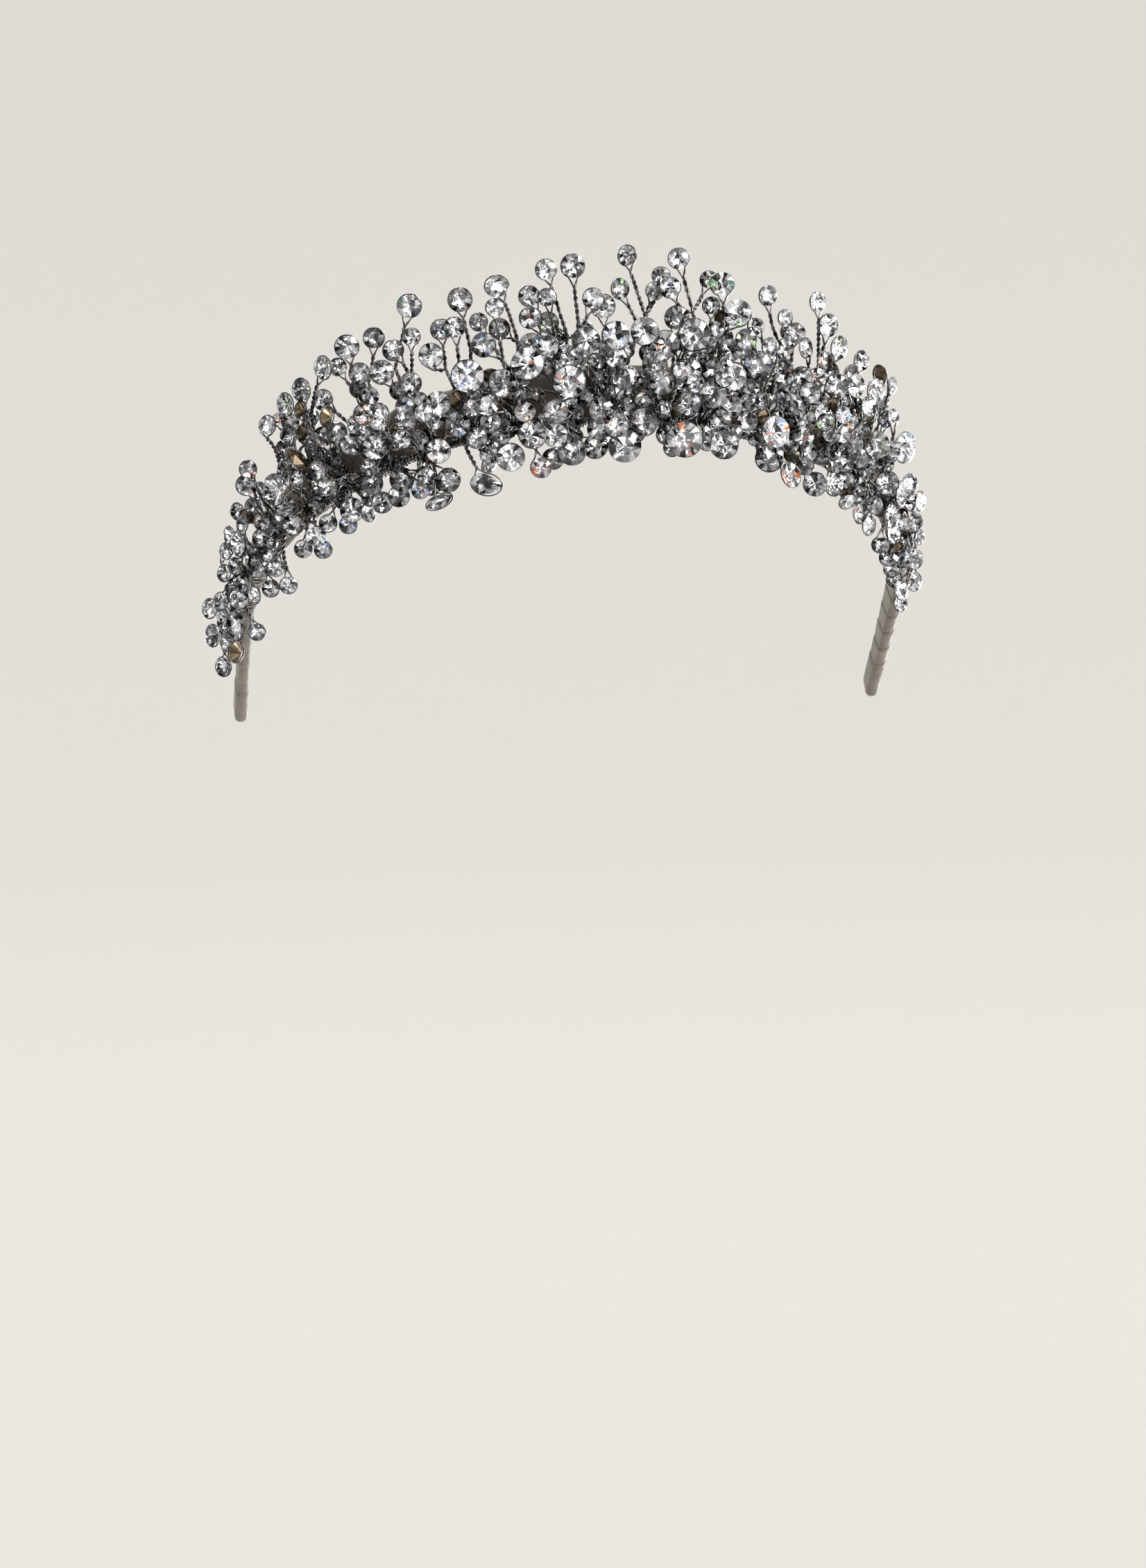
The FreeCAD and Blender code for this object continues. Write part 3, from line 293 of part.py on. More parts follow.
    (14, "r", 5.4, 5.4, 17.29, -66.31, 49.44, -0.26, -0.963, 0.077, -0.773, 0.159, -0.614, 14.43, -65.59, 48.78, 12.02, -64.22, 48.61, 10.21, -62.42, 47.52),
    (14, "r", 4, 4, 7.39, -65.43, 50.67, 0.102, -0.88, -0.464, -0.213, -0.475, 0.853, 9.04, -64.52, 49.3, 10.57, -63.88, 48.08, 11.78, -62.44, 47.25),
    (14, "r", 4, 4, 11.31, -67.94, 48.39, -0.757, -0.652, 0.032, 0.187, -0.169, 0.968, 10.28, -66.83, 46.62, 11.68, -64.72, 45.43, 13.14, -62.42, 44.76),
    (14, "r", 4, 4, 5.62, -64.29, 43.12, -0.076, -0.959, 0.275, 0.002, -0.275, -0.961, 7.79, -64.22, 43.98, 11.25, -64.09, 46.01, 14.9, -62.47, 46.32),
    (14, "r", 4, 4, 13.83, -62.79, 39.58, -0.527, -0.85, -0.009, -0.276, 0.182, -0.944, 13.11, -62.36, 41.76, 12.17, -62.97, 44.51, 10.44, -62.9, 46.92),
    (14, "r", 4, 4, 9.77, -63.59, 51.68, -0.147, -0.922, 0.358, 0.495, 0.245, 0.833, 10.5, -64.49, 49.66, 11.25, -64.33, 47.5, 11.94, -62.95, 45.81),
    (14, "r", 4.7, 4.7, 12.66, -63.72, 42.74, -0.291, -0.921, 0.258, -0.956, 0.269, -0.118, 13.28, -63.2, 45.3, 13.41, -63.03, 45.51, 13.48, -62.74, 45.5),
    (15, "r", 4.7, 4.7, 17.13, -59.75, 81.93, -0.235, -0.97, 0.07, 0.971, -0.231, 0.062, 17.69, -60.07, 79.33, 19.01, -59.59, 74.44, 20.04, -59.38, 70.38),
    (15, "r", 4, 4, 24.45, -57.07, 77, -0.188, -0.981, 0.055, -0.883, 0.145, -0.446, 23.44, -56.99, 74.9, 21.73, -58.11, 71.91, 19.95, -59.39, 69.63),
    (15, "r", 4.7, 4.7, 14.71, -61.7, 75.44, -0.231, -0.969, 0.088, -0.149, 0.124, 0.981, 15.76, -62.17, 73.01, 17.01, -60.51, 71.06, 19.61, -59.44, 69.77),
    (15, "r", 5.4, 5.4, 26.99, -59.56, 75.94, -0.128, -0.97, 0.209, 0.901, -0.201, -0.383, 26.99, -60.2, 72.97, 27.23, -59.01, 69.56, 27.21, -58.46, 64.9),
    (15, "r", 4, 4, 24.71, -57.39, 71.22, -0.319, -0.929, 0.186, -0.592, 0.043, -0.805, 24.59, -57.81, 68.93, 23.74, -59.33, 57.77, 24.03, -60.08, 45.87),
    (15, "r", 6.2, 6.2, 30.37, -59.24, 69.32, -0.272, -0.942, 0.199, 0.399, -0.298, -0.867, 28.84, -59.44, 66.25, 28.59, -58.76, 65.17, 27.29, -58.42, 64.15),
    (15, "r", 4, 4, 27.65, -56.52, 68.35, 0.143, 0.933, 0.329, -0.989, 0.127, 0.069, 26.93, -55.68, 66.3, 25.8, -57.35, 62.14, 23.95, -59.18, 58.33),
    (15, "r", 4, 4, 25.34, -58.34, 65.73, -0.223, -0.913, 0.34, 0.571, -0.406, -0.714, 24.9, -59.05, 63.55, 24.34, -59.2, 57.67, 22.56, -60.4, 46.12),
    (15, "r", 4, 4, 27.63, -56.95, 64.44, -0.005, -0.867, 0.499, -0.851, 0.265, 0.453, 26.75, -58.02, 62.57, 25.66, -59.27, 59.54, 24.31, -59.21, 56.37),
    (15, "r", 4, 4, 30.01, -50.47, 61, 0.226, -0.955, 0.191, -0.944, -0.166, 0.286, 28.67, -51.15, 59.21, 27.92, -58.38, 57.01, 19.61, -60.99, 46.58),
    (15, "r", 4, 4, 23.28, -59.54, 62.35, -0.45, -0.779, 0.436, -0.602, -0.096, -0.793, 23.84, -60.88, 60.52, 25.35, -60.67, 58.21, 26.57, -59.29, 56.13),
    (15, "r", 5.4, 5.4, 17.52, -67.07, 56.71, -0.202, -0.977, -0.065, 0.449, -0.033, -0.893, 18.4, -67.06, 53.81, 21, -65.19, 48.83, 22.5, -61.26, 44.67),
    (15, "r", 4, 4, 25.37, -68.08, 54.85, -0.034, -0.984, 0.177, -0.999, 0.029, -0.028, 24.07, -68.38, 52.94, 22.59, -67.14, 50.4, 21.67, -64.82, 48.43),
    (15, "r", 4, 4, 27.02, -60.94, 57.09, -0.07, -0.986, -0.152, 0.805, 0.033, -0.592, 25.76, -60.55, 55.16, 23.12, -61.82, 50.16, 19.6, -61.77, 45.55),
    (15, "r", 4, 4, 31.85, -59.28, 53.52, -0.657, -0.728, -0.196, -0.748, 0.662, 0.049, 30.44, -57.74, 52.49, 26.57, -59.75, 51.39, 23.03, -61.76, 49.46),
    (15, "r", 5.4, 5.4, 28.17, -64.66, 54.7, -0.181, -0.981, 0.073, -0.317, -0.012, -0.949, 26.61, -64.57, 52.11, 24.15, -63.47, 47.44, 22.14, -60.66, 43.31),
    (15, "r", 4.7, 4.7, 23.57, -63.27, 56.71, -0.308, -0.941, -0.14, -0.795, 0.336, -0.505, 23.7, -62.92, 54.05, 23.92, -63.44, 50.63, 23.7, -63.06, 47.19),
    (15, "r", 8, 8, 15.9, -68.53, 41.44, -0.262, -0.964, -0.041, 0.809, -0.242, 0.536, 17.54, -69.14, 45.4, 19.53, -65.75, 47.12, 19.63, -61.66, 45.84),
    (15, "r", 6.2, 6.2, 22.76, -66.92, 51.29, -0.208, -0.977, -0.04, 0.412, -0.124, 0.903, 21.35, -66.49, 48.19, 21.1, -64.28, 46.22, 21.11, -61.37, 45.63),
    (15, "r", 4, 4, 25.19, -60.92, 54.18, -0.505, -0.627, -0.593, -0.841, 0.513, 0.174, 25.53, -59.48, 52.38, 24.36, -60.11, 48.18, 22.45, -61.25, 44.39),
    (15, "r", 4, 4, 28.85, -60.58, 51.73, -0.122, -0.982, 0.145, 0.935, -0.163, -0.314, 27.61, -60.71, 49.76, 25.83, -61.31, 46.3, 23.63, -60.45, 43.16),
    (15, "r", 4, 4, 19.83, -62.46, 53.71, 0.024, -0.853, -0.522, -0.601, -0.429, 0.674, 19.73, -61.25, 51.73, 19.75, -61.31, 49.16, 19.6, -60.9, 46.64),
    (15, "r", 6.2, 6.2, 25.18, -66.71, 39.89, -0.218, -0.973, 0.078, 0.305, -0.144, -0.941, 23.05, -66.03, 42.49, 22.02, -64.29, 44.89, 21.11, -61.38, 45.61),
    (15, "r", 4, 4, 15.08, -63.3, 47.79, 0.685, 0.605, -0.406, -0.184, -0.396, -0.9, 16.76, -64.41, 48.97, 20.81, -63.02, 48.92, 22.53, -60.15, 46.25),
    (15, "r", 4.7, 4.7, 27.59, -64.29, 48.35, -0.289, -0.956, -0.048, 0.32, -0.049, -0.946, 25.83, -63.66, 46.43, 24.7, -62.52, 44.83, 23.8, -60.8, 43.66),
    (15, "r", 4.7, 4.7, 24.74, -64.71, 45.48, -0.355, -0.923, 0.15, 0.909, -0.303, 0.287, 22.25, -63.82, 45.07, 20.66, -62.89, 45.07, 19.42, -61.7, 44.39),
    (15, "r", 4, 4, 22.34, -61.44, 40.55, -0.027, -0.992, -0.121, 0.846, 0.042, -0.531, 21.82, -61.7, 42.8, 21.56, -61.73, 44.53, 21.12, -61.06, 46.07),
    (15, "r", 4, 4, 21.74, -63.38, 42.92, 0.232, -0.972, 0.022, -0.795, -0.203, -0.572, 22.82, -63.08, 44.96, 22.82, -62.15, 45.55, 22.58, -61.1, 45.33),
    (15, "r", 4, 4, 21.55, -62.47, 47.28, -0.356, -0.934, -0.031, 0.091, -0.068, 0.994, 22.91, -62.92, 45.45, 23.71, -61.94, 45.34, 24.05, -60.73, 45.16),
    (16, "r", 4.7, 4.7, 38.73, -53.59, 73.11, 0.392, -0.918, -0.056, 0.829, 0.326, 0.454, 38.85, -53.37, 70.44, 39.09, -53.51, 68.08, 40.39, -53.65, 63.5),
    (16, "r", 4, 4, 43.47, -52.88, 64.83, -0.174, -0.983, 0.055, -0.109, -0.036, -0.993, 42.46, -52.82, 62.73, 37.97, -55.36, 54.63, 32.31, -57.82, 44.08),
    (16, "r", 4, 4, 34.88, -57.69, 66.26, 0.292, -0.956, -0.004, 0.322, 0.094, 0.942, 35.87, -57.37, 64.17, 36.59, -56.55, 62.31, 38.01, -55.38, 58.99),
    (16, "r", 4.7, 4.7, 31.79, -61.8, 63.32, 0.039, -0.998, 0.038, -0.957, -0.026, 0.288, 33.42, -61.82, 61.19, 35.92, -59.79, 57.35, 37.66, -55.68, 55.06),
    (16, "r", 4, 4, 41.48, -56.77, 61.23, -0.095, -0.99, -0.109, -0.097, 0.118, -0.988, 40.3, -56.44, 59.25, 35.67, -58.57, 50.7, 30.11, -59.19, 42.47),
    (16, "r", 4, 4, 37.77, -59.44, 61.62, 0.233, -0.971, -0.052, 0.925, 0.205, 0.32, 37.24, -59.45, 59.35, 35.94, -59.95, 54.46, 34.78, -58.84, 49.63),
    (16, "r", 4, 4, 34.17, -48.77, 60.42, 0.53, 0.763, 0.369, -0.298, 0.575, -0.762, 35.22, -48.51, 58.36, 35.12, -56.33, 55.39, 32.84, -57.65, 43.95),
    (16, "r", 5.4, 5.4, 28.28, -59.81, 60.95, -0.221, -0.966, 0.134, 0.961, -0.239, -0.137, 30.17, -60.55, 58.7, 32.49, -59.71, 56.06, 34.43, -57.28, 54.22),
    (16, "r", 4, 4, 39.8, -56.04, 58.62, 0.332, -0.838, 0.433, 0.498, -0.234, -0.835, 39.48, -57.2, 56.63, 37.49, -58.69, 48.5, 34.67, -57.23, 40.61),
    (16, "r", 4, 4, 32.49, -57.66, 60.39, -0.074, -0.893, -0.444, -0.617, 0.39, -0.683, 33.41, -56.77, 58.44, 34.6, -57.96, 52.85, 36.8, -58.59, 47.49),
    (16, "r", 4, 4, 41.7, -54.28, 56.85, -0.118, -0.993, 0.029, -0.976, 0.111, -0.189, 40.48, -54.19, 54.87, 35.78, -56.97, 48.84, 31.82, -58.61, 41.92),
    (16, "r", 4.7, 4.7, 36.49, -50.56, 57.5, 0.622, -0.004, 0.783, -0.007, -1, 0.001, 37.72, -52.73, 56.52, 37.48, -56.07, 52.52, 35.01, -57.04, 48.03),
    (16, "r", 6.2, 6.2, 34.61, -60.38, 57.49, -0.239, -0.97, -0.04, -0.544, 0.1, 0.833, 34.48, -60.21, 54.07, 34.1, -59.33, 48.53, 34.62, -57.3, 43.31),
    (16, "r", 4, 4, 41.27, -56.15, 54.5, -0.159, -0.907, 0.389, -0.918, -0.009, -0.397, 39.7, -56.59, 52.83, 37.38, -58.12, 50.28, 34.56, -58.85, 47.87),
    (16, "o", 6, 4.1, 41.3, -61.21, 32.58, -0.076, -0.997, 0.02, 0.308, -0.042, -0.95, 39.29, -61.01, 34.93, 36.08, -60.74, 40.49, 31.46, -58.25, 44.19),
    (16, "r", 4, 4, 35.35, -58.59, 54.36, -0.034, -0.992, 0.125, -0.971, 0.003, -0.239, 34.73, -58.85, 52.12, 33.76, -59.44, 47.88, 32.64, -57.57, 44.07),
    (16, "r", 4, 4, 38.23, -57.6, 53.18, -0.048, -0.998, 0.032, 0.973, -0.039, 0.229, 37.29, -57.63, 51.05, 35.75, -58.27, 47.16, 33.93, -57.63, 43.4),
    (16, "r", 4, 4, 41.26, -57.3, 50.58, 0.045, -0.999, -0.028, -0.068, 0.025, -0.997, 39.84, -57.31, 48.74, 37.65, -58.05, 45.59, 35.14, -57.53, 42.65),
    (16, "r", 4, 4, 33.87, -66.55, 49.37, -0.803, -0.571, 0.168, 0.594, -0.787, 0.164, 32.62, -65.22, 47.92, 31.16, -62.58, 44.86, 30.48, -59.1, 42.43),
    (16, "r", 4, 4, 32.66, -61.42, 51.31, -0.092, -0.993, 0.075, -0.036, -0.072, -0.997, 32.33, -61.56, 49, 32.33, -60.47, 46.08, 32, -58.2, 43.96),
    (16, "r", 4.7, 4.7, 31.78, -63.17, 48.68, 0.062, -0.998, 0.033, -0.834, -0.034, 0.55, 32.28, -63.23, 46.05, 32.86, -61.22, 43.24, 32.79, -58.19, 41.49),
    (16, "r", 4, 4, 27.74, -64.31, 42.27, -0.234, -0.97, 0.07, -0.91, 0.244, 0.336, 30, -64.86, 42.13, 33.16, -61.97, 42.4, 34.11, -57.9, 41.43),
    (16, "r", 7.2, 7.2, 37.88, -62.85, 42.41, 0.364, -0.931, 0.007, 0.77, 0.297, -0.564, 34.82, -64.07, 40.27, 35.24, -62.54, 41.15, 35.7, -60.83, 41.55),
    (16, "r", 6.2, 6.2, 36.68, -60.06, 36.48, -0.101, -0.972, 0.21, -0.711, 0.219, 0.668, 34.58, -59.28, 39.08, 33.27, -59.24, 41.48, 31.25, -58.94, 43.29),
    (16, "r", 4, 4, 37, -58.46, 49.14, -0.046, -0.996, -0.073, -0.484, -0.042, 0.874, 35.6, -58.26, 47.29, 33.85, -58.39, 45.39, 32.51, -58.48, 43.19),
    (16, "r", 4.7, 4.7, 30.99, -64.27, 44.82, -0.049, -0.99, -0.133, -0.955, 0.086, -0.284, 32.6, -64.07, 42.68, 33.87, -61.26, 42.78, 33.66, -58.21, 42.43),
    (16, "r", 4.7, 4.7, 37.9, -57.5, 45.98, -0.228, -0.944, 0.237, -0.597, -0.057, -0.8, 36.34, -57.67, 43.8, 35.54, -57.95, 42.59, 34.67, -57.76, 41.4),
    (16, "r", 4, 4, 30.6, -59.21, 48.84, -0.115, -0.915, -0.386, 0.968, -0.016, -0.25, 30.5, -58.29, 46.7, 30.12, -58.73, 44.32, 30.06, -58.81, 41.87),
    (16, "r", 4, 4, 35.98, -57.41, 39.45, 0.381, -0.922, 0.07, 0.188, 0.151, 0.97, 34.21, -58.04, 40.82, 33.11, -58.51, 41.96, 31.69, -58.85, 42.74),
    (16, "r", 4.7, 4.7, 34.77, -58.83, 46.24, 0.283, 0.941, 0.183, -0.203, 0.245, -0.948, 33.76, -58.07, 43.87, 33.32, -58.37, 43.05, 32.86, -58.45, 42.19),
    (16, "r", 4, 4, 33.89, -59.43, 41.26, 0.058, -0.988, -0.145, -0.95, -0.01, -0.311, 31.67, -59.45, 40.53, 32.79, -58.86, 41.37, 34.01, -58.02, 41.68),
    (17, "r", 4.7, 4.7, 51.26, -48.66, 71.46, 0.529, -0.848, 0.015, -0.372, -0.216, 0.903, 51.22, -48.74, 68.78, 50.9, -48.57, 62.79, 50.88, -48.61, 56.15),
    (17, "r", 5.4, 5.4, 53.35, -49.64, 66.02, 0.462, -0.883, -0.084, 0.766, 0.35, 0.54, 52.82, -49.64, 63.04, 51.91, -48.85, 60.39, 51.43, -48.28, 55.82),
    (17, "r", 4, 4, 41.91, -57.12, 67.94, 0.434, -0.901, -0.008, 0.04, 0.01, 0.999, 42.06, -57.02, 65.62, 41.37, -55.11, 62.98, 43.53, -53.66, 55.69),
    (17, "r", 4.7, 4.7, 44.15, -55.86, 64.46, -0.026, -0.991, -0.128, 0.061, 0.126, -0.99, 43.82, -55.51, 61.82, 43.66, -54.59, 60.57, 43.9, -53.48, 55.07),
    (17, "r", 4.7, 4.7, 47.14, -54.15, 61.1, 0.674, -0.735, 0.072, 0.665, 0.561, -0.493, 47.94, -53.66, 58.59, 47.69, -52.48, 56.85, 49.06, -50.98, 54.14),
    (17, "r", 4, 4, 52.22, -50.25, 58.15, 0.392, -0.916, -0.083, 0.711, 0.359, -0.605, 50.88, -50.65, 56.29, 46.43, -53.72, 48.81, 40.79, -54.7, 41.58),
    (17, "r", 4, 4, 53.8, -48.57, 55.59, -0.781, -0.623, -0.049, 0.224, -0.206, -0.953, 53.71, -48.28, 53.28, 50.37, -50.95, 49.54, 45.8, -53.82, 47.74),
    (17, "r", 4.7, 4.7, 49.55, -53.3, 54.11, 0.33, -0.942, -0.056, 0.776, 0.237, 0.584, 48.63, -53.47, 51.6, 46.5, -54.48, 44.95, 43.7, -54.05, 38.49),
    (17, "r", 4.7, 4.7, 45.66, -55.06, 54.53, -0.216, -0.876, -0.432, -0.836, -0.063, 0.546, 45.99, -53.95, 52.12, 46.63, -54.37, 48.2, 45.98, -54.54, 44.26),
    (17, "r", 4.7, 4.7, 46.98, -57.63, 50.88, -0.322, -0.944, -0.075, -0.278, 0.019, 0.96, 45.84, -57.06, 48.52, 43.83, -56.66, 44.31, 41.99, -54.86, 40.39),
    (17, "r", 4, 4, 49.91, -52.51, 49.06, -0.017, -1, 0.003, 0.519, -0.006, 0.855, 48.15, -52.49, 47.53, 45.89, -54.04, 45.56, 43.88, -56.16, 43.87),
    (17, "r", 5.4, 5.4, 47.7, -56.99, 30.09, -0.272, -0.954, -0.125, -0.766, 0.294, -0.572, 45.77, -56.75, 32.41, 43.43, -57.03, 36.89, 39.53, -55.89, 39.91),
    (17, "r", 4, 4, 44.59, -55.14, 50.79, -0.355, -0.883, 0.306, -0.885, 0.212, -0.415, 43.61, -55.48, 48.7, 42.56, -55.49, 44.95, 41.47, -54.29, 41.41),
    (17, "r", 4, 4, 50.1, -58.41, 44.14, -0.375, -0.918, 0.128, 0.711, -0.197, 0.675, 48.09, -57.72, 43.18, 45.41, -56.21, 41.8, 43.18, -54.15, 40.3),
    (17, "m", 6.5, 3.2, 43.14, -59.65, 48.33, -0.077, -0.997, 0.004, 0.469, -0.04, -0.882, 43.54, -59.7, 45.27, 44.3, -57.43, 41.55, 44.77, -53.55, 39.46),
    (17, "r", 4, 4, 45.3, -57.48, 34.27, -0.27, -0.948, -0.166, 0.957, -0.247, -0.15, 43.58, -57.26, 35.83, 42.4, -56.62, 38.03, 40.56, -55.29, 39.23),
    (17, "r", 4, 4, 48.83, -52.21, 42.46, 0.812, 0.569, -0.127, 0.517, -0.6, 0.611, 48.05, -51.57, 40.36, 45.19, -52.92, 38.65, 41.87, -54.26, 38.26),
    (17, "r", 4, 4, 41.12, -55.94, 47.13, -0.318, -0.94, -0.125, 0.223, -0.202, 0.954, 41.85, -55.89, 44.91, 43.35, -55.21, 42.37, 44.32, -53.42, 40.11),
    (17, "r", 4, 4, 46.32, -56.16, 44.77, -0.302, -0.948, -0.106, 0.922, -0.318, 0.222, 44.69, -55.48, 43.25, 42.26, -55.61, 41.14, 39.86, -55.23, 39.03),
    (17, "r", 4.7, 4.7, 44.99, -58.31, 41.21, -0.088, -0.849, 0.521, 0.843, 0.215, 0.493, 42.76, -57.37, 42.36, 42.36, -55.61, 42.15, 42.21, -54.16, 41.05),
    (17, "r", 4, 4, 46.99, -54.28, 37.33, 0.208, -0.976, 0.057, -0.188, 0.017, 0.982, 45.32, -54.54, 38.92, 44.71, -54.4, 39.77, 43.87, -53.82, 40.06),
    (17, "r", 4, 4, 42.48, -55.89, 43.47, -0.435, -0.767, -0.471, -0.617, -0.127, 0.776, 41.21, -54.4, 42.21, 40.65, -55.11, 41.73, 40.11, -55.66, 41.05),
    (17, "r", 4, 4, 43.11, -55.12, 36.83, 0.141, 0.913, -0.384, -0.557, -0.247, -0.792, 42.1, -54.17, 38.71, 41.97, -54.56, 39.41, 41.6, -55.14, 39.81),
    (17, "r", 4, 4, 42.2, -56.76, 39.24, 0.112, -0.989, 0.099, -0.811, -0.034, 0.584, 44.51, -56.49, 39.35, 44.08, -55.26, 39.48, 43.16, -54.42, 39.08),
    (18, "r", 5.4, 5.4, 56.12, -48.15, 60.91, 0.606, -0.788, -0.112, -0.602, -0.362, -0.711, 55.5, -48.21, 57.94, 54.46, -47.14, 57.16, 55.42, -46.69, 52.85),
    (18, "r", 4.7, 4.7, 62.27, -43.34, 57.76, 0.573, -0.817, -0.06, -0.683, -0.436, -0.586, 61.46, -43.73, 55.23, 60.68, -43.49, 53.82, 59.24, -43.68, 50.2),
    (18, "r", 4.7, 4.7, 66.36, -44.47, 54.45, 0.876, 0.466, 0.127, 0.468, -0.754, -0.46, 66.48, -43.99, 51.81, 60.81, -47.12, 42.72, 51.87, -49.72, 36.55),
    (18, "r", 4, 4, 58.94, -45.66, 55.13, -0.739, -0.624, 0.255, -0.673, 0.698, -0.245, 58.79, -46.38, 52.92, 59.59, -47.6, 48.15, 60.72, -47.05, 43.33),
    (18, "r", 5.4, 5.4, 59.63, -48.96, 52.09, 0.576, -0.815, -0.066, -0.403, -0.353, 0.845, 58.28, -49.7, 49.48, 54.47, -52.06, 42.4, 49.3, -50.96, 35.91),
    (18, "r", 5.4, 5.4, 54.24, -52.22, 52.24, -0.136, -0.978, -0.156, -0.852, 0.196, -0.486, 54.12, -51.73, 49.25, 54.22, -51.86, 45.44, 53.58, -52.12, 41.68),
    (18, "r", 4.7, 4.7, 62.67, -48.62, 47.24, 0.521, -0.854, 0.002, 0.216, 0.129, -0.968, 61.25, -49.5, 45.14, 57.2, -50.01, 40.69, 52.82, -48.2, 36.94),
    (18, "r", 4, 4, 57.33, -47.94, 48.67, 0.184, -0.969, -0.166, -0.687, -0.005, -0.726, 56.9, -47.63, 46.4, 56.66, -48.96, 43.54, 56.42, -49.71, 40.48),
    (18, "r", 4, 4, 53.73, -50.29, 47.99, 0.342, 0.812, -0.473, 0.599, 0.199, 0.776, 52.81, -51.06, 45.99, 52.07, -51.56, 40.94, 50.76, -50.46, 36.1),
    (18, "r", 4, 4, 60.87, -46.53, 41.56, -0.697, -0.686, 0.211, -0.439, 0.64, 0.631, 59.71, -45.94, 39.63, 56.46, -47.92, 37.74, 52.53, -49.08, 36.63),
    (18, "r", 4, 4, 55.4, -53.64, 45.58, 0.344, -0.936, 0.071, 0.751, 0.32, 0.578, 54.24, -54.22, 43.64, 51.67, -54.04, 39.79, 48.85, -51.56, 37.07),
    (18, "r", 4, 4, 58.81, -49.52, 43.24, 0.213, -0.976, -0.052, -0.873, -0.214, 0.438, 57.02, -49.83, 41.77, 53.74, -50.74, 39.04, 50.34, -50.71, 36.32),
    (18, "r", 5.4, 5.4, 50.56, -54.4, 45.57, 0.536, -0.844, -0.003, -0.843, -0.535, 0.055, 51.72, -53.66, 42.88, 52.57, -51.6, 39.78, 51.98, -48.75, 37.32),
    (18, "r", 4, 4, 59.19, -47.97, 38.76, 0.218, -0.976, 0.007, -0.136, -0.037, -0.99, 57.1, -48.45, 37.84, 55.39, -48.66, 36.92, 53.56, -48.18, 36.38),
    (18, "r", 4, 4, 54.52, -49.12, 43.84, -0.655, -0.683, 0.324, 0.618, -0.237, 0.75, 53.58, -49.23, 41.71, 52.17, -50.3, 39.36, 50.13, -50.75, 37.27),
    (18, "r", 4, 4, 52.31, -54.68, 41.33, -0.237, -0.897, 0.374, 0.747, 0.078, 0.66, 50.98, -55.1, 39.47, 50.92, -53.02, 37.06, 51.47, -50.07, 35.98),
    (18, "r", 4, 4, 55.52, -51.77, 41.14, 0.201, -0.979, -0.024, 0.452, 0.114, -0.885, 54.79, -51.87, 38.93, 54, -50.95, 36.85, 53.08, -49.06, 35.68),
    (18, "r", 5.4, 5.4, 53.32, -51.66, 29.8, 0.559, -0.827, 0.063, -0.011, -0.083, -0.996, 52.43, -52.05, 32.67, 51.66, -51.96, 35.53, 49.7, -50.97, 37.51),
    (18, "r", 4, 4, 56.23, -49.61, 38.24, -0.497, -0.711, -0.497, 0.732, -0.651, 0.199, 54.39, -48.19, 38.05, 52.39, -49.3, 37.22, 50.81, -50.31, 35.68),
    (18, "r", 4, 4, 52.05, -51.17, 39.66, 0.409, -0.835, 0.368, 0.749, 0.538, 0.387, 53.52, -51.24, 37.85, 53.48, -50.02, 37.14, 52.75, -49, 36.46),
    (18, "r", 4, 4, 53.62, -49.99, 34.36, 0.125, -0.861, 0.494, -0.351, 0.427, 0.833, 51.67, -49.57, 35.57, 50.76, -50.09, 37.21, 49.27, -50.79, 38.25),
    (18, "r", 4, 4, 53.09, -50.54, 37.08, -0.055, -0.851, 0.522, -0.113, -0.515, -0.85, 50.8, -50.21, 37.37, 50.81, -50.19, 37.35, 50.81, -50.16, 37.33),
    (18, "r", 4, 4, 50.14, -52.2, 36.57, -0.38, -0.923, -0.062, -0.54, 0.167, 0.825, 52.11, -52.94, 35.56, 52.73, -51.32, 36.28, 52.29, -49.48, 36.32),
    (19, "r", 4, 4, 68.1, -36.51, 54.43, 0.679, 0.31, 0.666, 0.359, -0.931, 0.067, 69.81, -37.13, 52.97, 65.96, -43.02, 42.9, 57.24, -45.56, 34.63),
    (19, "r", 4, 4, 70.57, -37.71, 51.79, 0.755, -0.641, -0.135, 0.368, 0.244, 0.897, 69.44, -38.66, 49.98, 67.45, -40.55, 46.78, 66.21, -42.73, 43.39),
    (19, "r", 5.4, 5.4, 64.81, -46.7, 50.98, 0.567, -0.817, -0.107, -0.639, -0.518, 0.569, 64.35, -46.63, 47.99, 62.77, -46.5, 40.01, 60.16, -43.57, 32.88),
    (19, "r", 4, 4, 67.01, -40.01, 47.73, 0.133, -0.991, 0.015, 0.99, 0.132, -0.056, 65.85, -40.2, 45.72, 63.87, -43.16, 42.64, 62.57, -45.83, 38.99),
    (19, "r", 4, 4, 68.16, -38.85, 44.16, -0.723, -0.687, 0.067, -0.503, 0.458, -0.733, 67.8, -38.69, 41.86, 63.87, -42.5, 36.56, 58.23, -45.51, 32.42),
    (19, "r", 4, 4, 59.82, -46.03, 47.48, 0.117, -0.966, -0.23, -0.983, -0.146, 0.112, 60.38, -45.44, 45.29, 61.8, -43.99, 40.91, 62.73, -43.31, 36.23),
    (19, "r", 4.7, 4.7, 63.09, -43.62, 19.87, 0.648, -0.757, -0.079, -0.206, -0.075, -0.976, 63.09, -43.9, 22.54, 63.47, -43.97, 27.51, 61.38, -42.86, 31.89),
    (19, "r", 4, 4, 63.07, -44.23, 44.5, 0.499, 0.829, -0.253, -0.768, 0.287, -0.573, 62.22, -44.39, 42.34, 60.43, -45.51, 37.31, 57.97, -45.67, 32.44),
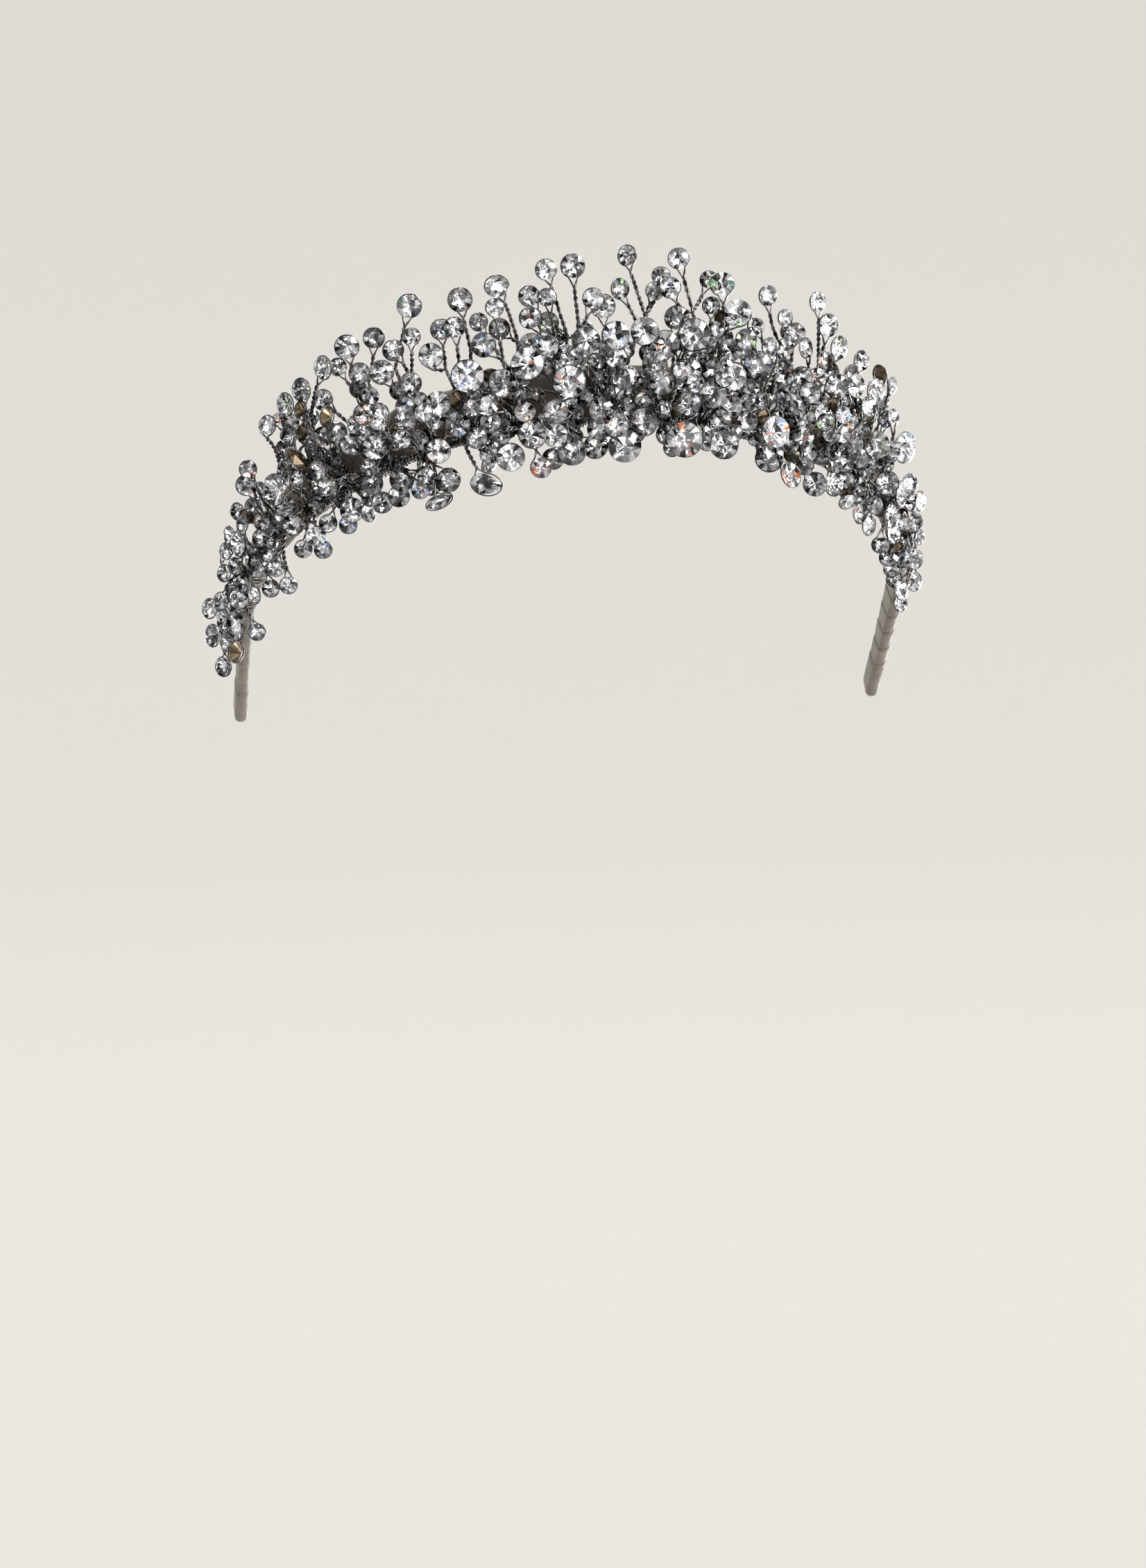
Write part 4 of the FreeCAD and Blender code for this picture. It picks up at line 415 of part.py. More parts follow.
    (19, "r", 4.7, 4.7, 69.51, -43.13, 36.78, 0.65, -0.758, 0.049, -0.64, -0.512, 0.574, 67.47, -44.87, 36.71, 64.1, -46.04, 36.59, 60.59, -45.46, 36.35),
    (19, "r", 4.7, 4.7, 60.4, -46.55, 22.76, 0.657, -0.754, 0.015, -0.29, -0.272, -0.917, 61.53, -45.52, 24.97, 62.24, -45.05, 26.58, 63, -44.09, 27.92),
    (19, "r", 4, 4, 64.1, -44.78, 24.51, 0.195, -0.979, 0.059, -0.958, -0.177, 0.228, 62.87, -44.9, 26.49, 61.37, -45.49, 30.8, 58.11, -45.12, 34.04),
    (19, "r", 5.4, 5.4, 67.16, -44.82, 29.53, -0.416, -0.9, 0.134, -0.242, 0.251, 0.937, 64.46, -43.51, 29.95, 61.67, -44.06, 31.05, 58.67, -44.58, 31.09),
    (19, "r", 6.2, 6.2, 64.79, -46.12, 38.41, 0.188, -0.981, 0.046, -0.979, -0.184, 0.083, 63.06, -46.59, 35.48, 61.83, -44.82, 33.61, 60.73, -42.3, 32.85),
    (19, "r", 4, 4, 62.01, -40.91, 25.45, -0.489, -0.826, -0.28, -0.45, -0.036, 0.892, 61.45, -41.33, 27.67, 60.57, -43.1, 31.49, 57.93, -45.57, 33.8),
    (19, "r", 4, 4, 57.21, -47.31, 25.44, 0.186, -0.855, -0.484, 0.21, -0.447, 0.87, 58.4, -48.1, 27.29, 59.28, -47.14, 29.86, 58.8, -44.88, 31.59),
    (19, "r", 4, 4, 64.69, -42.38, 34.05, -0.228, -0.953, 0.201, 0.174, 0.163, 0.971, 62.69, -42.15, 32.88, 61.76, -42.84, 32.67, 60.78, -43.34, 32.25),
    (19, "r", 4, 4, 56.31, -48.8, 34.42, -0.63, -0.763, -0.142, -0.539, 0.562, -0.627, 54.57, -47.29, 34.01, 55.83, -45.88, 34.59, 57.49, -44.81, 34.67),
    (19, "r", 4, 4, 62.23, -43.24, 28.06, -0.191, -0.958, -0.211, -0.377, 0.271, -0.886, 61.04, -43.44, 30.05, 60.36, -44.14, 31.6, 59.08, -44.9, 32.67),
    (19, "r", 4.7, 4.7, 59.92, -46.45, 35.54, -0.126, -0.989, -0.08, -0.51, 0.133, -0.85, 59.67, -46.2, 32.88, 59.82, -45.02, 31.71, 59.7, -43.82, 30.56),
    (19, "r", 4, 4, 56.66, -47.45, 30.56, -0.276, -0.905, -0.325, -0.843, 0.39, -0.37, 55.92, -47.99, 32.71, 56.58, -47.12, 32.83, 56.74, -46.16, 32.32),
    (19, "r", 4, 4, 57.22, -45.25, 28.11, -0.285, 0.948, -0.139, 0.944, 0.303, 0.134, 57.89, -44.73, 30.28, 58.53, -44.89, 31.57, 58.92, -44.97, 32.96),
    (19, "r", 4, 4, 59.51, -45.62, 31.23, 0.002, -0.703, 0.711, 0.806, -0.419, -0.417, 60.05, -44, 32.83, 60.24, -43.57, 33.1, 60.25, -43.03, 33.06),
    (20, "r", 4, 4, 69.82, -41.81, 44.44, 0.631, -0.774, 0.046, -0.748, -0.592, 0.299, 69.54, -42.17, 42.16, 67.99, -42.52, 35.04, 64.7, -40.17, 28.98),
    (20, "r", 4, 4, 67.02, -36.37, 14.84, -0.225, -0.926, -0.302, 0.368, -0.368, 0.854, 66.89, -37.06, 17.06, 68, -37.54, 22.8, 67.22, -36.37, 28.49),
    (20, "r", 7.2, 7.2, 73.04, -39.14, 37.43, 0.622, -0.776, -0.099, 0.777, 0.628, -0.043, 70.29, -41.09, 35.42, 69.2, -41.82, 34.77, 67.94, -42, 34.05),
    (20, "r", 4.7, 4.7, 75.78, -31.59, 24.77, 0.605, -0.796, -0.01, 0.34, 0.27, -0.901, 73.65, -33.2, 24.54, 71.2, -35.41, 24.97, 68.49, -37.07, 23.99),
    (20, "r", 4.7, 4.7, 70.78, -34.61, 17.41, 0.635, -0.768, 0.084, -0.713, -0.624, -0.32, 69.75, -35.19, 19.81, 69.47, -36.31, 24.17, 67.05, -37.82, 27.65),
    (20, "r", 4.7, 4.7, 74.47, -37.08, 28.98, 0.567, -0.823, 0.021, -0.109, -0.05, 0.993, 72.26, -38.6, 28.9, 68.9, -39.2, 29.43, 65.54, -39.35, 28.66),
    (20, "r", 4, 4, 62.52, -43.86, 32.06, 0.092, -0.993, 0.076, -0.935, -0.113, -0.337, 64.51, -43.77, 30.86, 67.58, -40.35, 29.55, 68.12, -36, 27.67),
    (20, "r", 5.4, 5.4, 69.14, -40.95, 21.68, 0.597, -0.798, -0.078, -0.742, -0.587, 0.324, 69.25, -41.17, 24.7, 68.6, -39.83, 27.21, 66.75, -37.91, 28.36),
    (20, "r", 5.4, 5.4, 71.32, -40.49, 26.25, 0.823, -0.568, 0.008, -0.5, -0.718, 0.484, 69.95, -42.46, 28.1, 67.41, -41.47, 29.42, 65.01, -39.85, 28.56),
    (20, "r", 4, 4, 67.87, -39.78, 33.59, -0.092, -0.993, -0.077, 0.299, -0.101, 0.949, 67.71, -39.59, 31.27, 67.95, -38.35, 29.22, 67.73, -36.29, 28.02),
    (20, "r", 4, 4, 69.38, -37.39, 26.09, 0.285, -0.943, 0.173, 0.598, 0.034, -0.801, 67.19, -37.95, 26.66, 66.52, -38.34, 27.14, 65.73, -38.81, 27.15),
    (21, "r", 4, 4, 71.15, -29.06, 9.08, -0.519, -0.845, 0.126, -0.772, 0.401, -0.493, 71.47, -28.92, 11.38, 72.74, -29.64, 18.59, 70.97, -31.89, 25.36),
    (21, "r", 4.7, 4.7, 76.98, -29.25, 11, 0.426, -0.904, -0.026, -0.774, -0.349, -0.528, 75.97, -29.8, 13.42, 75.45, -29.95, 16.93, 72.9, -29.92, 19.42),
    (21, "r", 4, 4, 74.65, -32.3, 12.17, -0.326, -0.945, -0.018, 0.678, -0.247, 0.693, 74.13, -32.17, 14.43, 74.09, -31.07, 19.34, 72.42, -30.17, 23.99),
    (21, "r", 4.7, 4.7, 69.85, -32.98, 12.04, -0.271, -0.839, 0.471, 0.639, -0.523, -0.563, 70.43, -31.84, 14.39, 72.2, -31.06, 19.59, 71.32, -31.43, 25.04),
    (21, "r", 4, 4, 77.81, -22.57, 24.49, 0.552, 0.457, 0.697, -0.767, 0.607, 0.209, 77.74, -24.49, 25.81, 76.22, -27.33, 24.37, 74.01, -28.93, 22.13),
    (21, "r", 4, 4, 78.02, -27.43, 16.28, 0.377, -0.922, 0.09, -0.124, -0.147, -0.981, 76.23, -28.03, 17.65, 74.57, -29.42, 20.04, 72.13, -31.06, 21.37),
    (21, "r", 4.7, 4.7, 77.57, -33.92, 24.77, 0.757, -0.653, -0.033, -0.652, -0.752, -0.094, 75.85, -35.88, 24.14, 73.74, -33.67, 24.58, 71.84, -31.24, 24.55),
    (21, "r", 4, 4, 71.77, -30.61, 14.65, -0.18, 0.87, -0.459, 0.954, 0.041, -0.297, 72.29, -29.47, 16.61, 73.35, -28.73, 19.49, 73.91, -27.68, 22.41),
    (21, "r", 4.7, 4.7, 76.89, -30.6, 20, 0.547, -0.831, 0.101, -0.735, -0.419, 0.533, 75.49, -31.25, 22.19, 74.54, -30.38, 23.29, 73.17, -29.39, 23.24),
    (21, "r", 4, 4, 73.42, -32.68, 19.53, -0.183, -0.857, -0.482, -0.983, 0.143, 0.118, 72.07, -33.38, 21.29, 72.15, -32.81, 22.16, 72.07, -31.91, 22.69),
    (22, "r", 4, 4, 73.36, -28.71, 0.83, 0.481, -0.877, 0.004, 0.014, 0.012, 1, 73.83, -28.45, 3.09, 76.78, -26.75, 11.37, 76.01, -24.11, 19.88),
    (22, "r", 4.7, 4.7, 73.15, -30.74, 4.02, 0.65, -0.757, 0.063, 0.354, 0.376, 0.856, 74.15, -29.69, 6.28, 75.74, -28.43, 9.43, 76.71, -26.55, 12.53),
    (22, "r", 4, 4, 72.28, -27.44, 6.36, 0.108, -0.994, 0.003, 0.994, 0.108, -0.016, 73.18, -27.33, 8.51, 75.54, -25.29, 13.61, 76.93, -22.33, 18.61),
    (22, "r", 4.7, 4.7, 78.71, -20.37, 5.35, 0.549, -0.836, -0.018, -0.179, -0.096, -0.979, 78.44, -20.61, 8, 78.84, -20.86, 13.06, 77.48, -21.55, 17.91),
    (22, "r", 4, 4, 73.98, -26.17, 10.01, -0.062, -0.969, -0.237, -0.987, 0.024, 0.161, 75.15, -26.72, 11.95, 76.9, -24.34, 15.24, 77.78, -20.54, 17.32),
    (22, "r", 4, 4, 74.97, -29.01, 14.97, -0.052, -0.989, 0.136, -0.659, 0.136, 0.74, 76.49, -28.85, 16.73, 78.64, -24.43, 18.23, 78.06, -19.55, 16.72)
]
# Trunks that carry several stems from their fork down to the frame wire:
# spray, radius, fork, middle, foot
TRUNKS = [
    (9, 0.5, -46.69, -51.02, 59.3, -44.02, -54.93, 51.47, -39.21, -55.22, 42.16),
    (9, 0.5, -43.44, -53.57, 56.86, -41.98, -55.85, 50.11, -39.28, -55.2, 42.14),
    (8, 0.5, -55.35, -47.3, 56.77, -51.95, -49.13, 47.58, -48.21, -50.96, 38.91),
    (8, 0.5, -53.65, -47.46, 51.72, -50.71, -50.1, 45.56, -47.79, -51.19, 39.08),
    (7, 0.5, -64.8, -39.6, 45.76, -60.96, -43.13, 39.5, -56.69, -45.6, 35.04),
    (10, 0.5, -30.23, -57.49, 62.5, -30.24, -59.5, 52.88, -28.25, -58.92, 45.08),
    (11, 0.5, -19.89, -59.34, 64.66, -19.79, -61.26, 56.35, -19.01, -60.99, 46.72),
    (11, 0.5, -21.96, -60.34, 58.06, -19.96, -62.13, 52.71, -17.59, -61.24, 46.91),
    (12, 0.5, -8.73, -60.51, 65.26, -10.15, -61.81, 56.08, -11.03, -62.1, 47.6),
    (12, 0.5, -6.11, -60.36, 67.67, -6.3, -62.04, 57.38, -7.38, -62.41, 47.84),
    (14, 0.5, 9.41, -60.12, 68.48, 11.41, -60.93, 57.97, 11.73, -62.03, 47.54),
    (13, 0.5, 7.45, -61.18, 66.97, 3.88, -62.68, 57.58, -1.03, -62.65, 48.03),
    (15, 0.5, 20.04, -59.38, 70.38, 21.6, -61.46, 57.73, 23.11, -60.18, 46.08),
    (15, 0.5, 27.21, -58.46, 64.9, 24.94, -61.14, 55.54, 22.64, -60.28, 46.16),
    (16, 0.5, 40.39, -53.65, 63.5, 38.45, -57.65, 53, 34.16, -57.11, 43.65),
    (17, 0.5, 50.88, -48.61, 56.15, 47.28, -51.91, 48.41, 42.89, -53.64, 40.92),
    (17, 0.5, 49.06, -50.98, 54.14, 45.46, -52.62, 47.14, 42.19, -53.95, 41.16),
    (18, 0.5, 55.42, -46.69, 52.85, 54.48, -48.12, 45.19, 51.28, -49.19, 37.62),
    (16, 0.5, 38.01, -55.38, 58.99, 35.82, -57.31, 51.24, 33.73, -57.25, 43.76),
    (18, 0.5, 59.24, -43.68, 50.2, 55.82, -46.61, 43.9, 52.04, -48.72, 37.28),
    (8, 0.5, -52.41, -47.87, 57.15, -51.72, -49.38, 47.73, -49.83, -50.05, 38.24),
    (10, 0.5, -35.9, -55.42, 58.96, -33.37, -58.69, 52.15, -29.98, -58.43, 44.69),
    (17, 0.5, 43.9, -53.48, 55.07, 42.43, -54.72, 48.43, 40.83, -54.55, 41.63),
    (6, 0.5, -72.17, -31.95, 38.8, -69.31, -34.85, 34.38, -66.13, -37.39, 29.29),
    (4, 0.5, -78.55, -21.12, 15.91, -77.85, -22.43, 17.74, -76.12, -23.68, 19.65)
]

# ---------------------------------------------------------------- the curve
lean = math.radians(P["band_lean"])
back = V(0, math.sin(lean), -math.cos(lean))      # from the front to the back of the plane
normal = V(0, math.cos(lean), math.sin(lean))     # away from the head
side = V(1, 0, 0)
flare = math.radians(P["flare"])
W, B = P["half_width"], P["crown_depth"]

STEPS = 2000
_u = [math.pi / 2 * i / STEPS for i in range(STEPS + 1)]
_s = [0.0]
for i in range(STEPS):
    a, b = _u[i], _u[i + 1]
    _s.append(_s[-1] + math.hypot(W * (math.sin(b) - math.sin(a)), B * (math.cos(a) - math.cos(b))))
QUARTER = _s[-1]


def station(s):
    """Point, upward-flaring direction, outward direction and tangent at arc station s."""
    a = abs(s)
    sign = -1.0 if s < 0 else 1.0
    if a <= QUARTER:
        lo, hi = 0, STEPS
        while hi - lo > 1:
            mid = (lo + hi) // 2
            if _s[mid] <= a:
                lo = mid
            else:
                hi = mid
        k = _u[lo] + (_u[hi] - _u[lo]) * (a - _s[lo]) / (_s[hi] - _s[lo])
        l, t = W * math.sin(k), B * (1 - math.cos(k))
        nx, nt = l / W ** 2, (t - B) / B ** 2
        n = math.hypot(nx, nt)
        nx, nt = nx / n, nt / n
    else:
        l, t, nx, nt = W, B + a - QUARTER, 1.0, 0.0
    pos = side * (l * sign) + back * (t - B)
    out = side * (nx * sign) + back * nt
    k = min(1.0, max(0.0, (a - P["flare_from"]) / (P["flare_to"] - P["flare_from"])))
    lean_out = flare * (1 - k * k * (3 - 2 * k))
    up = out * math.sin(lean_out) + normal * math.cos(lean_out)
    front = out * math.cos(lean_out) - normal * math.sin(lean_out)
    return pos, up, front, up.cross(front)


def on_crown(s, h, q):
    pos, up, front, _ = station(s)
    return pos + up * h + front * q


END = QUARTER + P["leg_length"]

# ---------------------------------------------------------------- crystal masters
def round_master(letter, sides):
    """Faceted crystal: crown pad and pavilion pad grown with taper from one girdle polygon."""
    body = doc.addObject("PartDesign::Body", "Crystal_" + letter)
    body.Label = "master_crystal_" + letter
    plane = [f for f in body.Origin.OriginFeatures if f.Role == "XY_Plane"][0]
    pads = []
    for which in ("crown", "pavilion"):
        sk = body.newObject("Sketcher::SketchObject", "%s_%s" % (which, letter))
        sk.AttachmentSupport = (plane, [""])
        sk.MapMode = "FlatFace"
        r = P["dia_" + letter] / 2
        pts = [V(r * math.cos(2 * math.pi * k / sides), r * math.sin(2 * math.pi * k / sides), 0) for k in range(sides)]
        circle = sk.addGeometry(Part.Circle(V(0, 0, 0), V(0, 0, 1), r), True)
        import Sketcher
        sk.addConstraint(Sketcher.Constraint("Coincident", circle, 3, -1, 1))
        first = None
        for k in range(sides):
            g = sk.addGeometry(Part.LineSegment(pts[k], pts[(k + 1) % sides]), False)
            first = g if first is None else first
        for k in range(sides):
            sk.addConstraint(Sketcher.Constraint("Coincident", first + k, 2, first + (k + 1) % sides, 1))
            sk.addConstraint(Sketcher.Constraint("PointOnObject", first + k, 1, circle))
            if k:
                sk.addConstraint(Sketcher.Constraint("Equal", first, first + k))
        sk.addConstraint(Sketcher.Constraint("PointOnObject", first, 1, -1))
        c = sk.addConstraint(Sketcher.Constraint("Radius", circle, r))
        sk.setExpression("Constraints[%d]" % c, "Sheet.dia_%s / 2" % letter)
        pad = body.newObject("PartDesign::Pad", "%s_pad_%s" % (which, letter))
        pad.Profile = sk
        pad.Length = P["dia_" + letter] * P[which + "_ratio"]
        pad.setExpression("Length", "Sheet.dia_%s * Sheet.%s_ratio" % (letter, which))
        pad.TaperAngle = -P[which + "_taper"]
        pad.setExpression("TaperAngle", "-Sheet.%s_taper" % which)
        pad.Reversed = which == "pavilion"
        pads.append(pad)
    body.Tip = pads[-1]
    return body


SIDES = {"a": 8, "b": 8, "c": 10, "d": 12, "e": 12, "f": 12}
masters = {letter: round_master(letter, SIDES[letter]) for letter in "abcdef"}
doc.recompute()
for letter, body in masters.items():
    d = P["dia_" + letter]
    box = body.Shape.BoundBox
    if body.Shape.isNull() or len(body.Shape.Solids) != 1 or box.ZMax < 0.1 * d or box.ZMin > -0.3 * d:
        raise RuntimeError("master crystal %s: %s" % (letter, box))


def fancy(kind, length, width):
    """Marquise, oval and pear crystals: planar facets between similar outlines."""
    n = 16
    ring = []
    for k in range(n):
        a = 2 * math.pi * k / n
        x, y = math.cos(a), math.sin(a)
        if kind == "m":      # two arcs that meet in points
            x = math.copysign(1 - abs(1 - abs(x)) ** 1.0, x) if x else 0.0
            y = math.copysign(max(0.0, (1 - x * x)) ** 1.0, y) if abs(y) > 1e-9 else 0.0
        elif kind == "p":    # round at one end, pointed at the other
            y = y * (1.0 - 0.35 * (x + 0.1)) / 1.1 if x > -0.2 else y
        ring.append((x * length / 2, y * width / 2))
    # keep the outline convex
    def cross(o, a, b):
        return (a[0] - o[0]) * (b[1] - o[1]) - (a[1] - o[1]) * (b[0] - o[0])
    pts = sorted(set((round(x, 4), round(y, 4)) for x, y in ring))
    lower, upper = [], []
    for p in pts:
        while len(lower) > 1 and cross(lower[-2], lower[-1], p) <= 1e-6:
            lower.pop()
        lower.append(p)
    for p in reversed(pts):
        while len(upper) > 1 and cross(upper[-2], upper[-1], p) <= 1e-6:
            upper.pop()
        upper.append(p)
    ring = lower[:-1] + upper[:-1]
    levels = [(0.52, P["crown_ratio"] * width), (1.0, 0.0), (0.12, -P["pavilion_ratio"] * width)]
    loops = [[V(x * k, y * k, z) for x, y in ring] for k, z in levels]
    faces = [Part.Face(Part.makePolygon(loops[0] + loops[0][:1])), Part.Face(Part.makePolygon(loops[2] + loops[2][:1]))]
    m = len(ring)
    for upper_loop, lower_loop in zip(loops, loops[1:]):
        for k in range(m):
            j = (k + 1) % m
            faces.append(Part.Face(Part.makePolygon([upper_loop[k], upper_loop[j], lower_loop[j], lower_loop[k], upper_loop[k]])))
    solid = Part.Solid(Part.Shell(faces))
    if solid.Volume < 0:
        solid.reverse()
    return solid


def place(x, y, z, n, ax):
    """Placement that takes local Z to n and local X to ax."""
    zd = V(*n).normalize()
    xd = V(*ax)
    xd = (xd - zd * xd.dot(zd)).normalize()
    yd = zd.cross(xd)
    m = Matrix(xd.x, yd.x, zd.x, x, xd.y, yd.y, zd.y, y, xd.z, yd.z, zd.z, z, 0, 0, 0, 1)
    return Placement(m)


def rod(p0, pm, p1, r):
    """Bent wire of radius r: part of a torus through three points, or straight."""
    p0, pm, p1 = V(*p0), V(*pm), V(*p1)
    chord = p1 - p0
    off = (pm - p0).cross(chord).Length / max(chord.Length, 1e-6)
    if chord.Length < 4.0 or off < 0.03 * chord.Length:
        return Part.makeCylinder(r, chord.Length, p0, chord)
    a, b = pm - p0, p1 - p0
    axis = a.cross(b)
    centre = p0 + (axis.cross(a) * b.dot(b) + b.cross(axis) * a.dot(a)) * (1.0 / (2 * axis.dot(axis)))
    x = (p0 - centre).normalize()
    z = V(axis).normalize()
    y = z.cross(x)
    v = p1 - centre
    angle = math.degrees(math.atan2(v.dot(y), v.dot(x))) % 360.0
    bend = (p0 - centre).Length
    torus = Part.makeTorus(bend, r, V(0, 0, 0), V(0, 0, 1), -180, 180, angle)
    m = Matrix(x.x, y.x, z.x, centre.x, x.y, y.y, z.y, centre.y, x.z, y.z, z.z, centre.z, 0, 0, 0, 1)
    torus.Placement = Placement(m)
    expected = math.pi * r * r * bend * math.radians(angle)
    if abs(torus.Volume - expected) > 0.01 * expected:
        raise RuntimeError("bent wire has volume %g, not %g" % (torus.Volume, expected))
    return torus


def hoop(kind, length, width):
    """Wire hoop round the girdle."""
    r = P["hoop_d"] / 2
    if kind == "r":
        return Part.makeTorus(length / 2 + 0.1, r)
    curve = Part.Ellipse(V(0, 0, 0), length / 2 + 0.1, width / 2 + 0.1)
    edge = curve.toShape()
    start = edge.valueAt(edge.FirstParameter)
    circle = Part.Wire([Part.makeCircle(r, start, edge.tangentAt(edge.FirstParameter))])
    ring = Part.Wire([edge]).makePipeShell([circle], True, True)
    if ring.ShapeType != "Solid":
        ring = Part.Solid(ring)
    return ring


def feature(label, shape):
    obj = doc.addObject("Part::Feature", label)
    obj.Label = label
    obj.Shape = shape
    obj.Placement = Placement()
    return obj


parts = []
letters = {P["dia_" + k]: k for k in "abcdef"}

# ---------------------------------------------------------------- sprays
for spray in range(1, len(STATIONS) + 1):
    crystals, wires = [], []
    for row in STONES:
        if row[0] != spray:
            continue
        kind, length, width = row[1], row[2], row[3]
        centre, n, ax = row[4:7], row[7:10], row[10:13]
        p0, pm, p1 = row[13:16], row[16:19], row[19:22]
        where = place(centre[0], centre[1], centre[2], n, ax)
        stone = masters[letters[length]].Shape.copy() if kind == "r" else fancy(kind, length, width)
        stone.Placement = where.multiply(stone.Placement)
        crystals.append(stone)
        ring = hoop(kind, length, width)
        ring.Placement = where.multiply(ring.Placement)
        stem = rod(p0, pm, p1, P["stem_d"] / 2)
        wires.extend([ring, stem])
    for row in TRUNKS:
        if row[0] == spray:
            wires.append(rod(row[2:5], row[5:8], row[8:11], P["trunk_d"] / 2))
    parts.append(feature("spray_%02d_wires" % spray, Part.makeCompound(wires)))
    parts.append(feature("spray_%02d_crystals" % spray, Part.makeCompound(crystals)))

# ---------------------------------------------------------------- headband
def band_section(s, height, thick, bottom):
    pos, up, front, _ = station(s)
    a = pos + up * bottom
    corner = min(thick, height) * 0.3
    pts = []
    for h, q in ((corner, -thick / 2), (height - corner, -thick / 2), (height, -thick / 2 + corner),
                 (height, thick / 2 - corner), (height - corner, thick / 2), (corner, thick / 2),
                 (0, thick / 2 - corner), (0, -thick / 2 + corner)):
        pts.append(a + up * h + front * q)
    return Part.makePolygon(pts + pts[:1])


def band_height(s):
    """Full width over the front, tapering along the legs."""
    a = abs(s) / END
    k = min(1.0, max(0.0, (a - 0.25) / 0.75))
    return P["band_height"] + (P["band_end_height"] - P["band_height"]) * k


def band(inset, end):
    sections = []
    count = 33
    for i in range(count):
        s = -end + 2 * end * i / (count - 1)
        hgt = band_height(s) - 2 * inset
        sections.append(band_section(s, hgt, P["band_thickness"] - 2 * inset, -1.0 + inset))
    shape = Part.makeLoft(sections, True, False)
    if shape.ShapeType != "Solid":
        shape = shape.Solids[0]
    if shape.Volume < 0:
        shape.reverse()
    return shape


core = band(P["ribbon_cover"], END - 1.5)
wrap = band(0.0, END).cut(core)
parts.append(feature("headband_core", core))
parts.append(feature("headband_ribbon_wrap", wrap))

# ---------------------------------------------------------------- frame wire
first, last = STATIONS[0] - 7.0, STATIONS[-1] + 7.0
pts = [on_crown(first + (last - first) * i / 40.0, 0.0, P["frame_offset"]) for i in range(41)]
spline = Part.BSplineCurve()
spline.interpolate(pts)
edge = spline.toShape()
circle = Part.Wire([Part.makeCircle(P["frame_wire_d"] / 2, pts[0], edge.tangentAt(edge.FirstParameter))])
wire = Part.Wire([edge]).makePipeShell([circle], True, True)
if wire.ShapeType != "Solid":
    wire = Part.Solid(wire)
if wire.Volume < 0:
    wire.reverse()
parts.append(feature("frame_wire", wire))

# ---------------------------------------------------------------- coil bindings
import Sketcher
bind = doc.addObject("PartDesign::Body", "Binding")
bind.Label = "master_binding"
sk = bind.newObject("Sketcher::SketchObject", "binding_sketch")
sk.AttachmentSupport = ([f for f in bind.Origin.OriginFeatures if f.Role == "XY_Plane"][0], [""])
sk.MapMode = "FlatFace"
outer = sk.addGeometry(Part.Circle(V(0, 0, 0), V(0, 0, 1), P["binding_d"] / 2), False)
inner = sk.addGeometry(Part.Circle(V(0, 0, 0), V(0, 0, 1), P["binding_bore"] / 2), False)
sk.addConstraint(Sketcher.Constraint("Coincident", outer, 3, -1, 1))
sk.addConstraint(Sketcher.Constraint("Coincident", inner, 3, -1, 1))
c = sk.addConstraint(Sketcher.Constraint("Radius", outer, P["binding_d"] / 2))
sk.setExpression("Constraints[%d]" % c, "Sheet.binding_d / 2")
c = sk.addConstraint(Sketcher.Constraint("Radius", inner, P["binding_bore"] / 2))
sk.setExpression("Constraints[%d]" % c, "Sheet.binding_bore / 2")
pad = bind.newObject("PartDesign::Pad", "binding_pad")
pad.Profile = sk
pad.Length = P["binding_length"]
pad.setExpression("Length", "Sheet.binding_length")
pad.Midplane = True
bind.Tip = pad
doc.recompute()
coils = []
for s in STATIONS:
    pos, up, front, tangent = station(s)
    coil = bind.Shape.copy()
    c = on_crown(s, 0.0, P["frame_offset"])
    coil.Placement = place(c.x, c.y, c.z, tuple(tangent), tuple(up)).multiply(coil.Placement)
    coils.append(coil)
parts.append(feature("binding_coils", Part.makeCompound(coils)))

# ---------------------------------------------------------------- checks and files
doc.recompute()
for obj in doc.Objects:
    if "Invalid" in obj.State or "Error" in obj.State:
        raise RuntimeError("%s: %s" % (obj.Name, obj.State))
for obj in parts:
    shape = obj.Shape
    if shape.isNull() or not shape.isValid() or not shape.Solids:
        raise RuntimeError("%s is not a valid solid" % obj.Label)
    for solid in shape.Solids:
        if solid.Volume <= 0:
            raise RuntimeError("%s has a solid with volume %g" % (obj.Label, solid.Volume))
os.makedirs("parts", exist_ok=True)
for obj in parts:
    obj.Shape.exportStep(os.path.join("parts", obj.Label + ".step"))
    box = obj.Shape.BoundBox
    print("%-26s solids %3d  volume %9.1f  x %6.1f %6.1f  y %6.1f %6.1f  z %6.1f %6.1f" % (
        obj.Label, len(obj.Shape.Solids), obj.Shape.Volume, box.XMin, box.XMax, box.YMin, box.YMax, box.ZMin, box.ZMax))
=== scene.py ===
import bpy
import math
import numpy as np
from mathutils import Vector, Matrix


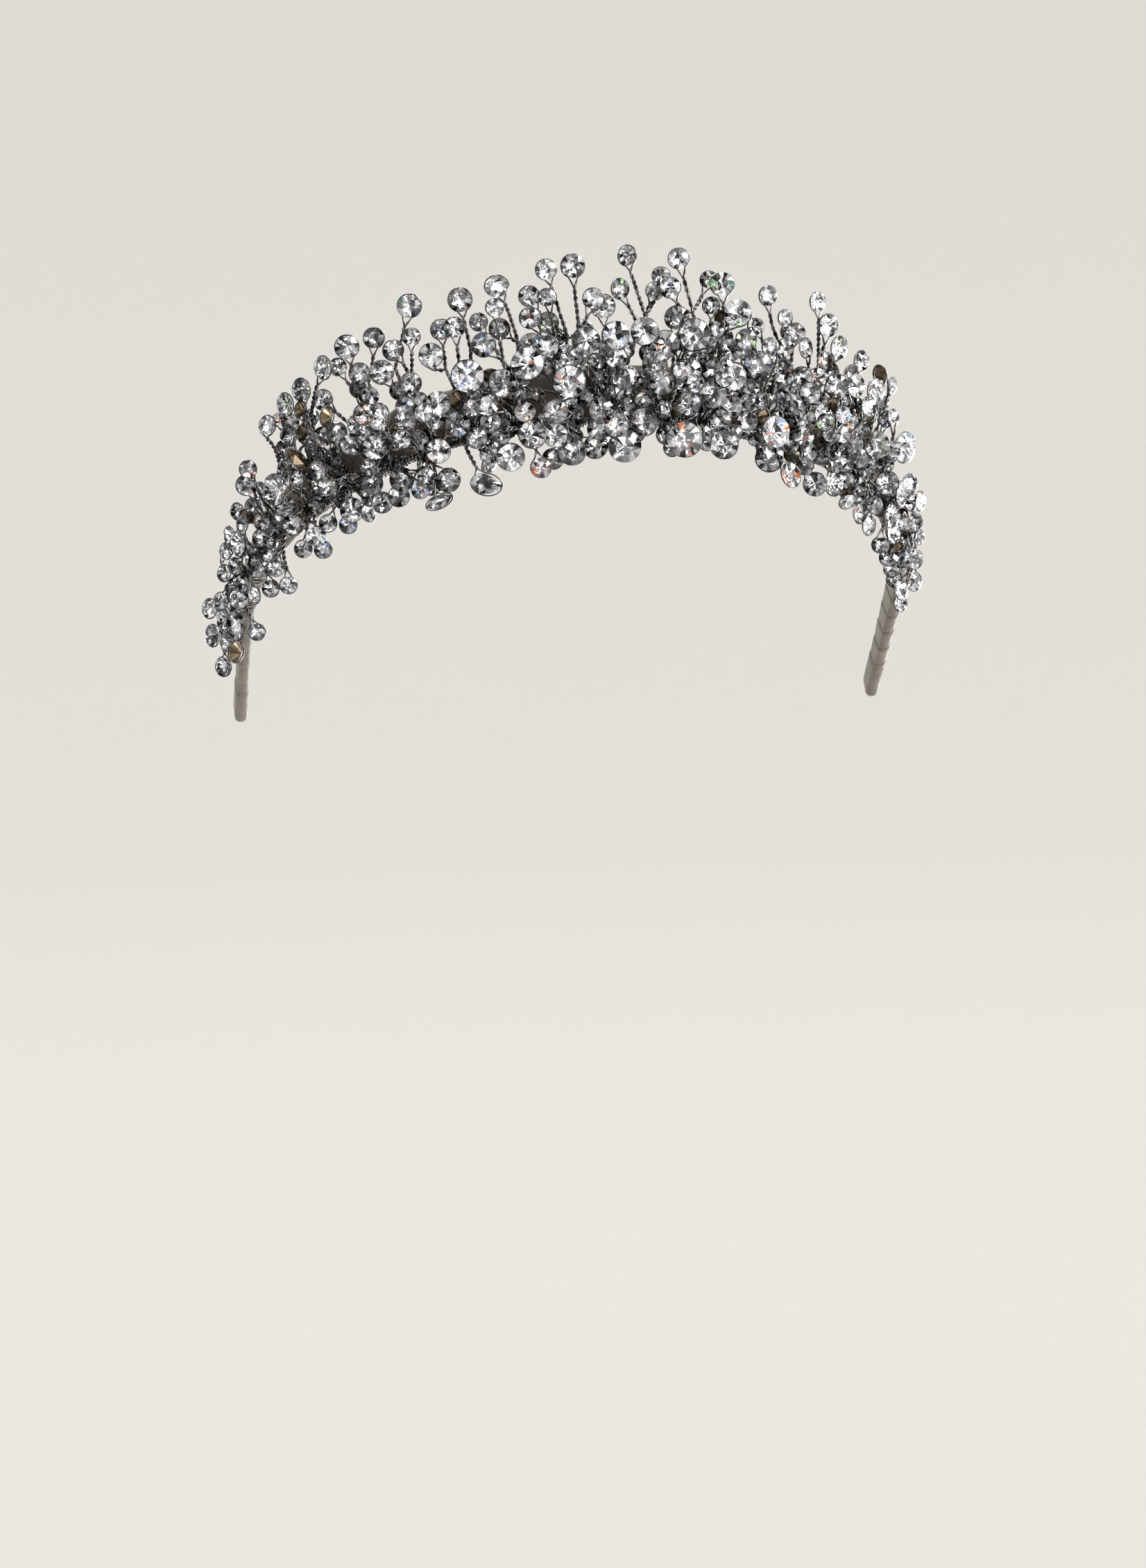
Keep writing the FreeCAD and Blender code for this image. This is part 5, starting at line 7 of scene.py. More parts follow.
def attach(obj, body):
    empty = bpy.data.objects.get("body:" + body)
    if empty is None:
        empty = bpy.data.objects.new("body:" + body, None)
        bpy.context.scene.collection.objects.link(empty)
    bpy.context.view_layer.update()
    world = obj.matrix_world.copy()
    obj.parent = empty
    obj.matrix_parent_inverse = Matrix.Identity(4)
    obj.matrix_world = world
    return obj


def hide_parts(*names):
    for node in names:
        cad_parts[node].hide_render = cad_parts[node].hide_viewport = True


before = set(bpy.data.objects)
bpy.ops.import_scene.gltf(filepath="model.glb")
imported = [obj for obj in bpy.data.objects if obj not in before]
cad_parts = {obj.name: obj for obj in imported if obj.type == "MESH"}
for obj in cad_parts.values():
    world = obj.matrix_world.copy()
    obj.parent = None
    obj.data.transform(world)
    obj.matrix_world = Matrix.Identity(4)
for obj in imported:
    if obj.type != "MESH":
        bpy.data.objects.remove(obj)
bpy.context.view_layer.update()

rng = np.random.default_rng(20)

# ------------------------------------------------------------------ design table, millimetres
HALF_WIDTH, CROWN_DEPTH, LEG = 78.6, 75.0, 40.0
LEAN, FLARE = math.radians(51.7), math.radians(38.3)
BAND_H, BAND_END_H, BAND_T = 13.0, 6.0, 2.8
FRAME_Q = 3.0
STATIONS = [-121.00, -110.81, -100.62, -90.43, -80.24, -70.05, -59.86, -49.67, -39.48, -29.29, -19.10, -8.90, 1.29, 11.48, 21.67, 31.86, 42.05, 52.24, 62.43, 72.62, 82.81, 93.00]
STONES = [
    (1, "r", 4.7, 4.7, -84.17, 7.1, -10.22, -0.667, -0.745, -0.007, -0.06, 0.045, 0.997, -83.46, 6.45, -7.72, -83.69, 5.69, -3.93, -82.97, 3.15, -1.09),
    (1, "r", 5.4, 5.4, -82, -6.42, -5.89, -0.699, 0.702, 0.138, 0.411, 0.552, -0.726, -81.09, -6.08, -3.02, -82.38, -4.39, -1.04, -83.14, -2.51, 1.04),
    (1, "r", 5.4, 5.4, -86.79, 3.07, -2.46, -0.845, -0.534, 0.041, -0.219, 0.414, 0.884, -85.4, 1.01, -0.72, -84.49, 0.49, 0.3, -83.29, -0.2, 0.75),
    (1, "r", 4, 4, -84.1, -2.37, -4.07, -0.849, -0.528, 0.01, 0.039, -0.081, -0.996, -84.77, -1.25, -2.14, -84.46, 0.31, -0.61, -82.92, 1.72, 0.11),
    (2, "r", 4.7, 4.7, -87.77, -5.79, 4.42, -0.743, -0.666, 0.065, 0.364, -0.484, -0.796, -86.13, -7.49, 5.68, -84.08, -6.18, 6.4, -81.99, -4.85, 5.8),
    (2, "r", 6.2, 6.2, -84.73, -10.01, 1.91, -0.863, -0.503, -0.055, 0.429, -0.786, 0.446, -84.58, -10.64, 5.28, -83.65, -9.89, 7.91, -81.17, -9.48, 9.35),
    (3, "r", 4, 4, -77.62, -17.76, -0.89, -0.229, -0.97, -0.08, -0.955, 0.24, -0.175, -78.3, -17.78, 1.34, -80.34, -15.99, 6.7, -80.42, -13.39, 12.12),
    (3, "p", 7, 4.4, -82.34, -16.83, 0.7, -0.188, -0.981, 0.057, 0.047, -0.067, -0.997, -81.54, -16.78, 4.26, -81.39, -16.25, 5.83, -80.67, -15.64, 7.19),
    (3, "r", 4, 4, -83.49, -7.69, 17.87, -0.63, 0.777, -0.008, -0.738, -0.602, -0.305, -84.57, -8.58, 16, -83.49, -13.14, 13.93, -80.09, -16.98, 13.63),
    (3, "r", 4, 4, -85.51, -14.31, 6.52, -0.604, -0.797, -0.022, 0.487, -0.347, -0.801, -84.4, -15.2, 8.37, -83.06, -15.31, 11.21, -80.44, -15.7, 12.91),
    (3, "r", 4, 4, -84.97, -19.46, 13.18, -0.708, -0.701, 0.08, -0.68, 0.647, -0.346, -86.6, -17.8, 13.21, -83.88, -14.86, 13.64, -80.12, -13.89, 12.59),
    (3, "r", 4, 4, -81.7, -10.42, 14.33, -0.302, 0.667, 0.681, 0.949, 0.28, 0.147, -81.61, -12.06, 15.98, -81.23, -16.17, 15.59, -79.32, -19.44, 13.91),
    (3, "r", 4.7, 4.7, -81.58, -18.57, 7.22, 0.005, -0.997, -0.073, 0.79, 0.049, -0.611, -80.91, -18.75, 9.81, -80.63, -18.08, 12.03, -79.84, -17.47, 14.14),
    (3, "r", 4, 4, -82.39, -15.26, 9.36, 0.04, -0.722, -0.691, -0.824, 0.367, -0.431, -81.08, -16.55, 10.79, -80.82, -16.29, 12.29, -80.04, -16, 13.6),
    (3, "r", 4, 4, -80.63, -20.47, 10.65, -0.801, -0.598, 0.025, 0.106, -0.183, -0.977, -81.95, -18.67, 11.31, -81.9, -17.06, 12.03, -80.74, -15.76, 11.72),
    (4, "r", 4, 4, -84.06, -16.01, 18.18, -0.849, -0.528, -0.011, -0.4, 0.631, 0.665, -82.83, -17.98, 18.1, -80.58, -20.53, 18.08, -77.55, -22.05, 17.93),
    (4, "r", 4, 4, -78.59, -26.32, 8.1, -0.828, -0.559, -0.045, 0.118, -0.094, -0.989, -78.58, -26.53, 10.42, -78.86, -26.15, 15.43, -76.11, -25.69, 19.63),
    (4, "r", 4, 4, -83.53, -19.71, 21.98, -0.85, -0.526, 0.011, 0.104, -0.189, -0.976, -82.92, -20.74, 19.98, -81.12, -20.4, 18.87, -78.55, -21.12, 15.91),
    (4, "r", 4, 4, -74.97, -29.94, 9.72, -0.293, -0.954, 0.058, -0.152, -0.013, -0.988, -75.11, -29.76, 12.04, -76.11, -28.31, 16.88, -74.81, -26.07, 21.34),
    (4, "r", 4, 4, -80.99, -28.11, 24.7, -0.809, -0.577, 0.11, -0.428, 0.451, -0.783, -80.95, -28.59, 22.42, -78.95, -27.51, 19.66, -76.06, -25.87, 18.31),
    (4, "r", 4, 4, -82.36, -19.85, 14.71, -0.708, -0.705, -0.041, 0.493, -0.535, 0.686, -81.03, -21.27, 16, -79.46, -22.07, 18.01, -76.96, -22.77, 18.7),
    (4, "r", 6.2, 6.2, -82, -28.79, 20.3, -0.913, -0.408, 0.023, 0.275, -0.572, 0.772, -80.8, -31.56, 18.67, -78.07, -29.46, 19.56, -75.47, -27.03, 19.58),
    (4, "r", 4.7, 4.7, -81.28, -18.69, 19.94, -0.306, -0.951, 0.036, 0.952, -0.306, 0.013, -78.8, -19.51, 19.35, -77.43, -22.2, 19.09, -76.59, -25.08, 18.65),
    (4, "r", 4, 4, -74.26, -30.06, 20.71, 0.571, -0.821, -0.009, -0.532, -0.362, -0.765, -73.34, -29.4, 18.67, -75.55, -26.13, 18.7, -77.48, -22.76, 18.02),
    (4, "r", 5.4, 5.4, -78.67, -27.28, 16.46, -0.822, -0.563, 0.084, 0.067, 0.05, 0.996, -78.19, -27.54, 19.44, -77.21, -26.73, 20.27, -75.85, -26.09, 19.99),
    (4, "r", 4, 4, -77.23, -23.98, 14.04, -0.083, -0.982, -0.169, -0.955, 0.03, 0.296, -77.06, -24.39, 16.33, -77.22, -24.33, 17.62, -76.82, -24.22, 18.85),
    (5, "r", 4, 4, -79.31, -33.16, 37.31, 0.163, -0.985, 0.055, 0.876, 0.17, 0.451, -78.34, -33.12, 35.19, -75.54, -32.71, 28.39, -72.55, -31.11, 21.87),
    (5, "r", 4, 4, -81.65, -23.14, 27.47, -0.711, -0.703, -0.027, -0.688, 0.703, -0.18, -80.01, -24.79, 27.39, -78.17, -28.72, 27.32, -75.32, -31.99, 27.09),
    (5, "r", 4.7, 4.7, -79.84, -32.14, 33.66, -0.085, -0.993, 0.077, -0.792, 0.02, -0.611, -78.4, -32.44, 31.43, -75.85, -32.45, 26.58, -72.5, -31.37, 22.4),
    (5, "r", 4, 4, -71.09, -33.59, 10.53, 0.076, -0.991, 0.11, -0.972, -0.098, -0.212, -70.99, -33.32, 12.84, -71.93, -32.76, 19.37, -70.45, -32.25, 25.8),
    (5, "r", 4, 4, -79.31, -25.67, 26.33, -0.087, 0.867, -0.49, -0.886, -0.293, -0.361, -77.73, -26.39, 24.78, -76.76, -29.18, 25.03, -75.57, -31.79, 25.75),
    (5, "r", 4, 4, -77, -31.66, 32.29, -0.784, -0.606, 0.137, 0.506, -0.495, 0.706, -76.27, -33, 30.52, -73.92, -34.17, 27.49, -70.64, -33.58, 25.26),
    (5, "r", 4, 4, -73.88, -34.44, 14.48, -0.09, -0.984, -0.155, -0.531, 0.179, -0.828, -73.2, -34.84, 16.67, -72.97, -34, 18.61, -72.02, -32.82, 20.1),
    (5, "r", 4, 4, -78.33, -28.55, 28.61, -0.465, -0.883, 0.057, -0.46, 0.186, -0.868, -76.45, -29.6, 27.71, -73.58, -32.4, 25.96, -70.02, -34.45, 24.45),
    (5, "r", 4, 4, -75.21, -30.13, 16.76, -0.135, -0.939, 0.316, -0.991, 0.122, -0.061, -74.09, -29.62, 18.74, -73.4, -29.84, 22.11, -71.56, -30.96, 24.8),
    (5, "r", 4, 4, -77.34, -33.09, 21.39, -0.614, -0.79, 0.004, 0.746, -0.581, -0.326, -75.63, -34.42, 22.24, -72.71, -34.85, 23.84, -69.38, -34.82, 24.25),
    (5, "r", 4, 4, -76.65, -32.13, 25.15, -0.468, -0.883, 0.024, -0.138, 0.1, 0.985, -74.74, -33.17, 24.32, -73, -33.1, 23.86, -71.35, -32.79, 23.2),
    (5, "r", 4, 4, -72.87, -36.52, 25.3, -0.471, -0.882, 0.009, -0.612, 0.334, 0.717, -71.18, -37.41, 26.64, -70.47, -35.7, 27.21, -69.68, -34.1, 26.44),
    (5, "r", 4, 4, -70.12, -33.99, 24.66, -0.44, -0.889, -0.127, -0.045, -0.119, 0.992, -71.1, -33.22, 22.69, -71.02, -33.18, 22.95, -70.8, -33.17, 23.12),
    (6, "r", 5.4, 5.4, -71.12, -40.34, 51.77, -0.811, -0.583, -0.059, -0.57, 0.761, 0.309, -72.09, -38.75, 49.38, -71.25, -36.24, 47.51, -72.06, -32.16, 39.51),
    (6, "r", 4, 4, -68.73, -27.12, 47.85, 0.182, 0.664, -0.725, 0.26, -0.744, -0.616, -68.65, -28.85, 46.29, -68.39, -33.82, 40.24, -66.65, -36.99, 28.91),
    (6, "r", 4, 4, -71.98, -33.93, 48.63, -0.433, -0.641, 0.634, -0.152, 0.745, 0.649, -71.75, -35.64, 47.06, -70.22, -35.49, 43.7, -68.64, -33.82, 40.81),
    (6, "r", 4.7, 4.7, -75.13, -37.07, 47.16, -0.679, -0.726, 0.11, 0.042, 0.111, 0.993, -75.71, -36.92, 44.55, -73.82, -34.49, 42.84, -72.17, -31.95, 38.8),
    (6, "r", 4, 4, -70.46, -25.93, 41.53, -0.678, -0.689, 0.256, -0.374, 0.024, -0.927, -69.68, -27.32, 39.83, -70, -31.6, 38.84, -66.01, -37.66, 29.38),
    (6, "r", 4, 4, -66.36, -31.89, 45.27, -0.547, -0.104, -0.831, 0.432, 0.815, -0.387, -64.42, -31.77, 43.98, -67.67, -33.66, 40.81, -69.31, -32.61, 38.19),
    (6, "r", 4.7, 4.7, -70.45, -38.72, 44.83, -0.679, -0.731, 0.059, 0.734, -0.676, 0.066, -69.62, -39.67, 42.46, -66.86, -41.08, 36.65, -62.95, -40.93, 31.37),
    (6, "r", 4, 4, -71.32, -36.47, 41.68, 0.575, -0.817, -0.049, -0.277, -0.138, -0.951, -70.91, -36.04, 39.43, -69.18, -38.36, 36.99, -66.52, -40.86, 35.96),
    (6, "m", 6.9, 3.3, -69.02, -43.78, 39.34, -0.37, 0.929, -0.001, 0.655, 0.26, -0.709, -67.11, -43.03, 36.37, -65.69, -42, 33.23, -63.94, -40.26, 30.62),
    (6, "r", 7.2, 7.2, -74.4, -41.13, 32.56, -0.788, -0.615, -0.023, -0.573, 0.748, -0.335, -71.98, -44.23, 32.52, -68.63, -43.8, 32.64, -65.99, -41.67, 32.66),
    (6, "r", 5.4, 5.4, -72, -40.47, 36.4, -0.892, -0.445, -0.084, 0.039, 0.111, -0.993, -71.35, -41.22, 33.54, -68.37, -41.15, 30.92, -64.89, -39.58, 29.84),
    (6, "r", 4, 4, -67.85, -38.33, 18.85, -0.171, -0.985, -0.034, 0.535, -0.122, 0.836, -66.88, -38.57, 20.95, -66.09, -39.46, 26.11, -63.06, -41.64, 29.88),
    (6, "r", 4, 4, -63.47, -40.69, 18.62, -0.079, -0.964, 0.252, 0.995, -0.061, 0.079, -63.89, -40.08, 20.83, -64.95, -39.81, 24.14, -65.18, -39.37, 27.59),
    (6, "r", 4, 4, -69.17, -43.62, 34.79, -0.771, -0.631, 0.089, 0.203, -0.375, -0.905, -69.02, -44.13, 32.52, -66.82, -42.91, 30.01, -64.05, -40.76, 29.4),
    (6, "r", 4.7, 4.7, -65.3, -42.83, 21.75, -0.07, -0.938, -0.339, 0.44, -0.334, 0.834, -66.22, -43.63, 24.14, -66.96, -41.57, 26.5, -66.22, -38.51, 27.16),
    (6, "r", 4.7, 4.7, -70.21, -40.45, 24.53, -0.152, -0.968, 0.201, 0.982, -0.171, -0.077, -68.45, -40.31, 26.54, -67.22, -39.77, 28.86, -64.99, -38.93, 30.06),
    (6, "r", 4.7, 4.7, -71.52, -38.99, 28.63, 0.017, -0.983, 0.184, 0.888, 0.099, 0.449, -68.88, -38.87, 29.06, -66.35, -40.02, 30.37, -63.5, -41.14, 30.38),
    (6, "r", 4, 4, -67.28, -38.61, 26.74, -0.364, 0.931, -0.037, 0.919, 0.352, -0.175, -65.93, -38.01, 28.55, -65.92, -38.58, 28.54, -65.87, -39.03, 28.19),
    (6, "r", 4, 4, -64.79, -41.8, 28.95, -0.375, -0.874, -0.308, -0.506, 0.471, -0.722, -63.57, -41.63, 26.97, -63.73, -41.2, 27.75, -63.79, -40.64, 28.46),
    (7, "r", 5.4, 5.4, -62.91, -46.95, 59.8, -0.785, -0.617, -0.057, 0.619, -0.778, -0.104, -63.58, -45.85, 57.06, -65.1, -43.15, 50.5, -64.8, -39.6, 45.76),
    (7, "r", 5.4, 5.4, -67.86, -45.88, 54.96, -0.752, -0.657, -0.051, -0.085, 0.019, 0.996, -67.35, -46.22, 51.99, -64.43, -47.13, 41.41, -59.38, -44.66, 31.93),
    (7, "r", 4, 4, -69.51, -36.46, 47.93, 0.167, -0.923, 0.348, 0.317, -0.284, -0.905, -68.7, -37.1, 45.84, -67.18, -41.9, 43.36, -64.67, -46.64, 41.71),
    (7, "r", 4, 4, -68, -43.85, 50.59, -0.688, 0.705, 0.169, 0.45, 0.598, -0.663, -67.53, -42.9, 48.51, -62.32, -45.15, 39.73, -54.52, -47.46, 33.17),
    (7, "r", 4, 4, -65.18, -41.51, 48.61, 0.347, -0.927, -0.141, 0.508, 0.06, 0.859, -64.74, -41, 46.38, -63.71, -43.12, 42.19, -61.19, -45.4, 38.78),
    (7, "r", 4.7, 4.7, -62.66, -50.22, 48.89, -0.684, 0.71, 0.168, 0.634, 0.464, 0.619, -62.01, -49.05, 46.56, -59.93, -47.68, 40.38, -57.1, -45.24, 34.85),
    (7, "r", 4.7, 4.7, -67.09, -40.32, 45.36, -0.688, 0.706, 0.166, 0.504, 0.63, -0.591, -67.12, -39.73, 42.75, -64.19, -43.5, 39.91, -59.82, -46.92, 39.54),
    (7, "r", 4.7, 4.7, -60.31, -48.93, 45.38, -0.039, -0.969, 0.244, 0.955, -0.109, -0.278, -60.03, -49.59, 42.79, -59.75, -48.07, 37.53, -58.98, -44.18, 33.73),
    (7, "r", 4.7, 4.7, -63.3, -46.95, 44.21, -0.294, -0.947, 0.128, 0.898, -0.228, 0.377, -62.26, -47.59, 41.82, -61.33, -47.98, 39.38, -59.9, -47.44, 37.21),
    (7, "r", 6.2, 6.2, -65.41, -43.11, 41.73, -0.877, -0.48, 0.026, -0.472, 0.851, -0.231, -64.27, -45.31, 39.36, -60.54, -47.33, 36.53, -56.12, -47.08, 34),
    (7, "r", 4, 4, -66.9, -40.38, 37.34, 0.077, -0.914, -0.397, -0.103, -0.404, 0.909, -64.82, -39.82, 36.46, -61.97, -42.68, 34.03, -58.71, -44.75, 31.33),
    (7, "r", 4, 4, -62.49, -44.3, 24.69, -0.177, -0.978, 0.111, -0.914, 0.122, -0.386, -61.27, -44.3, 26.67, -60.29, -45.39, 30.09, -57.85, -45.83, 32.86),
    (7, "r", 4.7, 4.7, -50.88, -52.82, 29.21, 0.029, -0.999, 0.046, -0.274, 0.036, 0.961, -52.98, -52.81, 30.88, -55.59, -50.66, 32.8, -56.04, -46.8, 32.9),
    (7, "r", 4, 4, -63.15, -51.83, 33.42, 0.088, -0.989, 0.116, -0.995, -0.081, 0.064, -60.91, -51.57, 34.01, -57.91, -49.95, 35.34, -55.24, -47.44, 35.2),
    (7, "r", 4, 4, -58.07, -45.83, 24.11, -0.181, -0.969, -0.17, -0.982, 0.189, -0.031, -58.21, -46.21, 26.4, -58.74, -46.39, 29.6, -58.27, -45.53, 32.7),
    (7, "r", 4.7, 4.7, -64.59, -46.13, 36.73, -0.735, -0.678, -0.003, 0.138, -0.145, -0.98, -63.1, -47.74, 35.19, -59.66, -47.88, 33.77, -56.4, -46.51, 32.64),
    (7, "r", 4, 4, -64.9, -42.94, 33.23, -0.797, -0.597, 0.093, 0.027, -0.189, -0.982, -63.5, -44.79, 33.38, -59.55, -47.05, 34.5, -55.02, -47.5, 33.4),
    (7, "r", 4.7, 4.7, -61.28, -47.03, 39.29, -0.716, -0.696, -0.054, -0.68, 0.677, 0.281, -61.16, -46.95, 36.62, -60.06, -46.15, 34.79, -58.87, -44.78, 33.42),
    (7, "r", 4, 4, -53.55, -48.92, 26.86, 0.497, -0.849, 0.179, -0.694, -0.513, -0.506, -54.05, -48.73, 29.13, -55.72, -47.66, 32.42, -57.28, -45.05, 34.77),
    (7, "r", 4.7, 4.7, -62.23, -47.86, 32.45, -0.784, -0.621, -0.016, -0.121, 0.178, -0.977, -60.59, -49.93, 32.9, -57.9, -48.84, 33.87, -55.41, -47.21, 33.17),
    (7, "r", 5.4, 5.4, -57.21, -47.94, 27.59, 0.066, -0.998, -0.02, 0.903, 0.068, -0.424, -58.02, -48.05, 30.5, -59.04, -46.6, 32.68, -59.15, -43.97, 33.67),
    (7, "r", 4, 4, -53.36, -49.77, 30.32, -0.45, -0.887, 0.107, -0.592, 0.386, 0.707, -55.18, -48.72, 31.34, -56.69, -47.75, 32.33, -57.6, -46, 32.86),
    (7, "r", 4, 4, -58.91, -45.06, 29.77, -0.312, -0.763, 0.565, -0.425, -0.42, -0.802, -57.26, -44.58, 31.34, -56.95, -45.32, 33.18, -56.47, -46.44, 34.79),
    (8, "r", 4.7, 4.7, -51.05, -48.35, 66.15, -0.045, -0.997, -0.066, -0.604, 0.079, -0.793, -51.22, -48.17, 63.48, -51.33, -48.14, 61.8, -52.41, -47.87, 57.15),
    (8, "r", 5.4, 5.4, -57.22, -48.14, 64.3, -0.062, -0.989, -0.138, -0.339, -0.109, 0.935, -56.6, -47.77, 61.36, -56.24, -47.71, 59.6, -55.35, -47.3, 56.77),
    (8, "r", 4, 4, -59.14, -45.29, 59.86, 0.052, -0.984, -0.169, -0.668, -0.16, 0.727, -57.91, -44.9, 57.92, -56.11, -46.39, 54.92, -53.65, -47.46, 51.72),
    (8, "r", 4.7, 4.7, -54.64, -48.57, 58.3, -0.189, -0.982, -0.015, 0.918, -0.182, 0.352, -54.32, -48.59, 55.64, -54.09, -48.05, 54.55, -53.51, -47.55, 51.72),
    (8, "r", 4.7, 4.7, -62.8, -44.66, 52.62, -0.528, -0.848, 0.039, 0.83, -0.525, -0.185, -61.15, -45.77, 50.83, -55.2, -50.01, 45.05, -48.59, -51.1, 38.58),
    (8, "r", 4, 4, -54.94, -47.13, 54.73, -0.364, -0.912, -0.191, 0.422, -0.344, 0.839, -54.57, -46.8, 52.45, -54.84, -48.66, 49.2, -55.18, -49.83, 45.64),
    (8, "r", 4, 4, -52.51, -50.7, 53.25, 0.216, -0.964, 0.156, 0.922, 0.149, -0.358, -52.06, -50.96, 50.98, -52.06, -51.92, 44.06, -49.74, -50.93, 37.55),
    (8, "r", 4.7, 4.7, -54.34, -53.34, 49.11, 0.093, -0.988, -0.127, -0.12, -0.138, 0.983, -53.35, -52.94, 46.65, -52.77, -52.69, 44.87, -52.01, -52.01, 43.29),
    (8, "r", 4, 4, -56.87, -51.25, 46.85, -0.843, -0.536, 0.047, 0.538, -0.839, 0.088, -56.64, -51.81, 44.59, -54.33, -51.99, 40, -50.77, -50.48, 36.61),
    (8, "r", 4, 4, -41.6, -59.85, 34.65, -0.067, -0.994, -0.082, -0.984, 0.079, -0.162, -43.91, -59.72, 34.94, -47.63, -56.56, 36.61, -48.16, -51.45, 36.19),
    (8, "r", 4, 4, -42.67, -57.49, 31.85, -0.094, -0.995, -0.03, 0.69, -0.044, -0.722, -44.09, -57.41, 33.7, -45.88, -55.87, 36.26, -46.54, -52.72, 37.61),
    (8, "r", 4.7, 4.7, -57.24, -50.27, 42.48, -0.067, -0.996, 0.061, 0.737, -0.008, 0.676, -55.28, -50.51, 40.67, -54.83, -51.12, 40.08, -54.15, -51.64, 39.63),
    (8, "r", 4, 4, -54.29, -51.5, 45.05, -0.537, -0.804, 0.256, 0.416, 0.011, 0.909, -53.16, -52.76, 43.45, -50.54, -53.07, 40.89, -48.03, -51.56, 38.67),
    (8, "r", 5.4, 5.4, -52.52, -56.03, 41.62, -0.321, -0.941, 0.106, -0.289, -0.009, -0.957, -52.54, -56.37, 38.61, -51.62, -53.61, 36.12, -50.32, -50.13, 35.16),
    (8, "r", 4, 4, -50.9, -53.51, 44.65, 0.004, -0.787, 0.617, 0.211, -0.603, -0.77, -49.9, -54.8, 42.99, -49.14, -53.97, 38.99, -48.36, -51.22, 35.97),
    (8, "r", 4.7, 4.7, -47.21, -54.13, 30.52, -0.104, -0.991, 0.088, 0.318, -0.117, -0.941, -47.23, -53.89, 33.19, -47.56, -53.26, 36.45, -47.09, -51.63, 39.33),
    (8, "r", 4, 4, -53.89, -54.27, 37.29, -0.487, -0.871, 0.059, 0.469, -0.318, -0.823, -51.94, -55.4, 36.71, -50.7, -53.25, 37, -50.12, -50.86, 36.58),
    (8, "r", 4.7, 4.7, -53.02, -53.6, 33.51, -0.022, -0.999, 0.029, -0.253, -0.022, -0.967, -51.11, -53.59, 35.4, -49.96, -53.05, 37.27, -48.3, -51.74, 38.09),
    (9, "r", 5.4, 5.4, -43.22, -52.18, 73.02, -0.164, -0.962, -0.218, -0.757, 0.265, -0.597, -43.87, -51.42, 70.16, -45.49, -51.49, 63.93, -46.69, -51.02, 59.3),
    (9, "r", 4, 4, -43.36, -55.66, 66.15, -0.174, -0.979, 0.106, -0.196, 0.14, 0.971, -43.44, -55.9, 63.83, -43.25, -54.62, 61.51, -43.44, -53.57, 56.86),
    (9, "r", 4.7, 4.7, -47.26, -53.12, 63.19, 0.021, -0.976, -0.218, 0.01, 0.219, -0.976, -45.66, -52.61, 61.09, -45.33, -53.31, 60.49, -43.59, -53.5, 56.71),
    (9, "r", 5.4, 5.4, -50.09, -53.22, 58.46, -0.164, -0.976, 0.144, -0.213, -0.108, -0.971, -48.39, -53.86, 56.03, -43.27, -56.25, 47.72, -36.98, -56.33, 39.89),
    (9, "r", 4, 4, -42.95, -47.38, 55.78, -0.182, -0.431, -0.884, 0.972, -0.216, -0.095, -41.52, -49.13, 56.34, -42.08, -54.26, 52.66, -42.15, -56.02, 46.57),
    (9, "r", 4.7, 4.7, -43.91, -56.08, 55.78, -0.152, -0.982, -0.112, 0.983, -0.138, -0.122, -43.17, -55.91, 53.21, -41.45, -56.67, 46.06, -39.18, -55.38, 39.14),
    (9, "r", 4, 4, -46.55, -53.97, 54.16, -0.328, -0.942, -0.072, -0.918, 0.3, 0.26, -45.32, -54.25, 52.2, -43.81, -56.05, 48.64, -41.34, -56.43, 45.18),
    (9, "r", 6.2, 6.2, -51.58, -56.75, 48.42, -0.755, -0.655, 0.007, -0.338, 0.399, 0.852, -50.47, -58.06, 45.45, -46.44, -57.48, 42.04, -42.23, -54.54, 40.69),
    (9, "m", 6.5, 3.1, -38.9, -60.67, 29.15, -0.233, -0.972, 0.031, 0.894, -0.202, 0.4, -39.33, -60.51, 30.99, -40.72, -59.38, 36.48, -40.62, -55.49, 40.75),
    (9, "r", 4, 4, -45.66, -57.66, 50.72, -0.229, -0.961, 0.153, 0.911, -0.267, -0.315, -45.77, -58, 48.42, -45.99, -58.24, 45.22, -45.62, -57.12, 42.22),
    (9, "r", 4, 4, -41.91, -61.69, 49.1, -0.182, -0.983, 0.02, 0.705, -0.116, 0.7, -40.86, -61.93, 47.04, -39.17, -59.78, 43.91, -37.46, -56.28, 42.47),
    (9, "r", 4.7, 4.7, -45.8, -59.36, 47.48, -0.227, -0.967, 0.116, 0.427, -0.206, -0.88, -44.65, -59.91, 45.13, -42.89, -58.39, 41.95, -41.22, -55.31, 40.17),
    (9, "r", 4, 4, -46.77, -60.94, 43.28, 0.121, -0.992, -0.017, -0.991, -0.122, 0.052, -44.67, -60.67, 42.31, -41.79, -58.62, 40.65, -39.25, -55.83, 39.65),
    (9, "r", 5.4, 5.4, -34.18, -61.13, 46.36, -0.019, -0.999, 0.028, -0.284, 0.032, 0.958, -36.35, -61.15, 44.25, -37.75, -58.95, 42.77, -38.15, -56.02, 42.26),
    (9, "r", 5.4, 5.4, -46.62, -55.62, 34.27, -0.249, -0.968, 0.013, -0.948, 0.241, -0.207, -43.98, -56.28, 35.61, -42.83, -57.39, 36.74, -41.31, -58.55, 37.17),
    (9, "r", 4, 4, -47.93, -57.41, 42.89, -0.174, -0.98, -0.093, -0.229, -0.051, 0.972, -45.82, -57.69, 41.93, -42.93, -57.05, 40.6, -40.1, -55.68, 39.81),
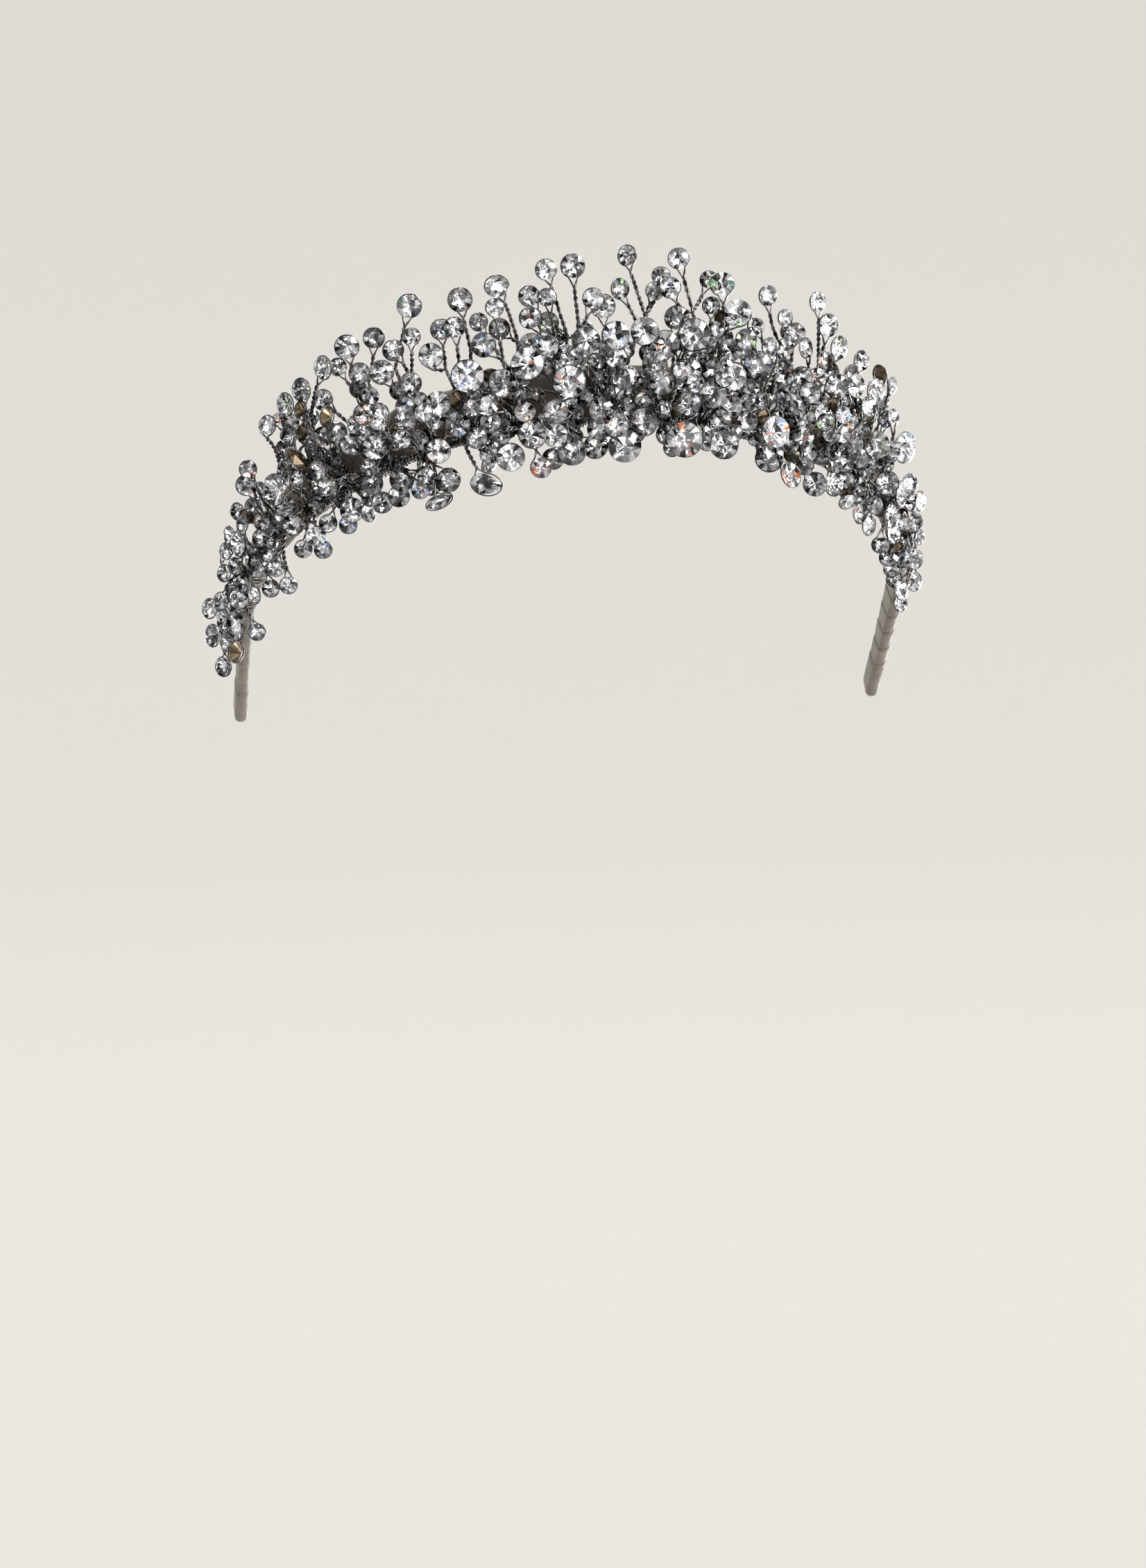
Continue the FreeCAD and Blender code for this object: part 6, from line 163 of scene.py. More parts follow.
    (9, "r", 4, 4, -41.97, -56.29, 48.9, -0.178, -0.947, 0.268, 0.246, 0.221, 0.944, -41.14, -57.03, 46.85, -39.92, -57.3, 44.15, -38.85, -56.08, 41.65),
    (9, "r", 4, 4, -46.89, -54.18, 44.84, -0.235, 0.961, -0.149, -0.918, -0.169, 0.358, -44.85, -53.85, 43.76, -41.04, -55.73, 42.18, -36.92, -56.94, 40.76),
    (9, "r", 5.4, 5.4, -36.52, -59.07, 33.85, -0.216, -0.976, -0.039, 0.85, -0.168, -0.499, -38.53, -58.72, 36.09, -39.93, -57.61, 38.1, -40.62, -55.29, 39.26),
    (9, "r", 4.7, 4.7, -39.19, -58.94, 47.58, -0.158, -0.986, 0.05, 0.252, -0.089, -0.964, -39.59, -59.01, 44.94, -39.89, -57.76, 42.85, -39.53, -55.7, 41.58),
    (9, "r", 4, 4, -39.87, -56.44, 32.51, -0.288, -0.931, 0.225, 0.368, 0.109, 0.923, -39.17, -56.12, 34.71, -39.11, -56.46, 38, -37.76, -56.72, 41.01),
    (9, "r", 4.7, 4.7, -43.15, -59.4, 42.76, -0.178, -0.979, -0.095, -0.936, 0.139, 0.322, -42.48, -59.27, 40.16, -42.11, -57.14, 39.69, -41.39, -55.09, 39.26),
    (9, "r", 5.4, 5.4, -38.65, -60.38, 40.45, -0.018, -0.993, -0.114, -0.261, -0.106, 0.96, -41.49, -60.45, 41.52, -41.65, -57.61, 42.36, -40.19, -55.11, 41.68),
    (9, "r", 4, 4, -41.25, -56.12, 37.06, 0.555, -0.736, 0.388, 0.604, 0.036, -0.796, -40.57, -54.7, 38.79, -39.9, -55.42, 40.34, -38.45, -56.46, 40.84),
    (10, "r", 5.4, 5.4, -32.4, -57.75, 74, -0.214, -0.968, -0.129, 0.549, -0.228, 0.804, -31.88, -57.47, 71.03, -31.34, -57.59, 67.33, -30.23, -57.49, 62.5),
    (10, "r", 4.7, 4.7, -36.56, -55.42, 67.51, -0.045, -0.994, -0.104, -0.489, -0.069, 0.87, -36.27, -55.16, 64.86, -36.08, -55.43, 62.84, -35.9, -55.42, 58.96),
    (10, "r", 4.7, 4.7, -34.1, -59.84, 67.84, -0.093, -0.962, -0.257, 0.089, -0.265, 0.96, -33.57, -59.21, 65.29, -32.52, -59.95, 54.45, -29.87, -59.26, 43.89),
    (10, "r", 5.4, 5.4, -39.18, -56.18, 61.84, -0.258, -0.966, 0.024, -0.963, 0.256, -0.081, -39.25, -56.24, 58.81, -39.07, -55.55, 58.28, -36.35, -55.25, 58.39),
    (10, "r", 4, 4, -42.3, -57.26, 51.7, -0.198, -0.98, 0.015, -0.925, 0.181, -0.334, -40.4, -57.66, 50.41, -35.39, -59.39, 46.6, -29.78, -59.43, 43.27),
    (10, "p", 7.1, 5, -28.61, -64.38, 32.76, -0.244, -0.969, 0.027, 0.949, -0.244, -0.202, -30.03, -63.94, 35.53, -32.12, -62.48, 39.89, -32.78, -58.46, 42.89),
    (10, "r", 5.4, 5.4, -38.32, -60.54, 51.12, -0.058, -0.992, 0.112, 0.101, -0.117, -0.988, -36.48, -60.92, 48.75, -35.59, -60.65, 47.35, -34.69, -59.63, 46.38),
    (10, "r", 6.2, 6.2, -23.02, -64.9, 38.62, -0.089, -0.98, -0.179, 0.958, -0.133, 0.256, -26.26, -64.81, 39.74, -30.27, -62.87, 42.67, -32.84, -58.25, 43.36),
    (10, "r", 4, 4, -34.33, -58.76, 51.93, -0.664, 0.729, 0.17, -0.636, -0.431, -0.64, -33.91, -57.88, 49.81, -32.16, -58.36, 46.71, -29.89, -59.17, 44.06),
    (10, "r", 4, 4, -30.19, -59.64, 52.58, -0.443, -0.684, 0.58, 0.717, 0.118, 0.687, -31.71, -60.11, 50.87, -32.86, -59.52, 47.28, -32.78, -57.57, 44.01),
    (10, "r", 4, 4, -31.15, -62.85, 49.83, -0.155, -0.894, 0.42, 0.987, -0.126, 0.097, -30.92, -63.87, 47.74, -30.41, -62.55, 44.53, -29.73, -59.43, 43.06),
    (10, "r", 4, 4, -27.19, -60.49, 36.99, 0.497, -0.792, -0.354, 0.723, 0.151, 0.675, -28.12, -61.82, 38.66, -30.5, -61.15, 41.9, -32.84, -58.2, 43.45),
    (10, "r", 4, 4, -27.59, -62.96, 39.36, -0.172, -0.982, -0.082, -0.225, -0.042, 0.973, -28.91, -62.89, 41.28, -29.9, -61.64, 43.16, -29.87, -59.27, 43.87),
    (11, "r", 5.4, 5.4, -24.12, -58.58, 76.7, -0.063, -0.872, -0.486, -0.192, 0.488, -0.851, -22.7, -57.36, 74.32, -21.4, -59.01, 70.12, -19.89, -59.34, 64.66),
    (11, "r", 4, 4, -24.98, -60.51, 72.05, -0.036, -0.997, 0.071, 0.896, -0.064, -0.439, -24.64, -60.68, 69.75, -23.4, -63.37, 57.59, -20.96, -61.48, 45.46),
    (11, "r", 4, 4, -28.43, -58.5, 68.94, -0.007, -0.994, -0.107, 0.994, 0.005, -0.112, -27.27, -58.29, 66.92, -25.27, -59.38, 63.27, -22.26, -60.29, 58.22),
    (11, "r", 4.7, 4.7, -24, -60.18, 67.24, -0.216, -0.971, -0.104, 0.277, -0.163, 0.947, -21.98, -60.44, 65.5, -21.35, -59.83, 65.16, -19.79, -59.35, 63.92),
    (11, "r", 5.4, 5.4, -27.91, -61.76, 63.78, -0.254, -0.967, -0.036, 0.503, -0.164, 0.848, -25.76, -62.24, 61.7, -24.03, -61.16, 60.43, -21.96, -60.34, 58.06),
    (11, "r", 5.4, 5.4, -17.37, -63.54, 63.46, -0.194, -0.965, 0.179, -0.386, 0.242, 0.89, -19.54, -63.49, 61.35, -21.21, -63.76, 59.63, -22.96, -63.39, 58.02),
    (11, "r", 7.2, 7.2, -31.98, -63.83, 56.95, -0.073, -0.986, -0.152, 0.861, -0.139, 0.49, -28.86, -63.69, 54.56, -23.36, -63.86, 50.44, -18.21, -61.04, 46.88),
    (11, "r", 7.2, 7.2, -18.92, -67.01, 59.31, -0.218, -0.952, 0.215, -0.269, 0.27, 0.924, -20.69, -67.39, 55.83, -21.82, -66.31, 52.65, -22.11, -63.74, 50.23),
    (11, "r", 4, 4, -26.55, -60.51, 57.11, 0.002, 0.733, 0.68, 0.428, -0.615, 0.662, -25.15, -59.24, 55.74, -23.02, -60.92, 50.76, -20.72, -61.48, 45.61),
    (11, "r", 4.7, 4.7, -30.55, -65.07, 43.19, -0.171, -0.985, -0.021, -0.039, -0.015, 0.999, -27.93, -65.53, 43.49, -23.11, -64.63, 45.1, -18.81, -61.84, 44.55),
    (11, "r", 4, 4, -27.06, -61.17, 53.72, 0.3, -0.948, 0.104, -0.872, -0.316, -0.373, -25.4, -60.82, 52.12, -24.3, -60.91, 51.03, -23.04, -61.12, 50.16),
    (11, "r", 5.4, 5.4, -27.95, -64.8, 50.35, -0.111, -0.776, 0.62, 0.972, 0.046, 0.232, -25.12, -65.69, 49.74, -22.53, -64.27, 47.32, -21.41, -61.48, 44.96),
    (11, "r", 4, 4, -19.45, -62.18, 56.12, -0.119, -0.975, 0.189, -0.922, 0.179, 0.344, -19.58, -62.61, 53.83, -19.53, -63.06, 49.7, -19.73, -61.65, 45.8),
    (11, "r", 4.7, 4.7, -16.28, -65.38, 36.09, -0.159, -0.974, -0.163, -0.529, -0.055, 0.847, -17, -65.69, 38.65, -17.79, -65.14, 42.47, -17.87, -62.1, 44.98),
    (11, "r", 4, 4, -29.81, -60.25, 47.3, -0.153, -0.801, -0.579, 0.046, 0.579, -0.814, -27.55, -60.27, 46.73, -24.92, -61.16, 45.58, -22.11, -61.33, 44.56),
    (11, "r", 4.7, 4.7, -27.01, -62.64, 46.61, -0.099, -0.92, 0.38, 0.995, -0.092, 0.037, -24.41, -63.12, 46.14, -22.05, -62.75, 45.8, -20.33, -61.63, 44.54),
    (11, "r", 4, 4, -20.68, -63.47, 52.29, -0.614, -0.718, -0.329, -0.517, 0.051, 0.854, -20.07, -62.99, 50.09, -19.56, -62.75, 47.82, -18.73, -61.89, 45.81),
    (11, "r", 6.2, 6.2, -18.2, -67.32, 43.59, 0.048, -0.982, 0.181, -0.908, 0.032, 0.417, -16.47, -66.7, 46.49, -16.7, -64.28, 46.68, -16.9, -62.28, 45.3),
    (11, "r", 4, 4, -23.58, -61.47, 51.14, -0.032, 0.992, 0.121, 0.958, 0.065, -0.279, -22.54, -61.18, 49.08, -21.93, -61.1, 47.65, -21.19, -60.53, 46.42),
    (11, "r", 4, 4, -25.3, -60.17, 40.96, -0.208, -0.961, 0.18, 0.268, 0.121, 0.956, -23.27, -60.39, 42.08, -21.58, -61.25, 43.68, -19.32, -61.78, 44.55),
    (11, "r", 4.7, 4.7, -19.48, -65.28, 48.71, -0.087, -0.922, 0.376, -0.918, -0.073, -0.391, -17.36, -66.07, 47.27, -17.32, -63.97, 46.8, -17.74, -61.94, 46.2),
    (11, "r", 4, 4, -24.7, -62.17, 43.44, -0.257, -0.887, -0.383, 0.263, -0.445, 0.856, -22.54, -62.96, 43.83, -22.07, -62.32, 44.39, -21.86, -61.38, 44.58),
    (11, "r", 4, 4, -15.57, -63.62, 46.1, -0.021, -0.871, -0.492, -0.009, 0.492, -0.871, -17.84, -63.33, 45.7, -19.44, -62.44, 46.39, -20.19, -60.65, 46.61),
    (11, "r", 4, 4, -22.67, -62.96, 46.63, 0.245, -0.936, 0.253, -0.2, 0.206, 0.958, -20.57, -62.68, 45.65, -19.26, -62.42, 45.17, -18.26, -61.81, 44.36),
    (12, "r", 5.4, 5.4, -6.82, -59.32, 80.86, 0.078, -0.997, -0.012, -0.997, -0.078, 0.001, -6.78, -59.28, 77.83, -6.66, -59.76, 72.8, -6.11, -60.36, 67.67),
    (12, "r", 4.7, 4.7, -13.03, -59.75, 80.24, -0.185, -0.979, 0.084, 0.61, -0.182, -0.771, -12.38, -60.09, 77.66, -10.96, -60.08, 72.45, -8.73, -60.51, 65.26),
    (12, "r", 4.7, 4.7, -17.03, -60.12, 74.31, -0.163, -0.966, -0.2, -0.401, -0.12, 0.908, -15.6, -59.89, 72.06, -14.63, -60.07, 70.38, -9.34, -60.46, 65.69),
    (12, "r", 4, 4, -13.17, -61.57, 74.02, -0.242, -0.97, -0.028, -0.737, 0.165, 0.656, -12.78, -61.6, 71.72, -11.08, -63.84, 59.14, -8.82, -63.24, 46.46),
    (12, "r", 4.7, 4.7, -3.13, -63.58, 73.4, -0.234, -0.972, -0.032, -0.703, 0.146, 0.696, -4.17, -63.25, 70.95, -5.76, -62.01, 66.86, -8.14, -60.55, 64.8),
    (12, "r", 4.7, 4.7, -17.46, -63.29, 69.48, 0.008, -1, 0.03, -0.696, -0.027, -0.718, -16.06, -63.34, 67.2, -13.77, -64.31, 63.45, -11.41, -63.82, 59.66),
    (12, "r", 4.7, 4.7, -13.16, -61.41, 68.31, -0.109, -0.977, -0.182, 0.974, -0.142, 0.179, -11.3, -61.26, 66.38, -10.22, -61.05, 65.3, -8.62, -60.52, 64.52),
    (12, "r", 4, 4, -9.76, -50.27, 65.27, 0.906, -0.363, 0.22, 0.29, 0.908, 0.304, -9.81, -51.56, 63.33, -10.07, -61.33, 59.34, -9.8, -62.32, 47.64),
    (12, "r", 4, 4, -4.59, -60.6, 67.16, 0.259, -0.864, 0.432, 0.001, -0.447, -0.895, -5.59, -61.77, 65.41, -7.68, -62.71, 61.82, -9.76, -62.14, 58.15),
    (12, "r", 4, 4, -16.1, -54.41, 63.53, -0.043, -0.942, 0.332, -0.035, 0.334, 0.942, -14.97, -55.13, 61.63, -13.76, -60.95, 59.05, -6.39, -62.57, 47.84),
    (12, "r", 4, 4, -11.25, -60.52, 65.18, -0.186, -0.96, 0.209, 0.531, -0.277, -0.801, -11.71, -60.92, 62.93, -12.07, -61.61, 60.54, -12.66, -61.53, 58.1),
    (12, "r", 4.7, 4.7, -14.18, -67.41, 63.02, -0.246, -0.963, -0.111, 0.915, -0.192, -0.356, -13.51, -67.27, 60.42, -11.59, -65.99, 53.45, -9.09, -62.82, 47.32),
    (12, "r", 6.2, 6.2, -24.15, -64.38, 55.17, 0.084, -0.987, 0.138, 0.706, 0.157, 0.69, -20.83, -64.21, 54.33, -16.33, -65.29, 53.39, -11.74, -65.45, 52.3),
    (12, "r", 5.4, 5.4, -9.93, -67.72, 60.43, -0.183, -0.981, 0.06, 0.357, -0.01, 0.934, -10.46, -67.8, 57.45, -11.33, -66.08, 50.89, -11.59, -62.66, 44.97),
    (12, "r", 4, 4, -8.83, -59.75, 60.46, -0.327, -0.89, 0.318, -0.048, -0.32, -0.946, -8.98, -60.49, 58.26, -10.1, -63.13, 53.89, -11.3, -65.09, 50.07),
    (12, "r", 4, 4, -14.03, -63.26, 58.74, -0.541, -0.797, 0.268, -0.263, -0.143, -0.954, -13.63, -64.23, 56.66, -10.95, -65.03, 51.08, -8.28, -63.22, 45.75),
    (12, "r", 7.2, 7.2, -10.05, -69.55, 55.04, -0.265, -0.941, 0.211, 0.018, 0.214, 0.977, -11.67, -69.89, 51.48, -11.12, -67.69, 50.41, -10.38, -65.3, 50.45),
    (12, "o", 4, 3, -16.7, -64.14, 52.32, -0.255, -0.967, 0.008, 0.966, -0.255, -0.029, -15.49, -64.47, 50.78, -13.18, -64.46, 48.16, -10.97, -63.04, 45.84),
    (12, "r", 4.7, 4.7, -13.33, -63.77, 37.98, -0.076, -0.973, 0.218, 0.905, -0.16, -0.395, -11.98, -63.36, 40.26, -10.9, -63.39, 42.9, -9.19, -62.85, 45.11),
    (12, "r", 5.4, 5.4, -13.13, -68.99, 48.52, -0.175, -0.978, -0.112, -0.845, 0.208, -0.493, -10.31, -69.37, 47.5, -8.26, -66.21, 48.05, -7.61, -62.47, 47.79),
    (12, "r", 5.4, 5.4, -3.96, -65.7, 40.49, -0.257, -0.952, 0.166, 0.296, 0.086, 0.951, -6.51, -64.77, 41.85, -9.1, -64.14, 43.83, -11.76, -62.32, 44.62),
    (12, "r", 6.2, 6.2, -9.34, -66.84, 39.6, -0.07, -0.996, 0.058, -0.975, 0.056, -0.217, -9.94, -66.6, 42.96, -10.34, -65.37, 44.98, -10.21, -63.04, 45.56),
    (12, "r", 4, 4, -9.93, -67.79, 50.43, 0.203, -0.721, -0.663, -0.97, -0.058, -0.234, -9.29, -66.18, 48.87, -8.92, -64.61, 47.9, -8.6, -62.82, 47.39),
    (12, "r", 5.4, 5.4, -12.99, -66.89, 43.27, -0.293, -0.953, 0.082, -0.669, 0.266, 0.694, -10.99, -67.31, 45.5, -8.63, -65.81, 47.91, -6.88, -62.55, 47.81),
    (12, "r", 4, 4, -8.16, -64.73, 42.32, 0.366, -0.849, -0.382, 0.925, 0.286, 0.251, -9.19, -65.94, 44.03, -10.41, -65.08, 45.86, -11.26, -62.96, 46.51),
    (12, "r", 4, 4, -8.37, -65.28, 48.21, -0.381, -0.77, -0.511, 0.183, 0.479, -0.858, -8.97, -63.83, 46.48, -9.3, -63.37, 45.88, -9.44, -62.91, 45.2),
    (12, "r", 4, 4, -8.81, -63.39, 45.27, -0.014, -0.997, 0.077, -0.968, 0.033, 0.25, -6.52, -63.39, 45.71, -7.19, -63.3, 45.76, -7.77, -63.13, 45.45),
    (13, "r", 4.7, 4.7, 3.46, -62.01, 75.42, 0.433, -0.901, 0.004, 0.878, 0.423, 0.222, 4.45, -61.55, 72.97, 5.74, -61.62, 70.41, 7.45, -61.18, 66.97),
    (13, "r", 5.4, 5.4, -0.53, -60.64, 71.69, -0.191, -0.98, -0.063, 0.629, -0.171, 0.758, -0.57, -60.44, 68.67, 0.65, -61.76, 59.68, -1.59, -62.75, 47.97),
    (13, "r", 6.2, 6.2, -5.82, -69.11, 63.99, -0.156, -0.983, -0.098, -0.068, 0.109, -0.992, -3.35, -69.27, 61.61, -0.93, -66.2, 60.1, 0.28, -62.18, 59.93),
    (13, "r", 6.2, 6.2, 1.26, -67.03, 65.05, 0.085, -0.996, -0.037, 0.965, 0.073, 0.253, 1.34, -66.89, 61.62, 1.86, -66.77, 53.67, 1.45, -63.6, 46.37),
    (13, "r", 4, 4, 0.27, -70.42, 59.96, 0.053, -0.993, 0.102, 0.918, 0.089, 0.386, 0.83, -70.62, 57.71, 1.38, -69.19, 54.78, 1.74, -66.66, 52.7),
    (13, "r", 4, 4, 4.56, -62.57, 62.07, 0.486, -0.848, 0.212, -0.749, -0.529, -0.398, 4.04, -63.4, 59.96, 1.29, -65.26, 53.3, -1.58, -63.59, 46.65),
    (13, "r", 4, 4, -1.62, -60.8, 62.11, -0.341, -0.937, 0.073, -0.353, 0.199, 0.914, -0.94, -61.22, 59.92, -0.3, -63.4, 56.35, 0.59, -64.97, 52.53),
    (13, "r", 4, 4, -7.04, -66.81, 58.51, -0.196, -0.948, 0.249, -0.673, -0.055, -0.738, -5.79, -67.55, 56.69, -2.13, -67.34, 50.9, 1.45, -63.6, 46.41),
    (13, "r", 4, 4, -4.82, -64.82, 59.85, 0.148, -0.892, 0.426, 0.625, -0.25, -0.74, -4, -65.65, 57.83, -2.91, -66.87, 54.22, -1.6, -66.76, 50.47),
    (13, "r", 5.4, 5.4, 0.95, -66.09, 59.98, -0.179, -0.982, 0.054, 0.219, -0.093, -0.971, 0.19, -66.11, 57.05, -0.92, -65.24, 52.23, -1.59, -63, 47.79),
    (13, "r", 4, 4, -2.15, -63.6, 59.01, -0.438, -0.899, -0.021, -0.778, 0.367, 0.51, -1.72, -63.75, 56.72, -1.32, -64.62, 54.41, -1.17, -64.8, 51.92),
    (13, "r", 4.7, 4.7, 1.3, -70.92, 55.32, -0.64, -0.766, -0.054, 0.695, -0.608, 0.383, 0.5, -70.08, 52.9, 0.85, -67.43, 48.2, 1.43, -63, 45.16),
    (13, "r", 4, 4, -2.81, -67.15, 55.15, -0.267, -0.964, 0.004, 0.32, -0.093, -0.943, -1.88, -67.42, 53.02, -0.58, -67.72, 50.44, 0.68, -66.72, 48.02),
    (13, "r", 4, 4, 4.51, -64.75, 56.33, 0.367, -0.909, 0.196, 0.036, 0.225, 0.974, 3.48, -65.59, 54.41, 0.68, -65.38, 50.87, -1.59, -63.14, 47.66),
    (13, "r", 7.2, 7.2, 2.26, -69.02, 40.33, -0.062, -0.993, -0.103, 0.219, -0.114, 0.969, 0.24, -69.24, 43.7, -0.54, -66.68, 45.92, -0.06, -63.27, 45.45),
    (13, "r", 4, 4, 1.24, -68.89, 52.71, 0.343, -0.936, 0.081, 0.939, 0.339, -0.058, 1.95, -68.82, 50.49, 2.05, -66.58, 47.24, 1.43, -63.17, 45.33),
    (13, "r", 5.4, 5.4, 0.08, -70.84, 45.2, -0.327, -0.942, -0.072, 0.944, -0.322, -0.073, 0.31, -71.15, 48.21, 2.11, -67.15, 49.65, 2.98, -63.08, 47.66),
    (13, "r", 4, 4, -4.88, -64.59, 51.5, -0.246, -0.965, -0.095, 0.157, 0.057, -0.986, -3.51, -64.76, 49.63, -2.35, -64.07, 48.62, -1.59, -62.72, 47.99),
    (13, "r", 4, 4, -1.39, -66.58, 52.48, -0.499, -0.68, 0.537, -0.712, 0.675, 0.193, -2.48, -67.3, 50.55, -1.19, -66.14, 47.63, -0.06, -63.49, 45.84),
    (13, "r", 5.4, 5.4, -2.71, -68.34, 48.66, -0.211, -0.977, 0.038, 0.611, -0.162, -0.775, 0.2, -68.99, 48.12, 1.53, -66.05, 48.68, 1.46, -62.87, 47.89),
    (13, "r", 6.2, 6.2, 7.02, -66.76, 45.58, -0.083, -0.984, 0.157, -0.622, 0.174, 0.763, 3.61, -66.46, 45.63, 2.89, -64.7, 45.8, 2.92, -62.92, 45.09),
    (13, "r", 4.7, 4.7, -3.43, -67.09, 44.36, -0.235, -0.972, -0.026, 0.739, -0.196, 0.645, -2.7, -67.33, 46.92, -1.95, -65.5, 48.17, -1.59, -63.29, 47.46),
    (13, "r", 4, 4, -0.16, -64.84, 42.38, -0.549, -0.81, 0.204, 0.252, 0.072, 0.965, -0.28, -64.19, 44.61, -0.24, -63.96, 45.28, -0.06, -63.42, 45.7),
    (13, "r", 4, 4, 0.24, -63.82, 50.42, 0.303, -0.907, -0.292, -0.791, -0.068, -0.608, 0.87, -62.95, 48.35, 1.22, -63.17, 47.74, 1.46, -63.48, 47.12),
    (13, "r", 4, 4, 3.61, -64.15, 49.08, 0.121, -0.992, 0.044, -0.34, -0.083, -0.937, 2.9, -64.33, 46.87, 2.9, -63.82, 47.23, 2.98, -63.24, 47.47),
    (14, "r", 4.7, 4.7, 5.38, -59.28, 82.87, -0.621, -0.783, 0.03, -0.675, 0.554, 0.487, 5.8, -59.72, 80.26, 7.45, -59.66, 74.75, 9.41, -60.12, 68.48),
    (14, "r", 4, 4, 13.16, -59.22, 78.17, -0.082, -0.981, -0.179, -0.41, -0.13, 0.903, 12.49, -58.76, 75.99, 11.67, -59.73, 73.39, 9.28, -60.13, 69.22),
    (14, "r", 4, 4, 11.51, -59.97, 74.79, -0.029, -0.992, 0.126, -0.56, -0.089, -0.824, 10.43, -60.2, 72.73, 10.16, -60.01, 72.19, 9.33, -60.13, 69.23),
    (14, "r", 5.4, 5.4, 16.29, -60.57, 68.59, -0.02, -0.979, -0.205, 0.048, 0.204, -0.978, 15.94, -59.95, 65.65, 14.68, -62.05, 56.61, 13.78, -61.89, 47.3),
    (14, "r", 7.2, 7.2, 19.66, -63.37, 64.73, -0.052, -0.997, -0.064, 0.132, 0.057, -0.99, 17.61, -63.04, 61.4, 16.55, -62.9, 59.05, 15, -62.13, 57.14),
    (14, "r", 6.2, 6.2, 8.22, -63.96, 65.82, -0.325, -0.942, 0.088, -0.657, 0.158, -0.737, 8.5, -64.37, 62.43, 9.85, -64.94, 54.5, 10.88, -62.92, 46.76),
    (14, "r", 4.7, 4.7, 14.41, -54.83, 62.81, 0.165, -0.976, 0.141, -0.658, -0.216, -0.722, 13.22, -55.37, 60.47, 11.38, -63.71, 56.77, 10.27, -64.32, 53.35),
    (14, "r", 4, 4, 16.61, -60.6, 63.15, 0.189, 0.955, 0.226, -0.621, -0.062, 0.781, 16.37, -60.02, 60.9, 15.78, -60.61, 53.94, 14, -61.86, 47.27),
    (14, "r", 4, 4, 19.67, -60, 61.2, 0.086, -0.888, 0.451, 0.955, -0.055, -0.29, 18.67, -61.03, 59.37, 17.35, -61.93, 56.15, 15.79, -60.75, 53.14),
    (14, "r", 6.2, 6.2, 12.96, -63.38, 62.75, -0.089, -0.991, -0.097, -0.84, 0.022, 0.542, 12.57, -63.01, 59.36, 11.44, -63.43, 53.36, 11.11, -62.5, 47.31),
    (14, "r", 4, 4, 9.67, -58.37, 61.03, 0.809, 0.572, -0.133, -0.037, 0.277, 0.96, 10.36, -59.75, 59.29, 10.68, -62.18, 56.13, 11.27, -62.9, 52.57),
    (14, "r", 4, 4, 20.59, -62.62, 59.28, 0.035, -0.725, -0.688, -0.894, 0.284, -0.345, 19.23, -61.35, 57.88, 16.74, -62.26, 52.55, 14.24, -61.98, 47.15),
    (14, "r", 4, 4, 8.89, -63.83, 61.01, -0.363, -0.931, 0.03, -0.804, 0.329, 0.495, 10.08, -64.36, 59.07, 13.07, -64.21, 55.35, 15.87, -62.38, 51.96),
    (14, "r", 4, 4, 15.37, -70.73, 56.76, -0.145, -0.957, -0.25, 0.14, -0.27, 0.953, 14.56, -70.07, 54.67, 12.77, -67.75, 49.21, 11.25, -62.97, 45.58),
    (14, "r", 4, 4, 18.33, -69.89, 53.74, -0.532, -0.823, 0.2, -0.479, 0.097, -0.872, 16.67, -69.17, 52.28, 14.68, -68.58, 50.38, 12.87, -67.21, 48.74),
    (14, "r", 5.4, 5.4, 10.02, -66.1, 58.48, -0.163, -0.985, 0.052, 0.395, -0.113, -0.912, 10.74, -66.37, 55.55, 12.37, -65.61, 49.51, 14.22, -62.19, 44.54),
    (14, "r", 5.4, 5.4, 11.16, -67.94, 54.26, -0.237, -0.971, -0.028, -0.899, 0.208, 0.386, 11.6, -67.96, 51.27, 12.12, -66.9, 49.88, 12.58, -65.4, 48.97),
    (14, "r", 4, 4, 7.58, -63.21, 55.63, -0.839, -0.538, 0.081, 0.522, -0.838, -0.159, 7.69, -63.72, 53.35, 9.55, -64.25, 49.63, 11.52, -63, 46.13),
    (14, "r", 4, 4, 5.25, -63.45, 52.75, 0.448, -0.826, -0.343, 0.688, 0.563, -0.457, 6.86, -62.14, 51.69, 10.13, -62.32, 49.74, 13.11, -61.91, 47.4),
    (14, "r", 4, 4, 16.76, -63.7, 53.65, -0.252, -0.848, -0.466, 0.819, 0.069, -0.569, 16.34, -62.5, 51.69, 15.75, -62.73, 48.8, 14.66, -62.59, 46.06),
    (14, "r", 5.4, 5.4, 17.29, -66.31, 49.44, -0.26, -0.963, 0.077, -0.773, 0.159, -0.614, 14.43, -65.59, 48.78, 12.02, -64.22, 48.61, 10.21, -62.42, 47.52),
    (14, "r", 4, 4, 7.39, -65.43, 50.67, 0.102, -0.88, -0.464, -0.213, -0.475, 0.853, 9.04, -64.52, 49.3, 10.57, -63.88, 48.08, 11.78, -62.44, 47.25),
    (14, "r", 4, 4, 11.31, -67.94, 48.39, -0.757, -0.652, 0.032, 0.187, -0.169, 0.968, 10.28, -66.83, 46.62, 11.68, -64.72, 45.43, 13.14, -62.42, 44.76),
    (14, "r", 4, 4, 5.62, -64.29, 43.12, -0.076, -0.959, 0.275, 0.002, -0.275, -0.961, 7.79, -64.22, 43.98, 11.25, -64.09, 46.01, 14.9, -62.47, 46.32),
    (14, "r", 4, 4, 13.83, -62.79, 39.58, -0.527, -0.85, -0.009, -0.276, 0.182, -0.944, 13.11, -62.36, 41.76, 12.17, -62.97, 44.51, 10.44, -62.9, 46.92),
